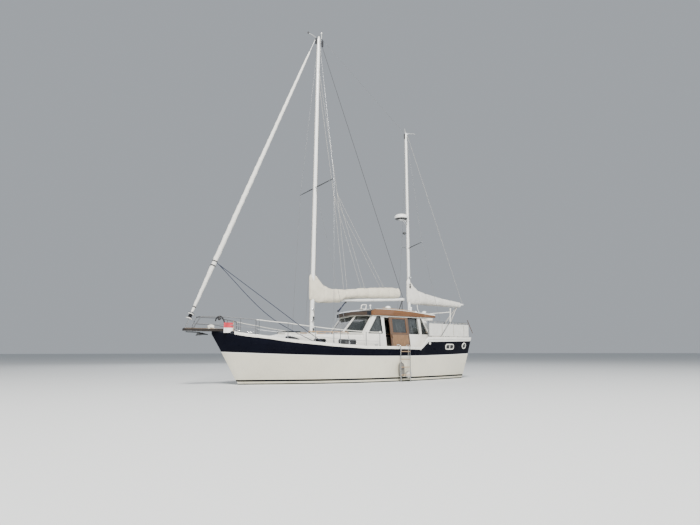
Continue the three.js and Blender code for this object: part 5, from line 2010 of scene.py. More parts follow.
@dataclass
class Headsail:
    """The headsail rolled on its stay, the furling drum and the sheets."""

    # The stay's two ends.
    low: Vector = field(default_factory=lambda: Vector((5.99, 0.0, 1.99)))
    high: Vector = field(default_factory=lambda: Vector((1.712, 0.0, 12.7)))
    # The roll. Columns: share of the stay, radius.
    roll: tuple[tuple[float, float], ...] = (
        (0.019, 0.02), (0.022, 0.036), (0.1, 0.058), (0.2, 0.076), (0.4, 0.074), (0.6, 0.062), (0.8, 0.05),
        (0.9, 0.038), (0.943, 0.026), (0.947, 0.012),
    )
    # How often the cloth's edge winds round the roll.
    turns: float = 30.0
    # Heights of the stay's deck plate, the drum's foot and its top.
    drum: tuple[float, float, float] = (1.72, 1.92, 2.19)
    # The two sheets, from the sail down to the port side deck.
    sheets: tuple[tuple[Point, ...], ...] = (
        ((5.22, 0.03, 3.8), (3.56, 0.9, 1.98), (2.35, 1.36, 1.30)),
        ((5.22, 0.04, 3.78), (3.09, 1.2, 1.98), (2.05, 1.40, 1.27)),
    )

    def at(self, share: float) -> Vector:
        """A point on the stay."""
        return self.low.lerp(self.high, share)

    def build(self) -> None:
        """Makes the headsail's pieces."""
        foil = Maker().pipe([self.at(0.0), self.at(0.998)], 0.0095, 16)
        foil.build("headsail_foil", SPAR)
        self._roll()
        self._drum()
        ropes = Maker()
        for line in self.sheets:
            ropes.pipe(smooth_line(line, 30), 0.011, 8)
        ropes.build("headsail_sheets", ROPE_BLUE)

    def _roll(self) -> None:
        """The rolled sail: a spiral of cloth with its edge winding up it, and two ties."""
        table, maker = Table(self.roll), Maker()
        way = (self.high - self.low).normalized()
        side = way.cross(Vector((0, 1, 0))).normalized()
        other = way.cross(side)
        first, last = self.roll[0][0], self.roll[-1][0]
        rings = []
        for share in [first, 0.0205, 0.022, *spread(0.0245, 0.941, 465), 0.944, last]:
            radius = table.at(share)
            rings_here = []
            for k in range(30):
                angle = 2 * math.pi * k / 30
                wind = (angle / (2 * math.pi) + share * self.turns) % 1.0
                ridge = 0.16 * wind**3 - 0.03
                lump = 0.05 * noise.noise(Vector((share * 60, math.cos(angle) * 1.5, math.sin(angle) * 1.5)))
                reach = radius * (1 + ridge + lump)
                rings_here.append(self.at(share) + (side * math.cos(angle) + other * math.sin(angle)) * reach)
            rings.append(rings_here)
        roll = maker.loft(rings).build("headsail_roll", SAILCLOTH, replaces=("furled_headsail",), crease=75)
        ties = Maker()
        for share in (0.158, 0.171, 0.035):
            centre, radius = self.at(share), table.at(share) * 1.13
            for wrap in (-0.012, 0.0, 0.012):
                loop = [
                    centre + way * wrap + (side * math.cos(a) + other * math.sin(a)) * radius
                    for a in spread(0, 2 * math.pi, 25)
                ]
                ties.pipe(loop, 0.006, 6)
        ties.build("headsail_ties", ROPE_DARK)

    def _drum(self) -> None:
        """The furling drum: white flanges with black rims round a spool of line."""
        way = (self.high - self.low).normalized()
        deck, foot, top = (self.at((z - self.low.z) / (self.high.z - self.low.z)) for z in self.drum)
        length = (top - foot).length
        flanges, spool = Maker(), Maker()
        for share in (0.31, 0.80):
            at = length * share
            profile = [
                (0.03, at), (0.088, at), (0.094, at + 0.006), (0.094, at + 0.018), (0.086, at + 0.024),
                (0.03, at + 0.03),
            ]
            flanges.lathe([(0.0, at), *profile, (0.0, at + 0.03)], foot, way, 40)
        flanges.build("drum_flanges", DOME)
        wraps = [(0.0, length * 0.3), (0.05, length * 0.3)]
        for i in range(24):
            wraps.append((0.052 + 0.006 * (i % 2), length * (0.42 + 0.34 * i / 23)))
        spool.lathe([*wraps, (0.05, length * 0.82), (0.0, length * 0.82)], foot, way, 32)
        for share in (0.4, 0.9):
            at = length * share
            spool.lathe(
                [(0.0, at), (0.095, at), (0.0955, at + 0.006), (0.095, at + 0.012), (0.0, at + 0.012)],
                foot, way, 40,
            )
        spool.build("drum_spool", BLACK, replaces=("furler_drum",))
        links = Maker()
        links.pipe([deck + way * 0.002, foot + way * length * 0.31], [0.016, 0.014], 16)
        links.pipe([foot + way * length * 0.92, top + way * 0.01], [0.026, 0.018], 20)
        links.box(deck + Vector((-0.03, -0.02, -0.008)), deck + Vector((0.03, 0.02, 0.035)), 0.006)
        links.build("drum_links", STEEL)


# Rails


@dataclass
class Railings:
    """The pulpit, guard rails, stern rail with its cloths, and the boarding ladder."""

    # Guard rail posts. Columns: x, height of the upper wire.
    posts: tuple[tuple[float, float], ...] = (
        (4.06, 1.985), (3.23, 1.898), (2.38, 1.795), (1.52, 1.722), (0.555, 1.672), (0.0, 1.662),
    )
    wire_drop: float = 0.3
    base_radius: float = 0.032
    # The pulpit's after end, knee and nose along the boat, with its heights there.
    pulpit_xs: tuple[float, float, float] = (4.15, 4.95, 5.69)
    pulpit_zs: tuple[float, float, float] = (1.995, 2.07, 2.07)
    pulpit_ys: tuple[float, float] = (0.335, 0.215)
    stern_z: float = 2.11
    stern_xs: tuple[float, ...] = (-2.27, -3.18, -3.9, -4.56)
    # The stern rail's corner: x and y.
    corner: tuple[float, float] = (-4.65, 1.13)
    # The weather cloths: low, high, distance outside the rail.
    cloth: tuple[float, float, float] = (1.583, 2.034, 0.022)
    # The boarding ladder: front, aft, y, low, high.
    ladder: tuple[float, float, float, float, float] = (-0.735, -1.15, 1.785, -0.13, 1.25)

    def build(self) -> None:
        """Makes the railings' pieces."""
        self._pulpit()
        for side in Side:
            self._guard(side)
        self._stern()
        self._cloths()
        self._ladder()

    def _base(self, maker: Maker, foot: Vector) -> None:
        """A round foot plate for a post.

        Args:
            maker: the piece that it joins.
            foot: the middle of its underside.
        """
        wide = self.base_radius
        plate = [(wide, -0.002), (wide, 0.004), (wide * 0.55, 0.009), (wide * 0.5, 0.03)]
        maker.lathe([(0.0, -0.002), *plate, (0.0, 0.032)], foot, sides=24)

    def _pulpit(self) -> None:
        """The bow rail with its legs."""
        maker = Maker()
        (aft_x, knee_x, nose_x), (aft_z, knee_z, nose_z) = self.pulpit_xs, self.pulpit_zs
        knee_y, nose_y = self.pulpit_ys
        aft_y = beam_at(aft_x) - 0.02
        for side in Side:
            y = side.value
            foot = Vector((5.86, y * 0.11, 1.712))
            end = rail_spot(aft_x, side, 0.02)
            top = Vector((aft_x, y * aft_y, aft_z))
            knee = Vector((knee_x, y * knee_y, knee_z))
            maker.pipe(
                [foot, foot + UP * 0.03, (nose_x, y * nose_y, nose_z), knee, top, end], 0.0135, 14, 0.06,
            )
            brace = rail_spot(4.56, side)
            maker.pipe([knee.lerp(top, 0.4875), brace + UP * 0.02, brace], 0.011, 12)
            for spot in (foot, end, brace):
                self._base(maker, spot)
            low = [(5.78, y * 0.16, 1.86), (knee_x, y * 0.345, 1.84), (aft_x, y * aft_y, 1.73)]
            maker.pipe(low, 0.0095, 10, 0.05)
        maker.pipe([(nose_x, -nose_y, nose_z), (nose_x, nose_y, nose_z)], 0.0135, 14)
        maker.build("pulpit_tubes", TUBE, replaces=("pulpit",))

    def _guard(self, side: Side) -> None:
        """A side's posts with the white line along their tops and the wire below it.

        Args:
            side: which side.
        """
        posts, wires = Maker(), Maker()
        tops = []
        for x, z in self.posts:
            foot = rail_spot(x, side)
            top = Vector((x, foot.y, z + 0.014))
            posts.pipe([foot, top - UP * 0.006, top], [0.0125, 0.0125, 0.008], 14)
            self._base(posts, foot)
            for drop in (0.0, self.wire_drop):
                eye = Vector((x, foot.y, z - drop))
                posts.pipe([eye - Vector((0.012, 0, 0)), eye + Vector((0.012, 0, 0))], 0.0085, 10)
            tops.append(Vector((x, foot.y, z)))
        aft_x = self.pulpit_xs[0]
        at_pulpit = Vector((aft_x - 0.01, side.value * (beam_at(aft_x) - 0.02), 0))
        for drop, height in ((0.0, 1.99), (self.wire_drop, 1.73)):
            line = sag(at_pulpit + UP * height, tops[0] - UP * drop, 0.002, 4)[:-1]
            for a, b in zip(tops, tops[1:]):
                line += sag(a - UP * drop, b - UP * drop, 0.007, 8)[:-1]
            line.append(tops[-1] - UP * drop)
            if drop:
                wires.pipe(line, 0.0055, 8)
            else:
                Maker().pipe(line, 0.0125, 12).build(f"guard_line_{side.word}", RAIL_WHITE)
        wires.build(f"guard_wires_{side.word}", WIRE)
        posts.build(f"guard_posts_{side.word}", STEEL, replaces=(f"guard_rail_{side.word}",))

    def _loop(self) -> list[Vector]:
        """The stern rail's path, from forward on the port side round to starboard.

        Returns:
            The path's corners.
        """
        corner = Vector((*self.corner, self.stern_z))
        port = [*(Vector((x, beam_at(x) - 0.024, self.stern_z)) for x in self.stern_xs), corner]
        return port + [Vector((p.x, -p.y, p.z)) for p in reversed(port)]

    def _stern(self) -> None:
        """The stern rail on its posts."""
        maker = Maker()
        loop = self._loop()
        maker.pipe(loop, 0.016, 16, 0.05)
        # The rail bends round the two corners without a post there, and has two across the stern.
        across = [Vector((self.corner[0], y, 0)) for y in (-0.4, 0.4)]
        feet = [p for i, p in enumerate(loop) if i not in (4, 5)] + across
        for post in feet:
            foot = Vector((post.x, post.y, rail_at(post.x)))
            maker.pipe([foot, (post.x, post.y, self.stern_z)], 0.0125, 14)
            self._base(maker, foot)
        maker.build("stern_rail_tubes", STEEL, replaces=("stern_rail",))

    def _cloths(self) -> None:
        """Weather cloths laced outside the stern rail, one a side and one across."""
        low, high, off = self.cloth
        loop = self._loop()
        runs = {"port": loop[:5], "stern": loop[4:6], "starboard": loop[5:]}
        lacing, seams = Maker(), Maker()
        for name, run in runs.items():
            lengths = [0.0]
            for a, b in zip(run, run[1:]):
                lengths.append(lengths[-1] + (b - a).length)
            total = lengths[-1]
            maker = Maker()
            columns = int(total / 0.035)
            grid = []
            for i in range(columns + 1):
                s = total * (0.006 + 0.988 * i / columns)
                k = min(max(bisect.bisect_right(lengths, s) - 1, 0), len(run) - 2)
                a, b = run[k], run[k + 1]
                here = a.lerp(b, (s - lengths[k]) / (b - a).length)
                out = (b - a).cross(UP).normalized()
                out *= 1 if out.dot(Vector((here.x + 3.2, here.y, 0))) > 0 else -1
                column = []
                for j in range(19):
                    t = j / 18
                    hem = 0.010 * (1 - abs(math.sin(math.pi * s / 0.24))) * (t if t > 0.5 else 1 - t)
                    puff = 0.007 * math.sin(math.pi * t) * noise.noise(Vector((s * 2.5, t * 2, len(name))))
                    z = low + (high - low) * t + (hem if t < 0.5 else -hem)
                    column.append(Vector((here.x, here.y, z)) + out * (off + puff))
                grid.append(column)
                if name != "stern" and abs(abs(here.x + 3.62) - 0.63) < 0.018 or abs(here.x + 3.64) < 0.018:
                    seams.pipe([spot + out * 0.003 for spot in column[1:-1]], 0.0045, 6)
                if i % 6 == 3 and i < columns:
                    edge = column[-1]
                    rail = Vector((here.x, here.y, self.stern_z))
                    over, inside = rail + UP * 0.019, rail - out * 0.019
                    ring = [
                        edge - UP * 0.012, edge + out * 0.006, over, inside, edge - UP * 0.014 - out * 0.008,
                    ]
                    lacing.pipe(ring, 0.0028, 5, 0.008)
            maker.loft(grid, closed=False, caps=False)
            replaced = ("weather_cloth",) if name == "port" else ()
            cloth = maker.build(f"weather_cloth_{name}", DODGER, replaces=replaced, crease=60)
        lacing.build("weather_cloth_lacing", ROPE_PALE)
        seams.build("weather_cloth_seams", SEAM)

    def _ladder(self) -> None:
        """The boarding ladder hooked over the port rail."""
        front, aft, y, low, high = self.ladder
        tubes, treads = Maker(), Maker()
        for x in (front, aft):
            seat = rail_spot(x, Side.PORT, 0.022)
            tubes.pipe([(x, y, low), (x, y, high), (x, seat.y, high), seat], 0.0145, 14, 0.07)
            tubes.lathe(
                [(0.0, -0.012), (0.019, -0.01), (0.019, 0.03), (0.015, 0.034), (0.0, 0.034)],
                (x, y, low), sides=16,
            )
        for i in range(5):
            z = low + 0.09 + i * 0.262
            treads.box((aft, y - 0.024, z), (front, y + 0.024, z + 0.022), 0.006)
        tubes.build("ladder_tubes", STEEL, replaces=("boarding_ladder",))
        treads.build("ladder_treads", HANDRAIL)


# Deck gear


def cleat(maker: Maker, spot: Point, heading: Point, size: float = 0.12) -> None:
    """A two-horned cleat on two feet.

    Args:
        maker: the piece that it joins.
        spot: the middle of its foot.
        heading: the way that its horns point.
        size: its length.
    """
    base, way = Vector(spot), Vector(heading).normalized()
    for share in (-0.16, 0.16):
        foot = base + way * (size * share)
        maker.pipe([foot - UP * 0.002, foot + UP * size * 0.24], [size * 0.085, size * 0.06], 12)
    horns = [
        base + way * (size * s) + UP * (size * h)
        for s, h in ((-0.5, 0.34), (-0.3, 0.28), (0, 0.27), (0.3, 0.28), (0.5, 0.34))
    ]
    maker.pipe(
        smooth_line(horns, 13), [size * (0.035 + 0.045 * math.sin(math.pi * i / 12)) for i in range(13)], 12,
    )


@dataclass
class BowGear:
    """The bow platform with windlass, rollers, anchor and chain, the jack and what hangs on the pulpit."""

    deck: float = 1.71
    chain_links: int = 26
    # The jack: front and back, top and low.
    flag: tuple[tuple[float, float], tuple[float, float]] = ((5.05, 4.75), (1.90, 1.60))
    # The windlass's shaft: x, and height above the deck.
    windlass: tuple[float, float] = (5.3, 0.07)

    def build(self) -> None:
        """Makes the bow's pieces."""
        dress("bow_platform", PLATFORM, 0.008)
        self._slats()
        self._windlass()
        self._anchor()
        self._rollers()
        self._chain()
        self._flag()
        self._hoop()
        self._cleats()

    def _slats(self) -> None:
        """Thin treads on the platform, clear of the windlass and the anchor's slot."""
        treads = Maker()
        for x in spread(4.95, 6.08, 19):
            half = 0.245 - (x - 4.86) / 0.64 * 0.03 if x < 5.5 else 0.215 - (x - 5.5) / 0.59 * 0.065
            for side in Side:
                inner = 0.034 if 5.7 < x else 0.0
                if 5.1 < x < 5.5:
                    inner = 0.16
                near, far = sorted((side.value * inner, side.value * (half - 0.012)))
                if far - near > 0.03:
                    treads.box(
                        (x - 0.022, near, self.deck - 0.002), (x + 0.022, far, self.deck + 0.007), 0.002,
                    )
        treads.build("platform_treads", HANDRAIL)

    def _windlass(self) -> None:
        """The windlass: a cast housing, two drums and a brake cap."""
        maker = Maker()
        x, z = self.windlass[0], self.deck + self.windlass[1]
        maker.box((5.17, -0.085, self.deck), (5.43, 0.085, self.deck + 0.016), 0.005)
        maker.box((5.2, -0.068, self.deck + 0.014), (5.4, 0.068, self.deck + 0.112), 0.026, steps=4)
        maker.pipe([(x, -0.15, z), (x, 0.15, z)], 0.016, 16)
        for side in Side:
            drum = [
                (0.0, 0.066), (0.05, 0.068), (0.052, 0.078), (0.034, 0.092), (0.031, 0.118), (0.048, 0.138),
                (0.05, 0.147), (0.0, 0.15),
            ]
            maker.lathe(drum, (x, 0, z), (0, side.value, 0), 32)
        cap = [(0.0, 0.0), (0.03, 0.0), (0.034, 0.012), (0.03, 0.03), (0.0, 0.034)]
        maker.lathe(cap, (x, 0, self.deck + 0.108), (0, 0, 1), 28)
        maker.build("windlass_castings", RAIL_WHITE, replaces=("windlass",))

    def _anchor(self) -> None:
        """A plough anchor stowed under the rollers."""
        maker = Maker()
        shank = [(6.06, 0, 1.606), (5.9, 0, 1.604), (5.7, 0, 1.597), (5.58, 0, 1.575), (5.52, 0, 1.545)]
        maker.pipe(
            smooth_line(shank, 16), [0.026 + 0.008 * math.sin(math.pi * i / 15) for i in range(16)], 14,
            flat=0.5,
        )
        for side in (1, -1):
            rings = []
            for i in range(12):
                t = i / 11
                x = 5.39 + 0.31 * t
                ridge = 1.535 + 0.062 * t**0.7
                wing = 0.006 + 0.178 * t**0.8
                drop = 0.01 + 0.085 * t**1.3
                arc = [(ridge - drop * s**1.8, wing * s) for s in spread(0, 1, 7)]
                upper = [(x - 0.02 * (1 - s / 6), side * y, z + 0.006) for s, (z, y) in enumerate(arc)]
                lower = [
                    (x - 0.02 * (1 - s / 6), side * y, z - 0.006)
                    for s, (z, y) in reversed(list(enumerate(arc)))
                ]
                rings.append(upper + lower)
            maker.loft(rings)
        maker.pipe([(5.56, -0.03, 1.575), (5.56, 0.03, 1.575)], 0.02, 16)
        maker.pipe([(6.05, -0.022, 1.606), (6.05, 0.022, 1.606)], 0.011, 12)
        maker.build("plough_anchor", GALVANISED, replaces=("bow_anchor",))

    def _rollers(self) -> None:
        """Cheek plates and two rollers in the platform's slot."""
        cheeks, rollers = Maker(), Maker()
        for y in (-0.034, 0.028):
            outline = rounded_outline(
                [(5.7, 1.63), (6.13, 1.625), (6.12, 1.735), (5.98, 1.755), (5.72, 1.725)], 0.03,
            )
            cheeks.slab([(x, y, z) for x, z in outline], (0, 0.006, 0), 0.0015)
        for x, z in ((6.07, 1.672), (5.8, 1.672)):
            rollers.lathe(
                [(0.0, -0.026), (0.036, -0.026), (0.02, -0.008), (0.02, 0.008), (0.036, 0.026), (0.0, 0.026)],
                (x, 0, z), (0, 1, 0), 28,
            )
            cheeks.pipe([(x, -0.042, z), (x, 0.042, z)], 0.007, 12)
        cheeks.build("roller_cheeks", STEEL)
        rollers.build("anchor_rollers", BLACK)

    def _chain(self) -> None:
        """Chain from the windlass over the rollers."""
        maker = Maker()
        start, end = Vector((5.37, 0.0, self.deck + 0.022)), Vector((6.02, 0.0, 1.712))
        for i in range(self.chain_links):
            centre = start.lerp(end, i / (self.chain_links - 1))
            flat = i % 2 == 0
            loop = []
            for k in range(13):
                angle = 2 * math.pi * k / 12
                across, along = 0.0085 * math.sin(angle), 0.0145 * math.cos(angle)
                loop.append(centre + (Vector((along, across, 0)) if flat else Vector((along, 0, across))))
            maker.pipe(loop, 0.004, 6)
        maker.build("anchor_chain", GALVANISED)

    def _flag(self) -> None:
        """A small two-striped jack on a staff by the port rail."""
        (front, back), (top, low) = self.flag
        y = 0.42
        staff = Maker()
        foot = Vector((back - 0.02, y + 0.04, rail_at(back) - 0.005))
        staff.pipe([foot, (back - 0.012, y + 0.01, 1.93)], [0.009, 0.007], 12)
        staff.lathe(
            [(0.0, 0.0), (0.012, 0.004), (0.012, 0.014), (0.0, 0.02)],
            (back - 0.012, y + 0.01, 1.928), sides=16,
        )
        staff.build("jackstaff", HANDRAIL)
        maker = Maker()
        grid = []
        for i in range(25):
            t = i / 24
            column = []
            for j in range(17):
                s = j / 16
                wave = 0.022 * math.sin(t * 8.0 + s * 1.2) * t
                droop = 0.03 * t * (0.4 + 0.6 * (1 - s))
                ripple = 0.006 * math.sin(s * 5 + t * 3)
                along = back + (front - back) * t * 0.985
                column.append((along, y + 0.005 + wave + ripple, low + (top - low) * s - droop * 0.6))
            grid.append(column)
        maker.loft(grid, closed=False, caps=False)
        jack = maker.build(
            "jack_cloth", Banner("jack_stripes", "canvas", (0.55, 0.03, 0.05), split=(top + low) / 2 - 0.01),
            crease=80,
        )

    def _hoop(self) -> None:
        """A dark horseshoe hoop on the port side of the pulpit with a ball inside."""
        hoop, ball = Maker(), Maker()
        arc = []
        for t in spread(0.0, 0.95, 18):
            crown = 0.185 * math.sin(math.pi * min(1.0, t * 1.05)) ** 0.6
            arc.append((5.27 - 0.27 * t, 0.30 + 0.09 * t + 0.01, 1.93 + crown - 0.06 * t))
        hoop.pipe(arc, 0.031, 14, flat=0.7)
        hoop.build("horseshoe_hoop", BLACK)
        ball.lathe(
            [
                (0.0, -0.05), *((0.05 * math.cos(a), 0.05 * math.sin(a)) for a in spread(-1.4, 1.4, 12)),
                (0.0, 0.05),
            ],
            (5.16, 0.335, 2.01), sides=24,
        )
        ball.pipe([(5.16, 0.335, 2.055), (5.16, 0.328, 2.07)], 0.006, 8)
        ball.build("signal_ball", BLACK)

    def _cleats(self) -> None:
        """Mooring cleats on the cap rail."""
        maker = Maker()
        for side in Side:
            for x in (4.62, 4.3, 0.15, -3.35, -4.3):
                spot = rail_spot(x, side)
                ahead = rail_spot(x + 0.1, side) - rail_spot(x - 0.1, side)
                cleat(maker, spot, ahead, 0.17)
        maker.build("mooring_cleats", STEEL)


@dataclass
class Radar:
    """The radar dome on its bracket, with a deck lamp under it."""

    # x and z of the dome's foot.
    centre: tuple[float, float] = (-2.335, 6.225)
    radius: float = 0.258

    def build(self) -> None:
        """Makes the radar's pieces."""
        x, z = self.centre
        dome, base = Maker(), Maker()
        profile = [(0.0, 0.05), (self.radius * 0.985, 0.05), (self.radius, 0.07), (self.radius, 0.105)]
        for i in range(1, 13):
            angle = i / 12 * math.pi / 2
            profile.append((self.radius * math.cos(angle) ** 0.75, 0.105 + 0.125 * math.sin(angle) ** 0.9))
        dome.lathe(profile, (x, 0, z), sides=48)
        dome.build("radar_dome", DOME, replaces=("radar_scanner",))
        base.lathe(
            [
                (0.0, 0.004), (0.13, 0.004), (0.215, 0.018), (self.radius * 0.99, 0.046),
                (self.radius * 0.975, 0.054), (0.0, 0.056),
            ],
            (x, 0, z), sides=48,
        )
        base.build("radar_base", BLACK)
        bracket = Maker()
        for side in Side:
            y = side.value * 0.045
            bracket.pipe(
                [(-2.61, y, 6.2), (-2.48, y, 6.222), (x + 0.1, side.value * 0.07, 6.224)], 0.012, 12, 0.05,
            )
            bracket.pipe([(-2.612, y, 6.08), (-2.46, y, 6.215)], 0.011, 12)
        bracket.box((x - 0.1, -0.09, 6.2175), (x + 0.12, 0.09, 6.2285), 0.003)
        bracket.box((-2.618, -0.05, 6.06), (-2.608, 0.05, 6.23), 0.003)
        bracket.build("radar_bracket", SPAR)
        lamp, glow = Maker(), Maker()
        spot, aim = (-2.49, 0, 5.75), (0.35, 0, -1)
        lamp.pipe([(-2.612, 0, 5.72), (-2.5, 0, 5.72)], 0.012, 12)
        lamp.lathe(
            [(0.0, 0.0), (0.02, 0.0), (0.055, 0.04), (0.06, 0.09), (0.052, 0.092), (0.0, 0.05)],
            spot, aim, 28,
        )
        lamp.build("deck_lamp", BLACK)
        glow.lathe([(0.0, 0.082), (0.05, 0.084), (0.05, 0.088), (0.0, 0.094)], spot, aim, 28)
        glow.build("deck_lamp_lens", GLAZING)


@dataclass
class Fenders:
    """A long fender and a round one on lanyards at the port rail."""

    # Columns: name, x, low, high, radius.
    rows: tuple[tuple[str, float, float, float, float], ...] = (
        ("fender_long", -0.88, 0.13, 0.68, 0.105),
        ("fender_ball", -1.21, 0.095, 0.405, 0.125),
    )

    def build(self) -> None:
        """Makes the fenders and their lanyards."""
        ropes = Maker()
        for node, x, low, high, radius in self.rows:
            near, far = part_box(node)
            y = (near.y + far.y) / 2
            middle, length = (low + high) / 2, high - low
            maker = Maker()
            profile = [(0.0, -length / 2)]
            for i in range(25):
                t = -1 + i / 12
                full = max(0.14, (1 - abs(t) ** (4.5 if length > 0.45 else 2.6)) ** 0.42)
                profile.append((radius * full, t * (length / 2 - 0.035)))
            for collar in (0.026, 0.012):
                profile.append((0.026, length / 2 - collar))
            maker.lathe([*profile, (0.0, length / 2 - 0.008)], (x, y, middle), sides=40)
            maker.build(f"{node}_body", FENDER_GREY if "long" in node else FENDER_WHITE, replaces=(node,))
            seat = rail_spot(x, Side.PORT, 0.03, 0.004)
            over = rail_spot(x, Side.PORT, -0.016, -0.02)
            across = [seat + Vector((0, 0.012, 0.004)), seat - Vector((0, 0.025, 0))]
            hung = [
                (x, y, high - 0.012), (x, y - 0.02, high + 0.1), (x, over.y, over.z - 0.08), over, *across,
            ]
            ropes.pipe(hung, 0.0055, 8, 0.03)
            hitch = ((0.0, -0.012, 0.006), (0.02, -0.03, 0.012), (-0.02, -0.035, 0.012), (0.0, -0.012, 0.01))
            ropes.pipe([seat + Vector(step) for step in hitch], 0.006, 8, 0.01)
        ropes.build("fender_lanyards", ROPE_PALE)


@dataclass
class RunningGear:
    """The propeller, rudder and engine."""

    # The propeller's middle.
    centre: Vector = field(default_factory=lambda: Vector((-3.13, 0.0, -0.8)))
    # Blade widths. Columns: radius, leading edge, trailing edge.
    blade: tuple[tuple[float, float, float], ...] = (
        (0.036, -0.02, 0.02), (0.07, -0.046, 0.044), (0.11, -0.066, 0.064), (0.15, -0.076, 0.074),
        (0.19, -0.07, 0.066), (0.215, -0.048, 0.046), (0.2285, -0.012, 0.012),
    )

    def build(self) -> None:
        """Makes the running gear's pieces."""
        self._propeller()
        self._rudder()
        self._engine()

    def _propeller(self) -> None:
        """Three twisted blades on a tapered hub, and the shaft."""
        maker, table = Maker(), Table(self.blade)
        for k in range(3):
            spin = Quaternion((1, 0, 0), 2 * math.pi * k / 3)
            rings = []
            for radius in spread(0.034, 0.2285, 22):
                twist = math.atan2(0.2, 2 * math.pi * max(radius, 0.05)) + 0.25
                chord = [table.at(radius, 1), table.at(radius, 2)]
                ring = []
                for i in range(14):
                    angle = 2 * math.pi * i / 14
                    across = (chord[0] + chord[1]) / 2 + (chord[1] - chord[0]) / 2 * math.cos(angle)
                    thick = (0.009 - 0.028 * radius) * math.sin(angle) * 0.5
                    ahead = across * math.sin(twist) + thick * math.cos(twist)
                    beside = across * math.cos(twist) - thick * math.sin(twist)
                    spot = Vector((ahead, beside, radius))
                    ring.append(self.centre + spin @ spot)
                rings.append(ring)
            maker.loft(rings)
        maker.lathe(
            [
                (0.0, -0.075), (0.014, -0.07), (0.022, -0.056), (0.024, -0.055), (0.034, -0.03),
                (0.0415, 0.01), (0.0415, 0.054), (0.0, 0.055),
            ],
            self.centre, (1, 0, 0), 36,
        )
        maker.pipe([self.centre + Vector((0.05, 0, 0)), (-2.4, 0, -0.8)], 0.0178, 24)
        maker.build("propeller_blades", BRONZE, "propeller", replaces=("propeller",))

    def _rudder(self) -> None:
        """A faired blade round its stock, with two straps."""
        aft = Table(
            (
                (-1.494, -3.9), (-1.42, -3.98), (-1.33, -4.018), (-0.9, -4.02), (-0.45, -4.02),
                (-0.40, -3.985), (-0.36, -3.93), (-0.335, -3.88),
            )
        )
        front = Table(
            (
                (-1.494, -3.386), (-0.5, -3.386), (-0.465, -3.40), (-0.44, -3.52), (-0.39, -3.70),
                (-0.335, -3.85),
            )
        )
        maker = Maker()
        rings = []
        for z in spread(-1.492, -0.336, 40):
            nose, tail = front.at(z), aft.at(z)
            edge = min(1.0, (z + 1.5) / 0.03, 0.35 + (-0.33 - z) / 0.1)
            side = []
            for s in (0.0, 0.01, 0.04, 0.1, 0.2, 0.35, 0.6, 0.85, 1.0):
                nosed = min(1.0, math.sqrt(s / 0.1) if s < 0.1 else 1.0)
                thick = 0.034 * nosed * (1 - 0.75 * max(0.0, s - 0.1) / 0.9)
                side.append((nose + (tail - nose) * s, max(thick * edge, 0.003)))
            rings.append([(x, y, z) for x, y in side] + [(x, -y, z) for x, y in reversed(side)])
        maker.loft(rings)
        maker.pipe([(-3.42, 0, -0.5), (-3.42, 0, -0.062)], 0.0235, 24)
        maker.build("rudder_blade", ANTIFOUL, "rudder", replaces=("rudder",))
        straps = Maker()
        for z in (-1.25, -0.62):
            for side in Side:
                y = side.value * 0.034
                straps.slab(
                    [(-3.40, y, z), (-3.62, y * 0.82, z), (-3.62, y * 0.82, z + 0.05), (-3.40, y, z + 0.05)],
                    (0, side.value * 0.005, 0), 0.0015,
                )
        straps.build("rudder_straps", BRONZE, "rudder")

    def _engine(self) -> None:
        """The engine's block with its cover, filler caps and pulleys."""
        dress("engine_block", ENGINE, 0.02, 3)
        low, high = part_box("engine_block")
        maker, dark = Maker(), Maker()
        maker.box((low.x + 0.25, -0.14, high.z - 0.01), (high.x - 0.1, 0.14, high.z + 0.045), 0.02, steps=3)
        for x in spread(low.x + 0.35, high.x - 0.2, 4):
            maker.lathe(
                [(0.0, 0.0), (0.03, 0.0), (0.03, 0.02), (0.018, 0.03), (0.0, 0.03)],
                (x, 0.06, high.z + 0.04), sides=20,
            )
        maker.build("engine_cover", ENGINE)
        dark.lathe(
            [(0.0, 0.0), (0.09, 0.0), (0.09, 0.03), (0.07, 0.036), (0.0, 0.036)], (high.x - 0.001, 0, 0.0),
            (1, 0, 0), 32,
        )
        dark.lathe(
            [(0.0, 0.0), (0.05, 0.0), (0.05, 0.03), (0.0, 0.036)],
            (high.x - 0.001, 0.17, 0.12), (1, 0, 0), 28,
        )
        dark.lathe(
            [(0.0, 0.0), (0.042, 0.0), (0.042, 0.11), (0.036, 0.12), (0.0, 0.12)], (low.x + 0.4, 0.299, -0.1),
            (0, 1, 0), 28,
        )
        dark.build("engine_pulleys", BLACK)


# Cabin


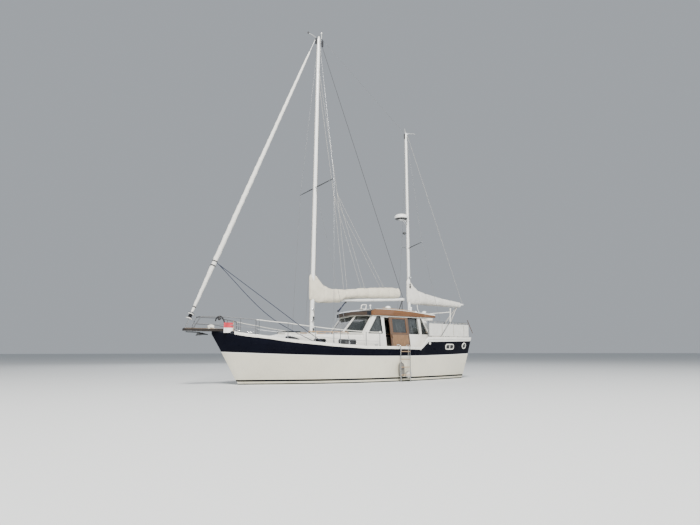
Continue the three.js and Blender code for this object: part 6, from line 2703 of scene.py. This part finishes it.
@dataclass
class Cabin:
    """What shows through the glazing: the sole, helm console, wheel, helm seat and settee."""

    # The wheel's middle.
    wheel: Vector = field(default_factory=lambda: Vector((-0.225, -0.54, 1.13)))

    def build(self) -> None:
        """Makes the cabin's pieces."""
        dress("saloon_sole", SOLE, 0.003)
        dress("helm_console", VARNISH_UP, 0.006)
        self._wheel()
        self._seat()
        self._settee()
        self._dials()

    def _wheel(self) -> None:
        """A six-spoked wheel with a bronze hub."""
        rim, hub = Maker(), Maker()
        loop = [
            self.wheel + Vector((0, 0.212 * math.cos(a), 0.212 * math.sin(a)))
            for a in spread(0, 2 * math.pi, 49)
        ]
        rim.pipe(loop, 0.0135, 14)
        for k in range(6):
            angle = k / 6 * 2 * math.pi
            way = Vector((0, math.cos(angle), math.sin(angle)))
            stations = spread(0.02, 0.2, 12)
            turned = [0.0075 + 0.0035 * math.sin((r - 0.02) / 0.18 * math.pi * 3) ** 2 for r in stations]
            rim.pipe([self.wheel + way * r for r in stations], turned, 12)
        rim.build("helm_wheel_rim", VARNISH, "helm", replaces=("helm_wheel",))
        hub.lathe(
            [(0.0, -0.026), (0.014, -0.025), (0.036, -0.018), (0.038, 0.02), (0.024, 0.0243), (0.0, 0.0243)],
            self.wheel, (1, 0, 0), 32,
        )
        hub.build("helm_wheel_hub", BRONZE, "helm")

    def _cushion(self, low: Point, high: Point, name: str, swell: float = 0.02) -> bpy.types.Object:
        """A stuffed cushion with crowned faces, sides that pull in between its corners and a piped seam.

        Args:
            low: its lowest corner.
            high: its highest corner.
            name: the piece's name.
            swell: how far its faces crown.

        Returns:
            The cushion.
        """
        maker = Maker()
        a, b = Vector(low), Vector(high)
        middle, half = (a + b) / 2, (b - a) / 2
        thin = min(range(3), key=lambda c: half[c])
        first, second = [c for c in range(3) if c != thin]
        steps = 18
        rings = []
        for level in (-1.0, -0.92, -0.6, 0.0, 0.6, 0.92, 1.0):
            ring = []
            inset = 0.0 if abs(level) < 0.95 else 0.012
            for i in range(steps * 4):
                angle = 2 * math.pi * (i + 0.5) / (steps * 4)
                u = math.copysign(abs(math.cos(angle)) ** 0.28, math.cos(angle))
                v = math.copysign(abs(math.sin(angle)) ** 0.28, math.sin(angle))
                pull = 0.010 * (1 - abs(u * v)) * (1 - abs(level) * 0.4)
                spot = Vector((0, 0, 0))
                spot[first] = u * (half[first] - inset - swell * 0.3 - pull)
                spot[second] = v * (half[second] - inset - swell * 0.3 - pull)
                spot[thin] = level * (half[thin] - swell)
                ring.append(middle + spot)
            rings.append(ring)
        for end, sign in ((0, -1), (-1, 1)):
            layers = []
            for share in (0.8, 0.55, 0.3, 0.08):
                ring = []
                for spot in rings[end]:
                    flat = middle + (spot - middle) * share
                    flat[thin] = spot[thin] + sign * swell * (1 - share**2)
                    wrinkle = 0.0025 * noise.noise(flat * 14)
                    flat[thin] += sign * wrinkle
                    ring.append(flat)
                layers.append(ring)
            rings = [*reversed(layers), *rings] if end == 0 else [*rings, *layers]
        maker.loft(rings)
        piece = maker.build(name, CUSHION, crease=70)
        return piece

    def _seat(self) -> None:
        """The helm seat: a pedestal under a seat and a back cushion."""
        post = Maker()
        post.lathe(
            [
                (0.0, 0.0), (0.15, 0.0), (0.15, 0.012), (0.06, 0.03), (0.045, 0.06), (0.045, 0.46),
                (0.07, 0.5), (0.0, 0.5),
            ],
            (-0.76, -0.54, 0.381), sides=32,
        )
        post.box((-0.95, -0.75, 0.87), (-0.57, -0.33, 0.886), 0.006)
        post.pipe([(-0.93, -0.42, 0.88), (-0.972, -0.42, 1.2)], 0.014, 12)
        post.pipe([(-0.93, -0.66, 0.88), (-0.972, -0.66, 1.2)], 0.014, 12)
        post.build("helm_seat_post", STEEL)
        seat = self._cushion((-0.96, -0.77, 0.886), (-0.56, -0.31, 0.985), "helm_seat_cushion", 0.014)
        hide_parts("helm_seat")
        self._cushion((-0.98, -0.77, 0.99), (-0.9, -0.31, 1.38), "helm_back_cushion", 0.012)

    def _settee(self) -> None:
        """A settee across the cabin's after end: a timber base with three seat and three back cushions."""
        base = Maker()
        base.box((-2.56, -0.9, 0.381), (-1.99, 0.9, 0.74), 0.006)
        base.box((-2.585, -0.9, 0.74), (-2.55, 0.9, 1.3), 0.006)
        for y in (-0.3, 0.3):
            groove = ((y - 0.004, 0.42), (y + 0.004, 0.42), (y + 0.004, 0.7), (y - 0.004, 0.7))
            base.slab([(-1.9895, *spot) for spot in groove], (-0.004, 0, 0))
        base.build("settee_base", VARNISH_UP)
        for k, y in enumerate((-0.9, -0.3, 0.3)):
            seat = self._cushion(
                (-2.45, y + 0.004, 0.742), (-1.98, y + 0.596, 0.86), f"settee_seat_{k}", 0.018,
            )
            if k == 0:
                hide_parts("settee")
            self._cushion((-2.548, y + 0.004, 0.85), (-2.455, y + 0.596, 1.33), f"settee_back_{k}", 0.016)

    def _dials(self) -> None:
        """Round instruments and a throttle on the console."""
        rims, faces = Maker(), Maker()
        slope = Vector((-0.13, 0.0, 1.0)).normalized()
        for k in range(5):
            y = -0.86 + k * 0.16
            spot = Vector((0.02 + 0.05 * (k % 2), y, 1.352 + 0.0165 * (k % 2)))
            rims.lathe(
                [(0.0, -0.01), (0.05, -0.01), (0.05, 0.008), (0.044, 0.012), (0.041, 0.006), (0.0, 0.006)],
                spot, slope, 32,
            )
            faces.lathe([(0.0, 0.0), (0.0405, 0.0), (0.0405, 0.008), (0.0, 0.0085)], spot, slope, 32)
            faces.lathe([(0.0, 0.008), (0.006, 0.008), (0.004, 0.013), (0.0, 0.013)], spot, slope, 16)
        rims.pipe([(0.12, -0.2, 1.37), (0.1, -0.2, 1.5)], [0.012, 0.008], 12)
        rims.lathe(
            [(0.0, 0.0), (0.02, 0.006), (0.024, 0.022), (0.02, 0.038), (0.0, 0.044)],
            (0.1, -0.2, 1.49), sides=20,
        )
        rims.build("console_bezels", STEEL)
        faces.build("console_dials", BLACK)


# Rigging and fittings


@dataclass
class StandingRigging:
    """Wire shrouds and the stay between the mastheads, with the screws at their feet."""

    radius: float = 0.0062
    # The chainplates' distance inside the sheer, and their eyes' height above the rail.
    inset: float = 0.05
    eye: float = 0.09
    # Shrouds. Columns: name, upper end, point at the spreader's tip, x of the chainplate.
    shrouds: tuple[tuple[str, Point, Optional[Point], float], ...] = (
        ("cap_shroud", (1.556, 0.052, 12.68), (1.6046, 1.213, 6.892), 1.74),
        ("lower_shroud", (1.6495, 0.06, 6.78), None, 1.18),
        ("mizzen_shroud", (-2.66, 0.044, 9.79), (-2.854, 0.623, 5.275), -3.08),
    )
    # The stay between the mastheads.
    triatic: tuple[Point, Point] = ((1.3628, 0.0, 12.77), (-2.5668, 0.0, 9.962))

    def build(self) -> None:
        """Makes the shrouds of both sides and the stay."""
        screws = Maker()
        for side in Side:
            for name, head, tip, foot_x in self.shrouds:
                seat = rail_spot(foot_x, side, self.inset)
                eye = seat + UP * self.eye
                knots = [Vector((x, side.value * y, z)) for x, y, z in ((head, tip) if tip else (head,))]
                wire = Maker().pipe([*knots, eye], self.radius, 8)
                wire.build(f"{name}_wire_{side.word}", WIRE, replaces=(f"{name}_{side.word}",))
                self._screw(screws, eye, (knots[-1] - eye).normalized())
                screws.box(seat - Vector((0.02, 0.004, 0.0)), eye + Vector((0.02, 0.004, 0.012)), 0.003)
        stay = Maker().pipe(self.triatic, self.radius * 0.9, 8)
        stay.build("triatic_wire", WIRE, replaces=("triatic_stay",))
        screws.build("rigging_screws", STEEL)

    def _screw(self, maker: Maker, eye: Vector, away: Vector) -> None:
        """A rigging screw: fork, barrel and swaged end.

        Args:
            maker: where it is added.
            eye: the chainplate's eye.
            away: the wire's direction.
        """
        profile = [(0.0, 0.0), (0.012, 0.0), (0.012, 0.03), (0.006, 0.036), (0.006, 0.06), (0.0125, 0.066)]
        profile += [(0.0125, 0.2), (0.006, 0.206), (0.006, 0.235), (0.009, 0.24), (0.009, 0.32), (0.0, 0.324)]
        maker.lathe(profile, eye + away * 0.005, away, 14)


# Lines that turn with a boom. Columns: name, boom, finish, radius, points.
BOOM_LINES = (
    ("topping_lift", "main_boom", ROPE_DARK, 0.0085, ((1.5, 0.0, 12.74), (-2.33, 0.0, 3.12))),
    (
        "main_reef_line", "main_boom", ROPE_DARK, 0.005,
        ((1.45, 0.06, 2.7), (1.25, 0.09, 2.725), (1.0, 0.08, 2.77), (0.8, 0.06, 2.8)),
    ),
    ("mizzen_topping_lift", "mizzen_boom", ROPE_PALE, 0.0045, ((-2.74, 0.0, 9.9), (-5.58, 0.0, 3.03))),
)
# The port lazy jacks' legs, which part at a joint.
JACK_JOINT = (0.779, 0.12, 6.75)
LAZY_JACKS = (
    ((1.572, 0.064, 11.46), JACK_JOINT, (-1.39, 0.1, 3.33)),
    (JACK_JOINT, (-0.46, 0.11, 3.27)),
    (JACK_JOINT, (0.339, 0.11, 3.2)),
)
# Tackles between the boat and a boom.
# Columns: name, boom, finish, radius, feet, upper end, half gap between the parts.
TACKLES = (
    ("vang", "main_boom", ROPE_BLUE, 0.011, ((0.66, 0.0, 2.42),), (0.33, 0.0, 2.80), 0.022),
    (
        "main_sheet", "main_boom", ROPE_DARK, 0.006, ((-2.2, 0.12, 2.512), (-2.2, -0.12, 2.512)),
        (-2.3, 0.0, 2.97), 0.02,
    ),
    (
        "mizzen_sheet", "mizzen_boom", ROPE_PALE, 0.006, ((-4.66, 0.16, 2.13), (-4.66, -0.16, 2.13)),
        (-5.3, 0.0, 2.93), 0.02,
    ),
)


class RunningLines:
    """Topping lifts, lazy jacks, sheets and the vang."""

    def build(self) -> None:
        """Makes the lines."""
        for name, boom, finish, radius, points in BOOM_LINES:
            Maker().pipe(points, radius, 8, 0.02).build(name, finish, boom)
        jacks = Maker()
        for side in Side:
            for leg in LAZY_JACKS:
                jacks.pipe([(x, side.value * y, z) for x, y, z in leg], 0.0045, 6)
            x, y, z = JACK_JOINT
            bead = [(0.0, -0.022), (0.014, -0.02), (0.02, 0.0), (0.014, 0.02), (0.0, 0.022)]
            jacks.lathe(bead, (x, side.value * y, z), sides=14)
        lines = jacks.build("lazy_jacks", ROPE_PALE, None)
        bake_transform(lines)
        for name, boom, finish, radius, feet, upper, gap in TACKLES:
            self._tackle(name, finish, radius, feet, Vector(upper), gap)

    def _block(self, maker: Maker, spot: Vector, size: float = 0.03) -> None:
        """A rope block: two cheeks round a sheave.

        Args:
            maker: the piece that it joins.
            spot: its middle.
            size: half its width.
        """
        for y in (-0.014, 0.008):
            outline = [
                (size * math.cos(a), size * 1.35 * math.sin(a))
                for a in spread(0, 2 * math.pi, 17)[:-1]
            ]
            maker.slab([(spot.x + x, spot.y + y, spot.z + z) for x, z in outline], (0, 0.006, 0), 0.001)
        maker.lathe(
            [(0.0, -0.01), (size * 0.8, -0.01), (size * 0.62, 0.0), (size * 0.8, 0.01), (0.0, 0.01)], spot,
            (0, 1, 0), 18,
        )

    def _tackle(
        self, name: str, finish: "Finish", radius: float, feet: Sequence[Point], upper: Vector,
        gap: float,
    ) -> None:
        """The parts of a tackle with a block at each end, stretched between the boat and a boom.

        Args:
            name: its name.
            finish: of the rope.
            radius: of the rope.
            feet: its lower ends.
            upper: its upper end.
            gap: half the gap between its parts.
        """
        ropes, blocks = Maker(), Maker()
        for foot in map(Vector, feet):
            across = (upper - foot).cross(Vector((0, 1, 0))).normalized() * gap
            # Only the parts' ends have points, so that each part is one straight line.
            for k in (-1, 0, 1):
                ropes.pipe(
                    [foot.lerp(upper, 0.06) + across * k, foot.lerp(upper, 0.94) + across * k * 0.5],
                    radius, 8,
                )
            self._block(blocks, foot + UP * 0.03)
        self._block(blocks, upper - UP * 0.02)
        for maker, kind, surface in ((ropes, "parts", finish), (blocks, "blocks", BLACK)):
            piece = maker.build(f"{name}_{kind}", surface, None)
            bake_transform(piece)
        if name == "vang":
            legs = Maker()
            for x, y, z in ((0.62, 0.2, 1.66), (1.11, 0.2, 1.655), (1.11, -0.2, 1.655)):
                legs.pipe([Vector(feet[0]) + UP * 0.01, (x, y, z)], 0.005, 8)
                legs.lathe(
                    [(0.0, 0.0), (0.022, 0.0), (0.02, 0.006), (0.008, 0.012), (0.0, 0.02)],
                    (x, y, z - 0.006), sides=16,
                )
            legs.build("vang_legs", WIRE)


def roof_at(x: float, y: float) -> float:
    """The height of the pilothouse roof's upper face."""
    half, edge, crown = (ROOF_TABLE.at(x, c) for c in (1, 2, 3))
    return crown - (crown - edge) * (y / half) ** 2


@dataclass
class RoofGear:
    """Ventilators, a flue, an aerial post, bent pipes and handrails on the pilothouse roof."""

    # Turned fittings. Columns: name, x, y, profile as (radius, height above the roof) pairs.
    turned: tuple[tuple[str, float, float, tuple[tuple[float, float], ...]], ...] = (
        (
            "dome_vent", -1.376, 0.3,
            (
                (0.075, 0.0), (0.07, 0.075), (0.062, 0.085), (0.1, 0.09), (0.103, 0.115), (0.09, 0.15),
                (0.055, 0.178), (0.0, 0.186),
            ),
        ),
        (
            "stove_flue", -2.473, 0.3,
            (
                (0.062, 0.0), (0.062, 0.012), (0.047, 0.018), (0.047, 0.18), (0.06, 0.185), (0.06, 0.215),
                (0.045, 0.235), (0.0, 0.24),
            ),
        ),
        (
            "aerial_post", -0.52, 0.35,
            (
                (0.035, 0.0), (0.033, 0.01), (0.017, 0.016), (0.015, 0.115), (0.028, 0.125), (0.034, 0.15),
                (0.026, 0.172), (0.0, 0.18),
            ),
        ),
        (
            "small_vent", -2.435, 0.62,
            ((0.05, 0.0), (0.048, 0.03), (0.066, 0.034), (0.06, 0.06), (0.03, 0.076), (0.0, 0.08)),
        ),
        (
            "mushroom_fore", -2.66, 0.85,
            ((0.05, 0.0), (0.046, 0.03), (0.08, 0.034), (0.076, 0.056), (0.04, 0.076), (0.0, 0.08)),
        ),
        (
            "mushroom_aft", -2.9, 0.6,
            ((0.05, 0.0), (0.046, 0.06), (0.082, 0.064), (0.078, 0.09), (0.04, 0.112), (0.0, 0.116)),
        ),
    )
    # The hoop forward: y, and its shape as pairs of x and height above the roof.
    hoop_y: float = 0.25
    hoop: tuple[tuple[float, float], ...] = (
        (-0.171, -0.01), (-0.19, 0.15), (-0.25, 0.178), (-0.4, 0.178), (-0.41, 0.15), (-0.371, -0.01),
    )
    # The handrails: y, and the first and last post.
    rail_y: float = 0.86
    rail_ends: tuple[float, float] = (-0.75, -2.15)

    def build(self) -> None:
        """Makes the roof's fittings."""
        for name, x, y, profile in self.turned:
            Maker().lathe([(0.0, -0.004), *profile], (x, y, roof_at(x, y)), sides=36).build(name, DOME)
        pipes = Maker()
        y = self.hoop_y
        pipes.pipe([(x, y, roof_at(x, y) + z) for x, z in self.hoop], 0.017, 14, 0.05)
        pipes.pipe(
            [(-2.77, 0.5, roof_at(-2.77, 0.5) - 0.01), (-2.655, 0.5, 2.63), (-2.635, 0.5, 2.8)],
            0.011, 12, 0.05,
        )
        pipes.box((-0.62, 0.2, roof_at(-0.4, 0.3) - 0.012), (-0.12, 0.42, roof_at(-0.4, 0.3) + 0.012), 0.006)
        pipes.build("roof_pipes", RAIL_WHITE)
        rails = Maker()
        for side in Side:
            y = side.value * self.rail_y
            for x in spread(*self.rail_ends, 5):
                rails.lathe([(0.02, -0.003), (0.017, 0.02), (0.014, 0.042)], (x, y, roof_at(x, y)), sides=14)
            line = [(x, y, roof_at(x, y) + 0.05) for x in spread(-0.68, -2.22, 20)]
            rails.pipe(line, 0.014, 12, flat=0.8)
        rails.build("roof_handrails", HANDRAIL)


@dataclass
class HullFittings:
    """Stern ports, fairleads, wall grab rails and the guard rails' end fittings."""

    # The long port in the stern quarter: aft end, fore end, low, high.
    port: tuple[float, float, float, float] = (-3.655, -3.2, 1.105, 1.28)
    # The round port: x, z, radius.
    round_port: tuple[float, float, float] = (-4.3, 1.235, 0.1)
    # The fairlead: x, z.
    fairlead: tuple[float, float] = (-2.31, 1.31)
    grab_z: float = 1.71

    def build(self) -> None:
        """Makes the fittings of both sides."""
        frames, panes, metal, rails = Maker(), Maker(), Maker(), Maker()
        for side in Side:
            aft, fore, low, high = self.port
            outline = rounded_outline([(aft, low), (fore, low), (fore, high), (aft, high)], 0.08)
            self._port(frames, panes, side, outline)
            middle = (aft + fore) / 2
            bar = ((-0.012, low), (0.012, low), (0.012, high), (-0.012, high))
            on_skin = [self._on_skin(middle + off, z, side, 0.004) for off, z in bar]
            frames.slab(on_skin, (0, side.value * 0.008, 0))
            x, z, radius = self.round_port
            turns = spread(0, 2 * math.pi, 33)[:-1]
            circle = [(x + radius * math.cos(a), z + radius * math.sin(a)) for a in turns]
            self._port(frames, panes, side, circle)
            lead = self._on_skin(*self.fairlead, side, 0.004)
            metal.lathe(
                [(0.0, 0.0), (0.045, 0.0), (0.045, 0.008), (0.024, 0.016), (0.0, 0.01)], lead,
                (0, side.value, 0), 24,
            )
            self._grab_rail(rails, side)
            ball = Vector((-0.02, side.value * (beam_at(0.0) - 0.026), 1.662))
            metal.lathe(
                [
                    (0.0, -0.042), (0.022, -0.036), (0.034, -0.015), (0.034, 0.015), (0.022, 0.036),
                    (0.0, 0.042),
                ],
                ball, (1, 0, 0), 20,
            )
        frames.build("stern_port_frames", RAIL_WHITE)
        panes.build("stern_port_panes", SMOKED)
        metal.build("side_fittings", RAIL_WHITE)
        rails.build("wall_grab_rails", HANDRAIL)

    def _on_skin(self, x: float, z: float, side: Side, out: float = 0.0) -> Vector:
        """A point on the hull's side.

        Args:
            x: its place along the boat.
            z: its height.
            side: which side.
            out: how far outside the skin.

        Returns:
            The point.
        """
        return Vector((x, side.value * (skin_at(unleaned(x, z), z) + out), z))

    def _port(self, frames: Maker, panes: Maker, side: Side, outline: Sequence[tuple[float, float]]) -> None:
        """One framed port that follows the hull's side.

        Args:
            frames: the frames' piece.
            panes: the panes' piece.
            side: which side.
            outline: its edge, as pairs of x and z.
        """
        path = [self._on_skin(x, z, side, 0.0015) for x, z in outline]
        frames.moulding(path, window_bead(0.02, 0.014), (0, side.value, 0))
        panes.slab(path, (0, side.value * 0.005, 0))

    def _grab_rail(self, maker: Maker, side: Side) -> None:
        """A rail inside the pilothouse wall behind its after windows.

        Args:
            maker: the piece that it joins.
            side: which side.
        """
        y = HOUSE_HALF + TUMBLEHOME * (HOUSE_TOP - self.grab_z) - 0.1
        for x in (-1.63, -2.18, -2.5):
            maker.pipe(
                [(x, side.value * (y + 0.06), self.grab_z), (x, side.value * y, self.grab_z)], 0.011, 10,
            )
        maker.pipe([(x, side.value * y, self.grab_z) for x in (-1.6, -2.53)], 0.02, 12)


@dataclass
class AftGear:
    """Things stowed at the stern: a hoist pole with its fall, a locker box and a boat hook."""

    # The hoist pole: x of its foot on the rail, and its top.
    pole_x: float = -3.45
    pole_top: Point = (-3.55, 1.36, 2.6)
    pole_radius: float = 0.021
    # The boat hook's two ends.
    hook: tuple[Point, Point] = ((-4.632, 1.17, 2.23), (-4.9, 1.17, 1.73))

    def build(self) -> None:
        """Makes the stern's loose gear."""
        pole = Maker()
        foot = Vector((self.pole_x, beam_at(self.pole_x) - 0.062, rail_at(self.pole_x)))
        top = Vector(self.pole_top)
        pole.pipe([foot, top], self.pole_radius, 16)
        pole.lathe([(0.0, 0.0), (0.03, 0.0), (0.03, 0.02), (0.016, 0.04), (0.0, 0.04)], top, sides=18)
        pole.lathe([(0.0, 0.0), (0.05, 0.0), (0.05, 0.008), (0.03, 0.02), (0.0, 0.02)], foot, sides=20)
        pole.pipe(
            [top - UP * 0.1, Vector((-3.3, 1.2, 2.47)), Vector((-2.9, 0.92, 2.44))],
            [0.016, 0.016, 0.012], 14,
        )
        pole.build("hoist_pole", RAIL_WHITE)
        fall = Maker().pipe([(-3.40, 1.462, 2.13), (-2.87, 1.518, 1.566)], 0.007, 8)
        fall.build("hoist_fall", ROPE_DARK)
        box = Maker()
        box.box((-2.56, 1.24, 2.132), (-2.32, 1.44, 2.215), 0.02)
        box.box((-2.565, 1.235, 2.19), (-2.315, 1.445, 2.22), 0.012)
        box.pipe([(-2.44, 1.34, 1.62), (-2.44, 1.34, 2.14)], 0.016, 12)
        box.build("rail_locker", RAIL_WHITE)
        hook = Maker().pipe(self.hook, 0.013, 12)
        hook.build("boat_hook", VARNISH_UP)


# Studio


@dataclass
class Studio:
    """The plain pale floor at the waterline, soft light and the camera."""

    # The camera's place, its heading in degrees and its lens in millimetres.
    position: Point = (10.837, 16.022, 1.005)
    yaw: float = -123.729
    pitch: float = 9.597
    roll: float = -0.065
    lens: float = 27.215
    sensor: float = 36.0
    # What the lamps look at.
    aim: Point = (0.0, 0.0, 4.0)
    floor_radius: float = 400.0

    def build(self) -> None:
        """Sets the studio up."""
        self._floor()
        self._light("key", (16.0, 26.0, 30.0), 9.0, 34000.0, (1.0, 0.97, 0.92))
        self._light("fill", (-20.0, 26.0, 16.0), 22.0, 2500.0, (0.92, 0.96, 1.0))
        self._light("back", (-8.0, -26.0, 18.0), 20.0, 2500.0, (0.95, 0.97, 1.0))
        self._world()
        self._camera()

    def _floor(self) -> None:
        """A very large pale floor."""
        bm = bmesh.new()
        bmesh.ops.create_circle(bm, cap_ends=True, segments=96, radius=self.floor_radius)
        mesh = bpy.data.meshes.new("studio_floor")
        bm.to_mesh(mesh)
        bm.free()
        floor = bpy.data.objects.new("studio_floor", mesh)
        bpy.context.scene.collection.objects.link(floor)
        graph = Graph("studio_floor")
        graph.set(Base_Color=(0.62, 0.635, 0.64), Roughness=0.85)
        mesh.materials.append(graph.material)

    def _light(self, name: str, spot: Point, size: float, power: float, colour: Colour) -> None:
        """A large soft lamp aimed at the boat.

        Args:
            name: its name.
            spot: where it hangs.
            size: its width.
            power: in watts.
            colour: its colour.
        """
        data = bpy.data.lights.new(name, "AREA")
        data.energy, data.size, data.color = power, size, colour
        lamp = bpy.data.objects.new(name, data)
        lamp.location = spot
        aim = Vector(self.aim) - Vector(spot)
        lamp.rotation_euler = aim.to_track_quat("-Z", "Y").to_euler()
        bpy.context.scene.collection.objects.link(lamp)

    def _world(self) -> None:
        """A pale even sky."""
        world = bpy.data.worlds.new("studio")
        world.use_nodes = True
        sky = world.node_tree.nodes["Background"]
        sky.inputs["Color"].default_value = (0.80, 0.86, 0.93, 1.0)
        sky.inputs["Strength"].default_value = 0.5
        bpy.context.scene.world = world

    def _camera(self) -> None:
        """The camera where the photograph was taken."""
        data = bpy.data.cameras.new("view")
        data.lens, data.sensor_width, data.clip_end = self.lens, self.sensor, 2000.0
        camera = bpy.data.objects.new("view", data)
        yaw, pitch = math.radians(self.yaw), math.radians(self.pitch)
        heading = Vector((math.cos(yaw) * math.cos(pitch), math.sin(yaw) * math.cos(pitch), math.sin(pitch)))
        turn = heading.to_track_quat("-Z", "Y") @ Quaternion((0, 0, 1), math.radians(self.roll))
        camera.location = self.position
        camera.rotation_euler = turn.to_euler()
        bpy.context.scene.collection.objects.link(camera)
        bpy.context.scene.camera = camera


def main() -> None:
    """Builds the boat and its studio, and reports each piece."""
    logging.basicConfig(level=logging.INFO, format="%(name)s: %(message)s")
    Studio().build()
    Hull().build()
    Decks().build()
    Pilothouse().build()
    Mast(
        MAIN,
        spreader_z=6.87,
        spreader_half=1.2,
        sweep=0.04,
        rise=0.02,
        pin=MAIN_PIN,
        crane=(0.19, 0.15),
        winches=((2.45, 1), (2.35, -1), (2.05, 1)),
    ).build()
    Mast(
        MIZZEN,
        spreader_z=5.1,
        spreader_half=0.61,
        sweep=0.19,
        rise=0.17,
        pin=MIZZEN_PIN,
        crane=(0.11, 0.09),
        winches=((3.9, 1), (3.8, -1)),
    ).build()
    Boom(
        "main",
        pin=MAIN_PIN,
        end=(-2.4, 3.03),
        radius=0.055,
        cover=MAIN_COVER,
        finish=CANVAS,
        blend_from=1.56,
        blend_to=1.2,
        ties=MAIN_TIES,
        seed=3,
    ).build()
    Boom(
        "mizzen",
        pin=MIZZEN_PIN,
        end=(-5.63, 2.975),
        radius=0.042,
        cover=MIZZEN_COVER,
        finish=CANVAS_WHITE,
        blend_from=-2.8,
        blend_to=-3.05,
        ties=MIZZEN_TIES,
        seed=8,
    ).build()
    Headsail().build()
    Railings().build()
    BowGear().build()
    Radar().build()
    Fenders().build()
    StandingRigging().build()
    RunningLines().build()
    RoofGear().build()
    HullFittings().build()
    AftGear().build()
    RunningGear().build()
    Cabin().build()


if __name__ == "__main__":
    main()
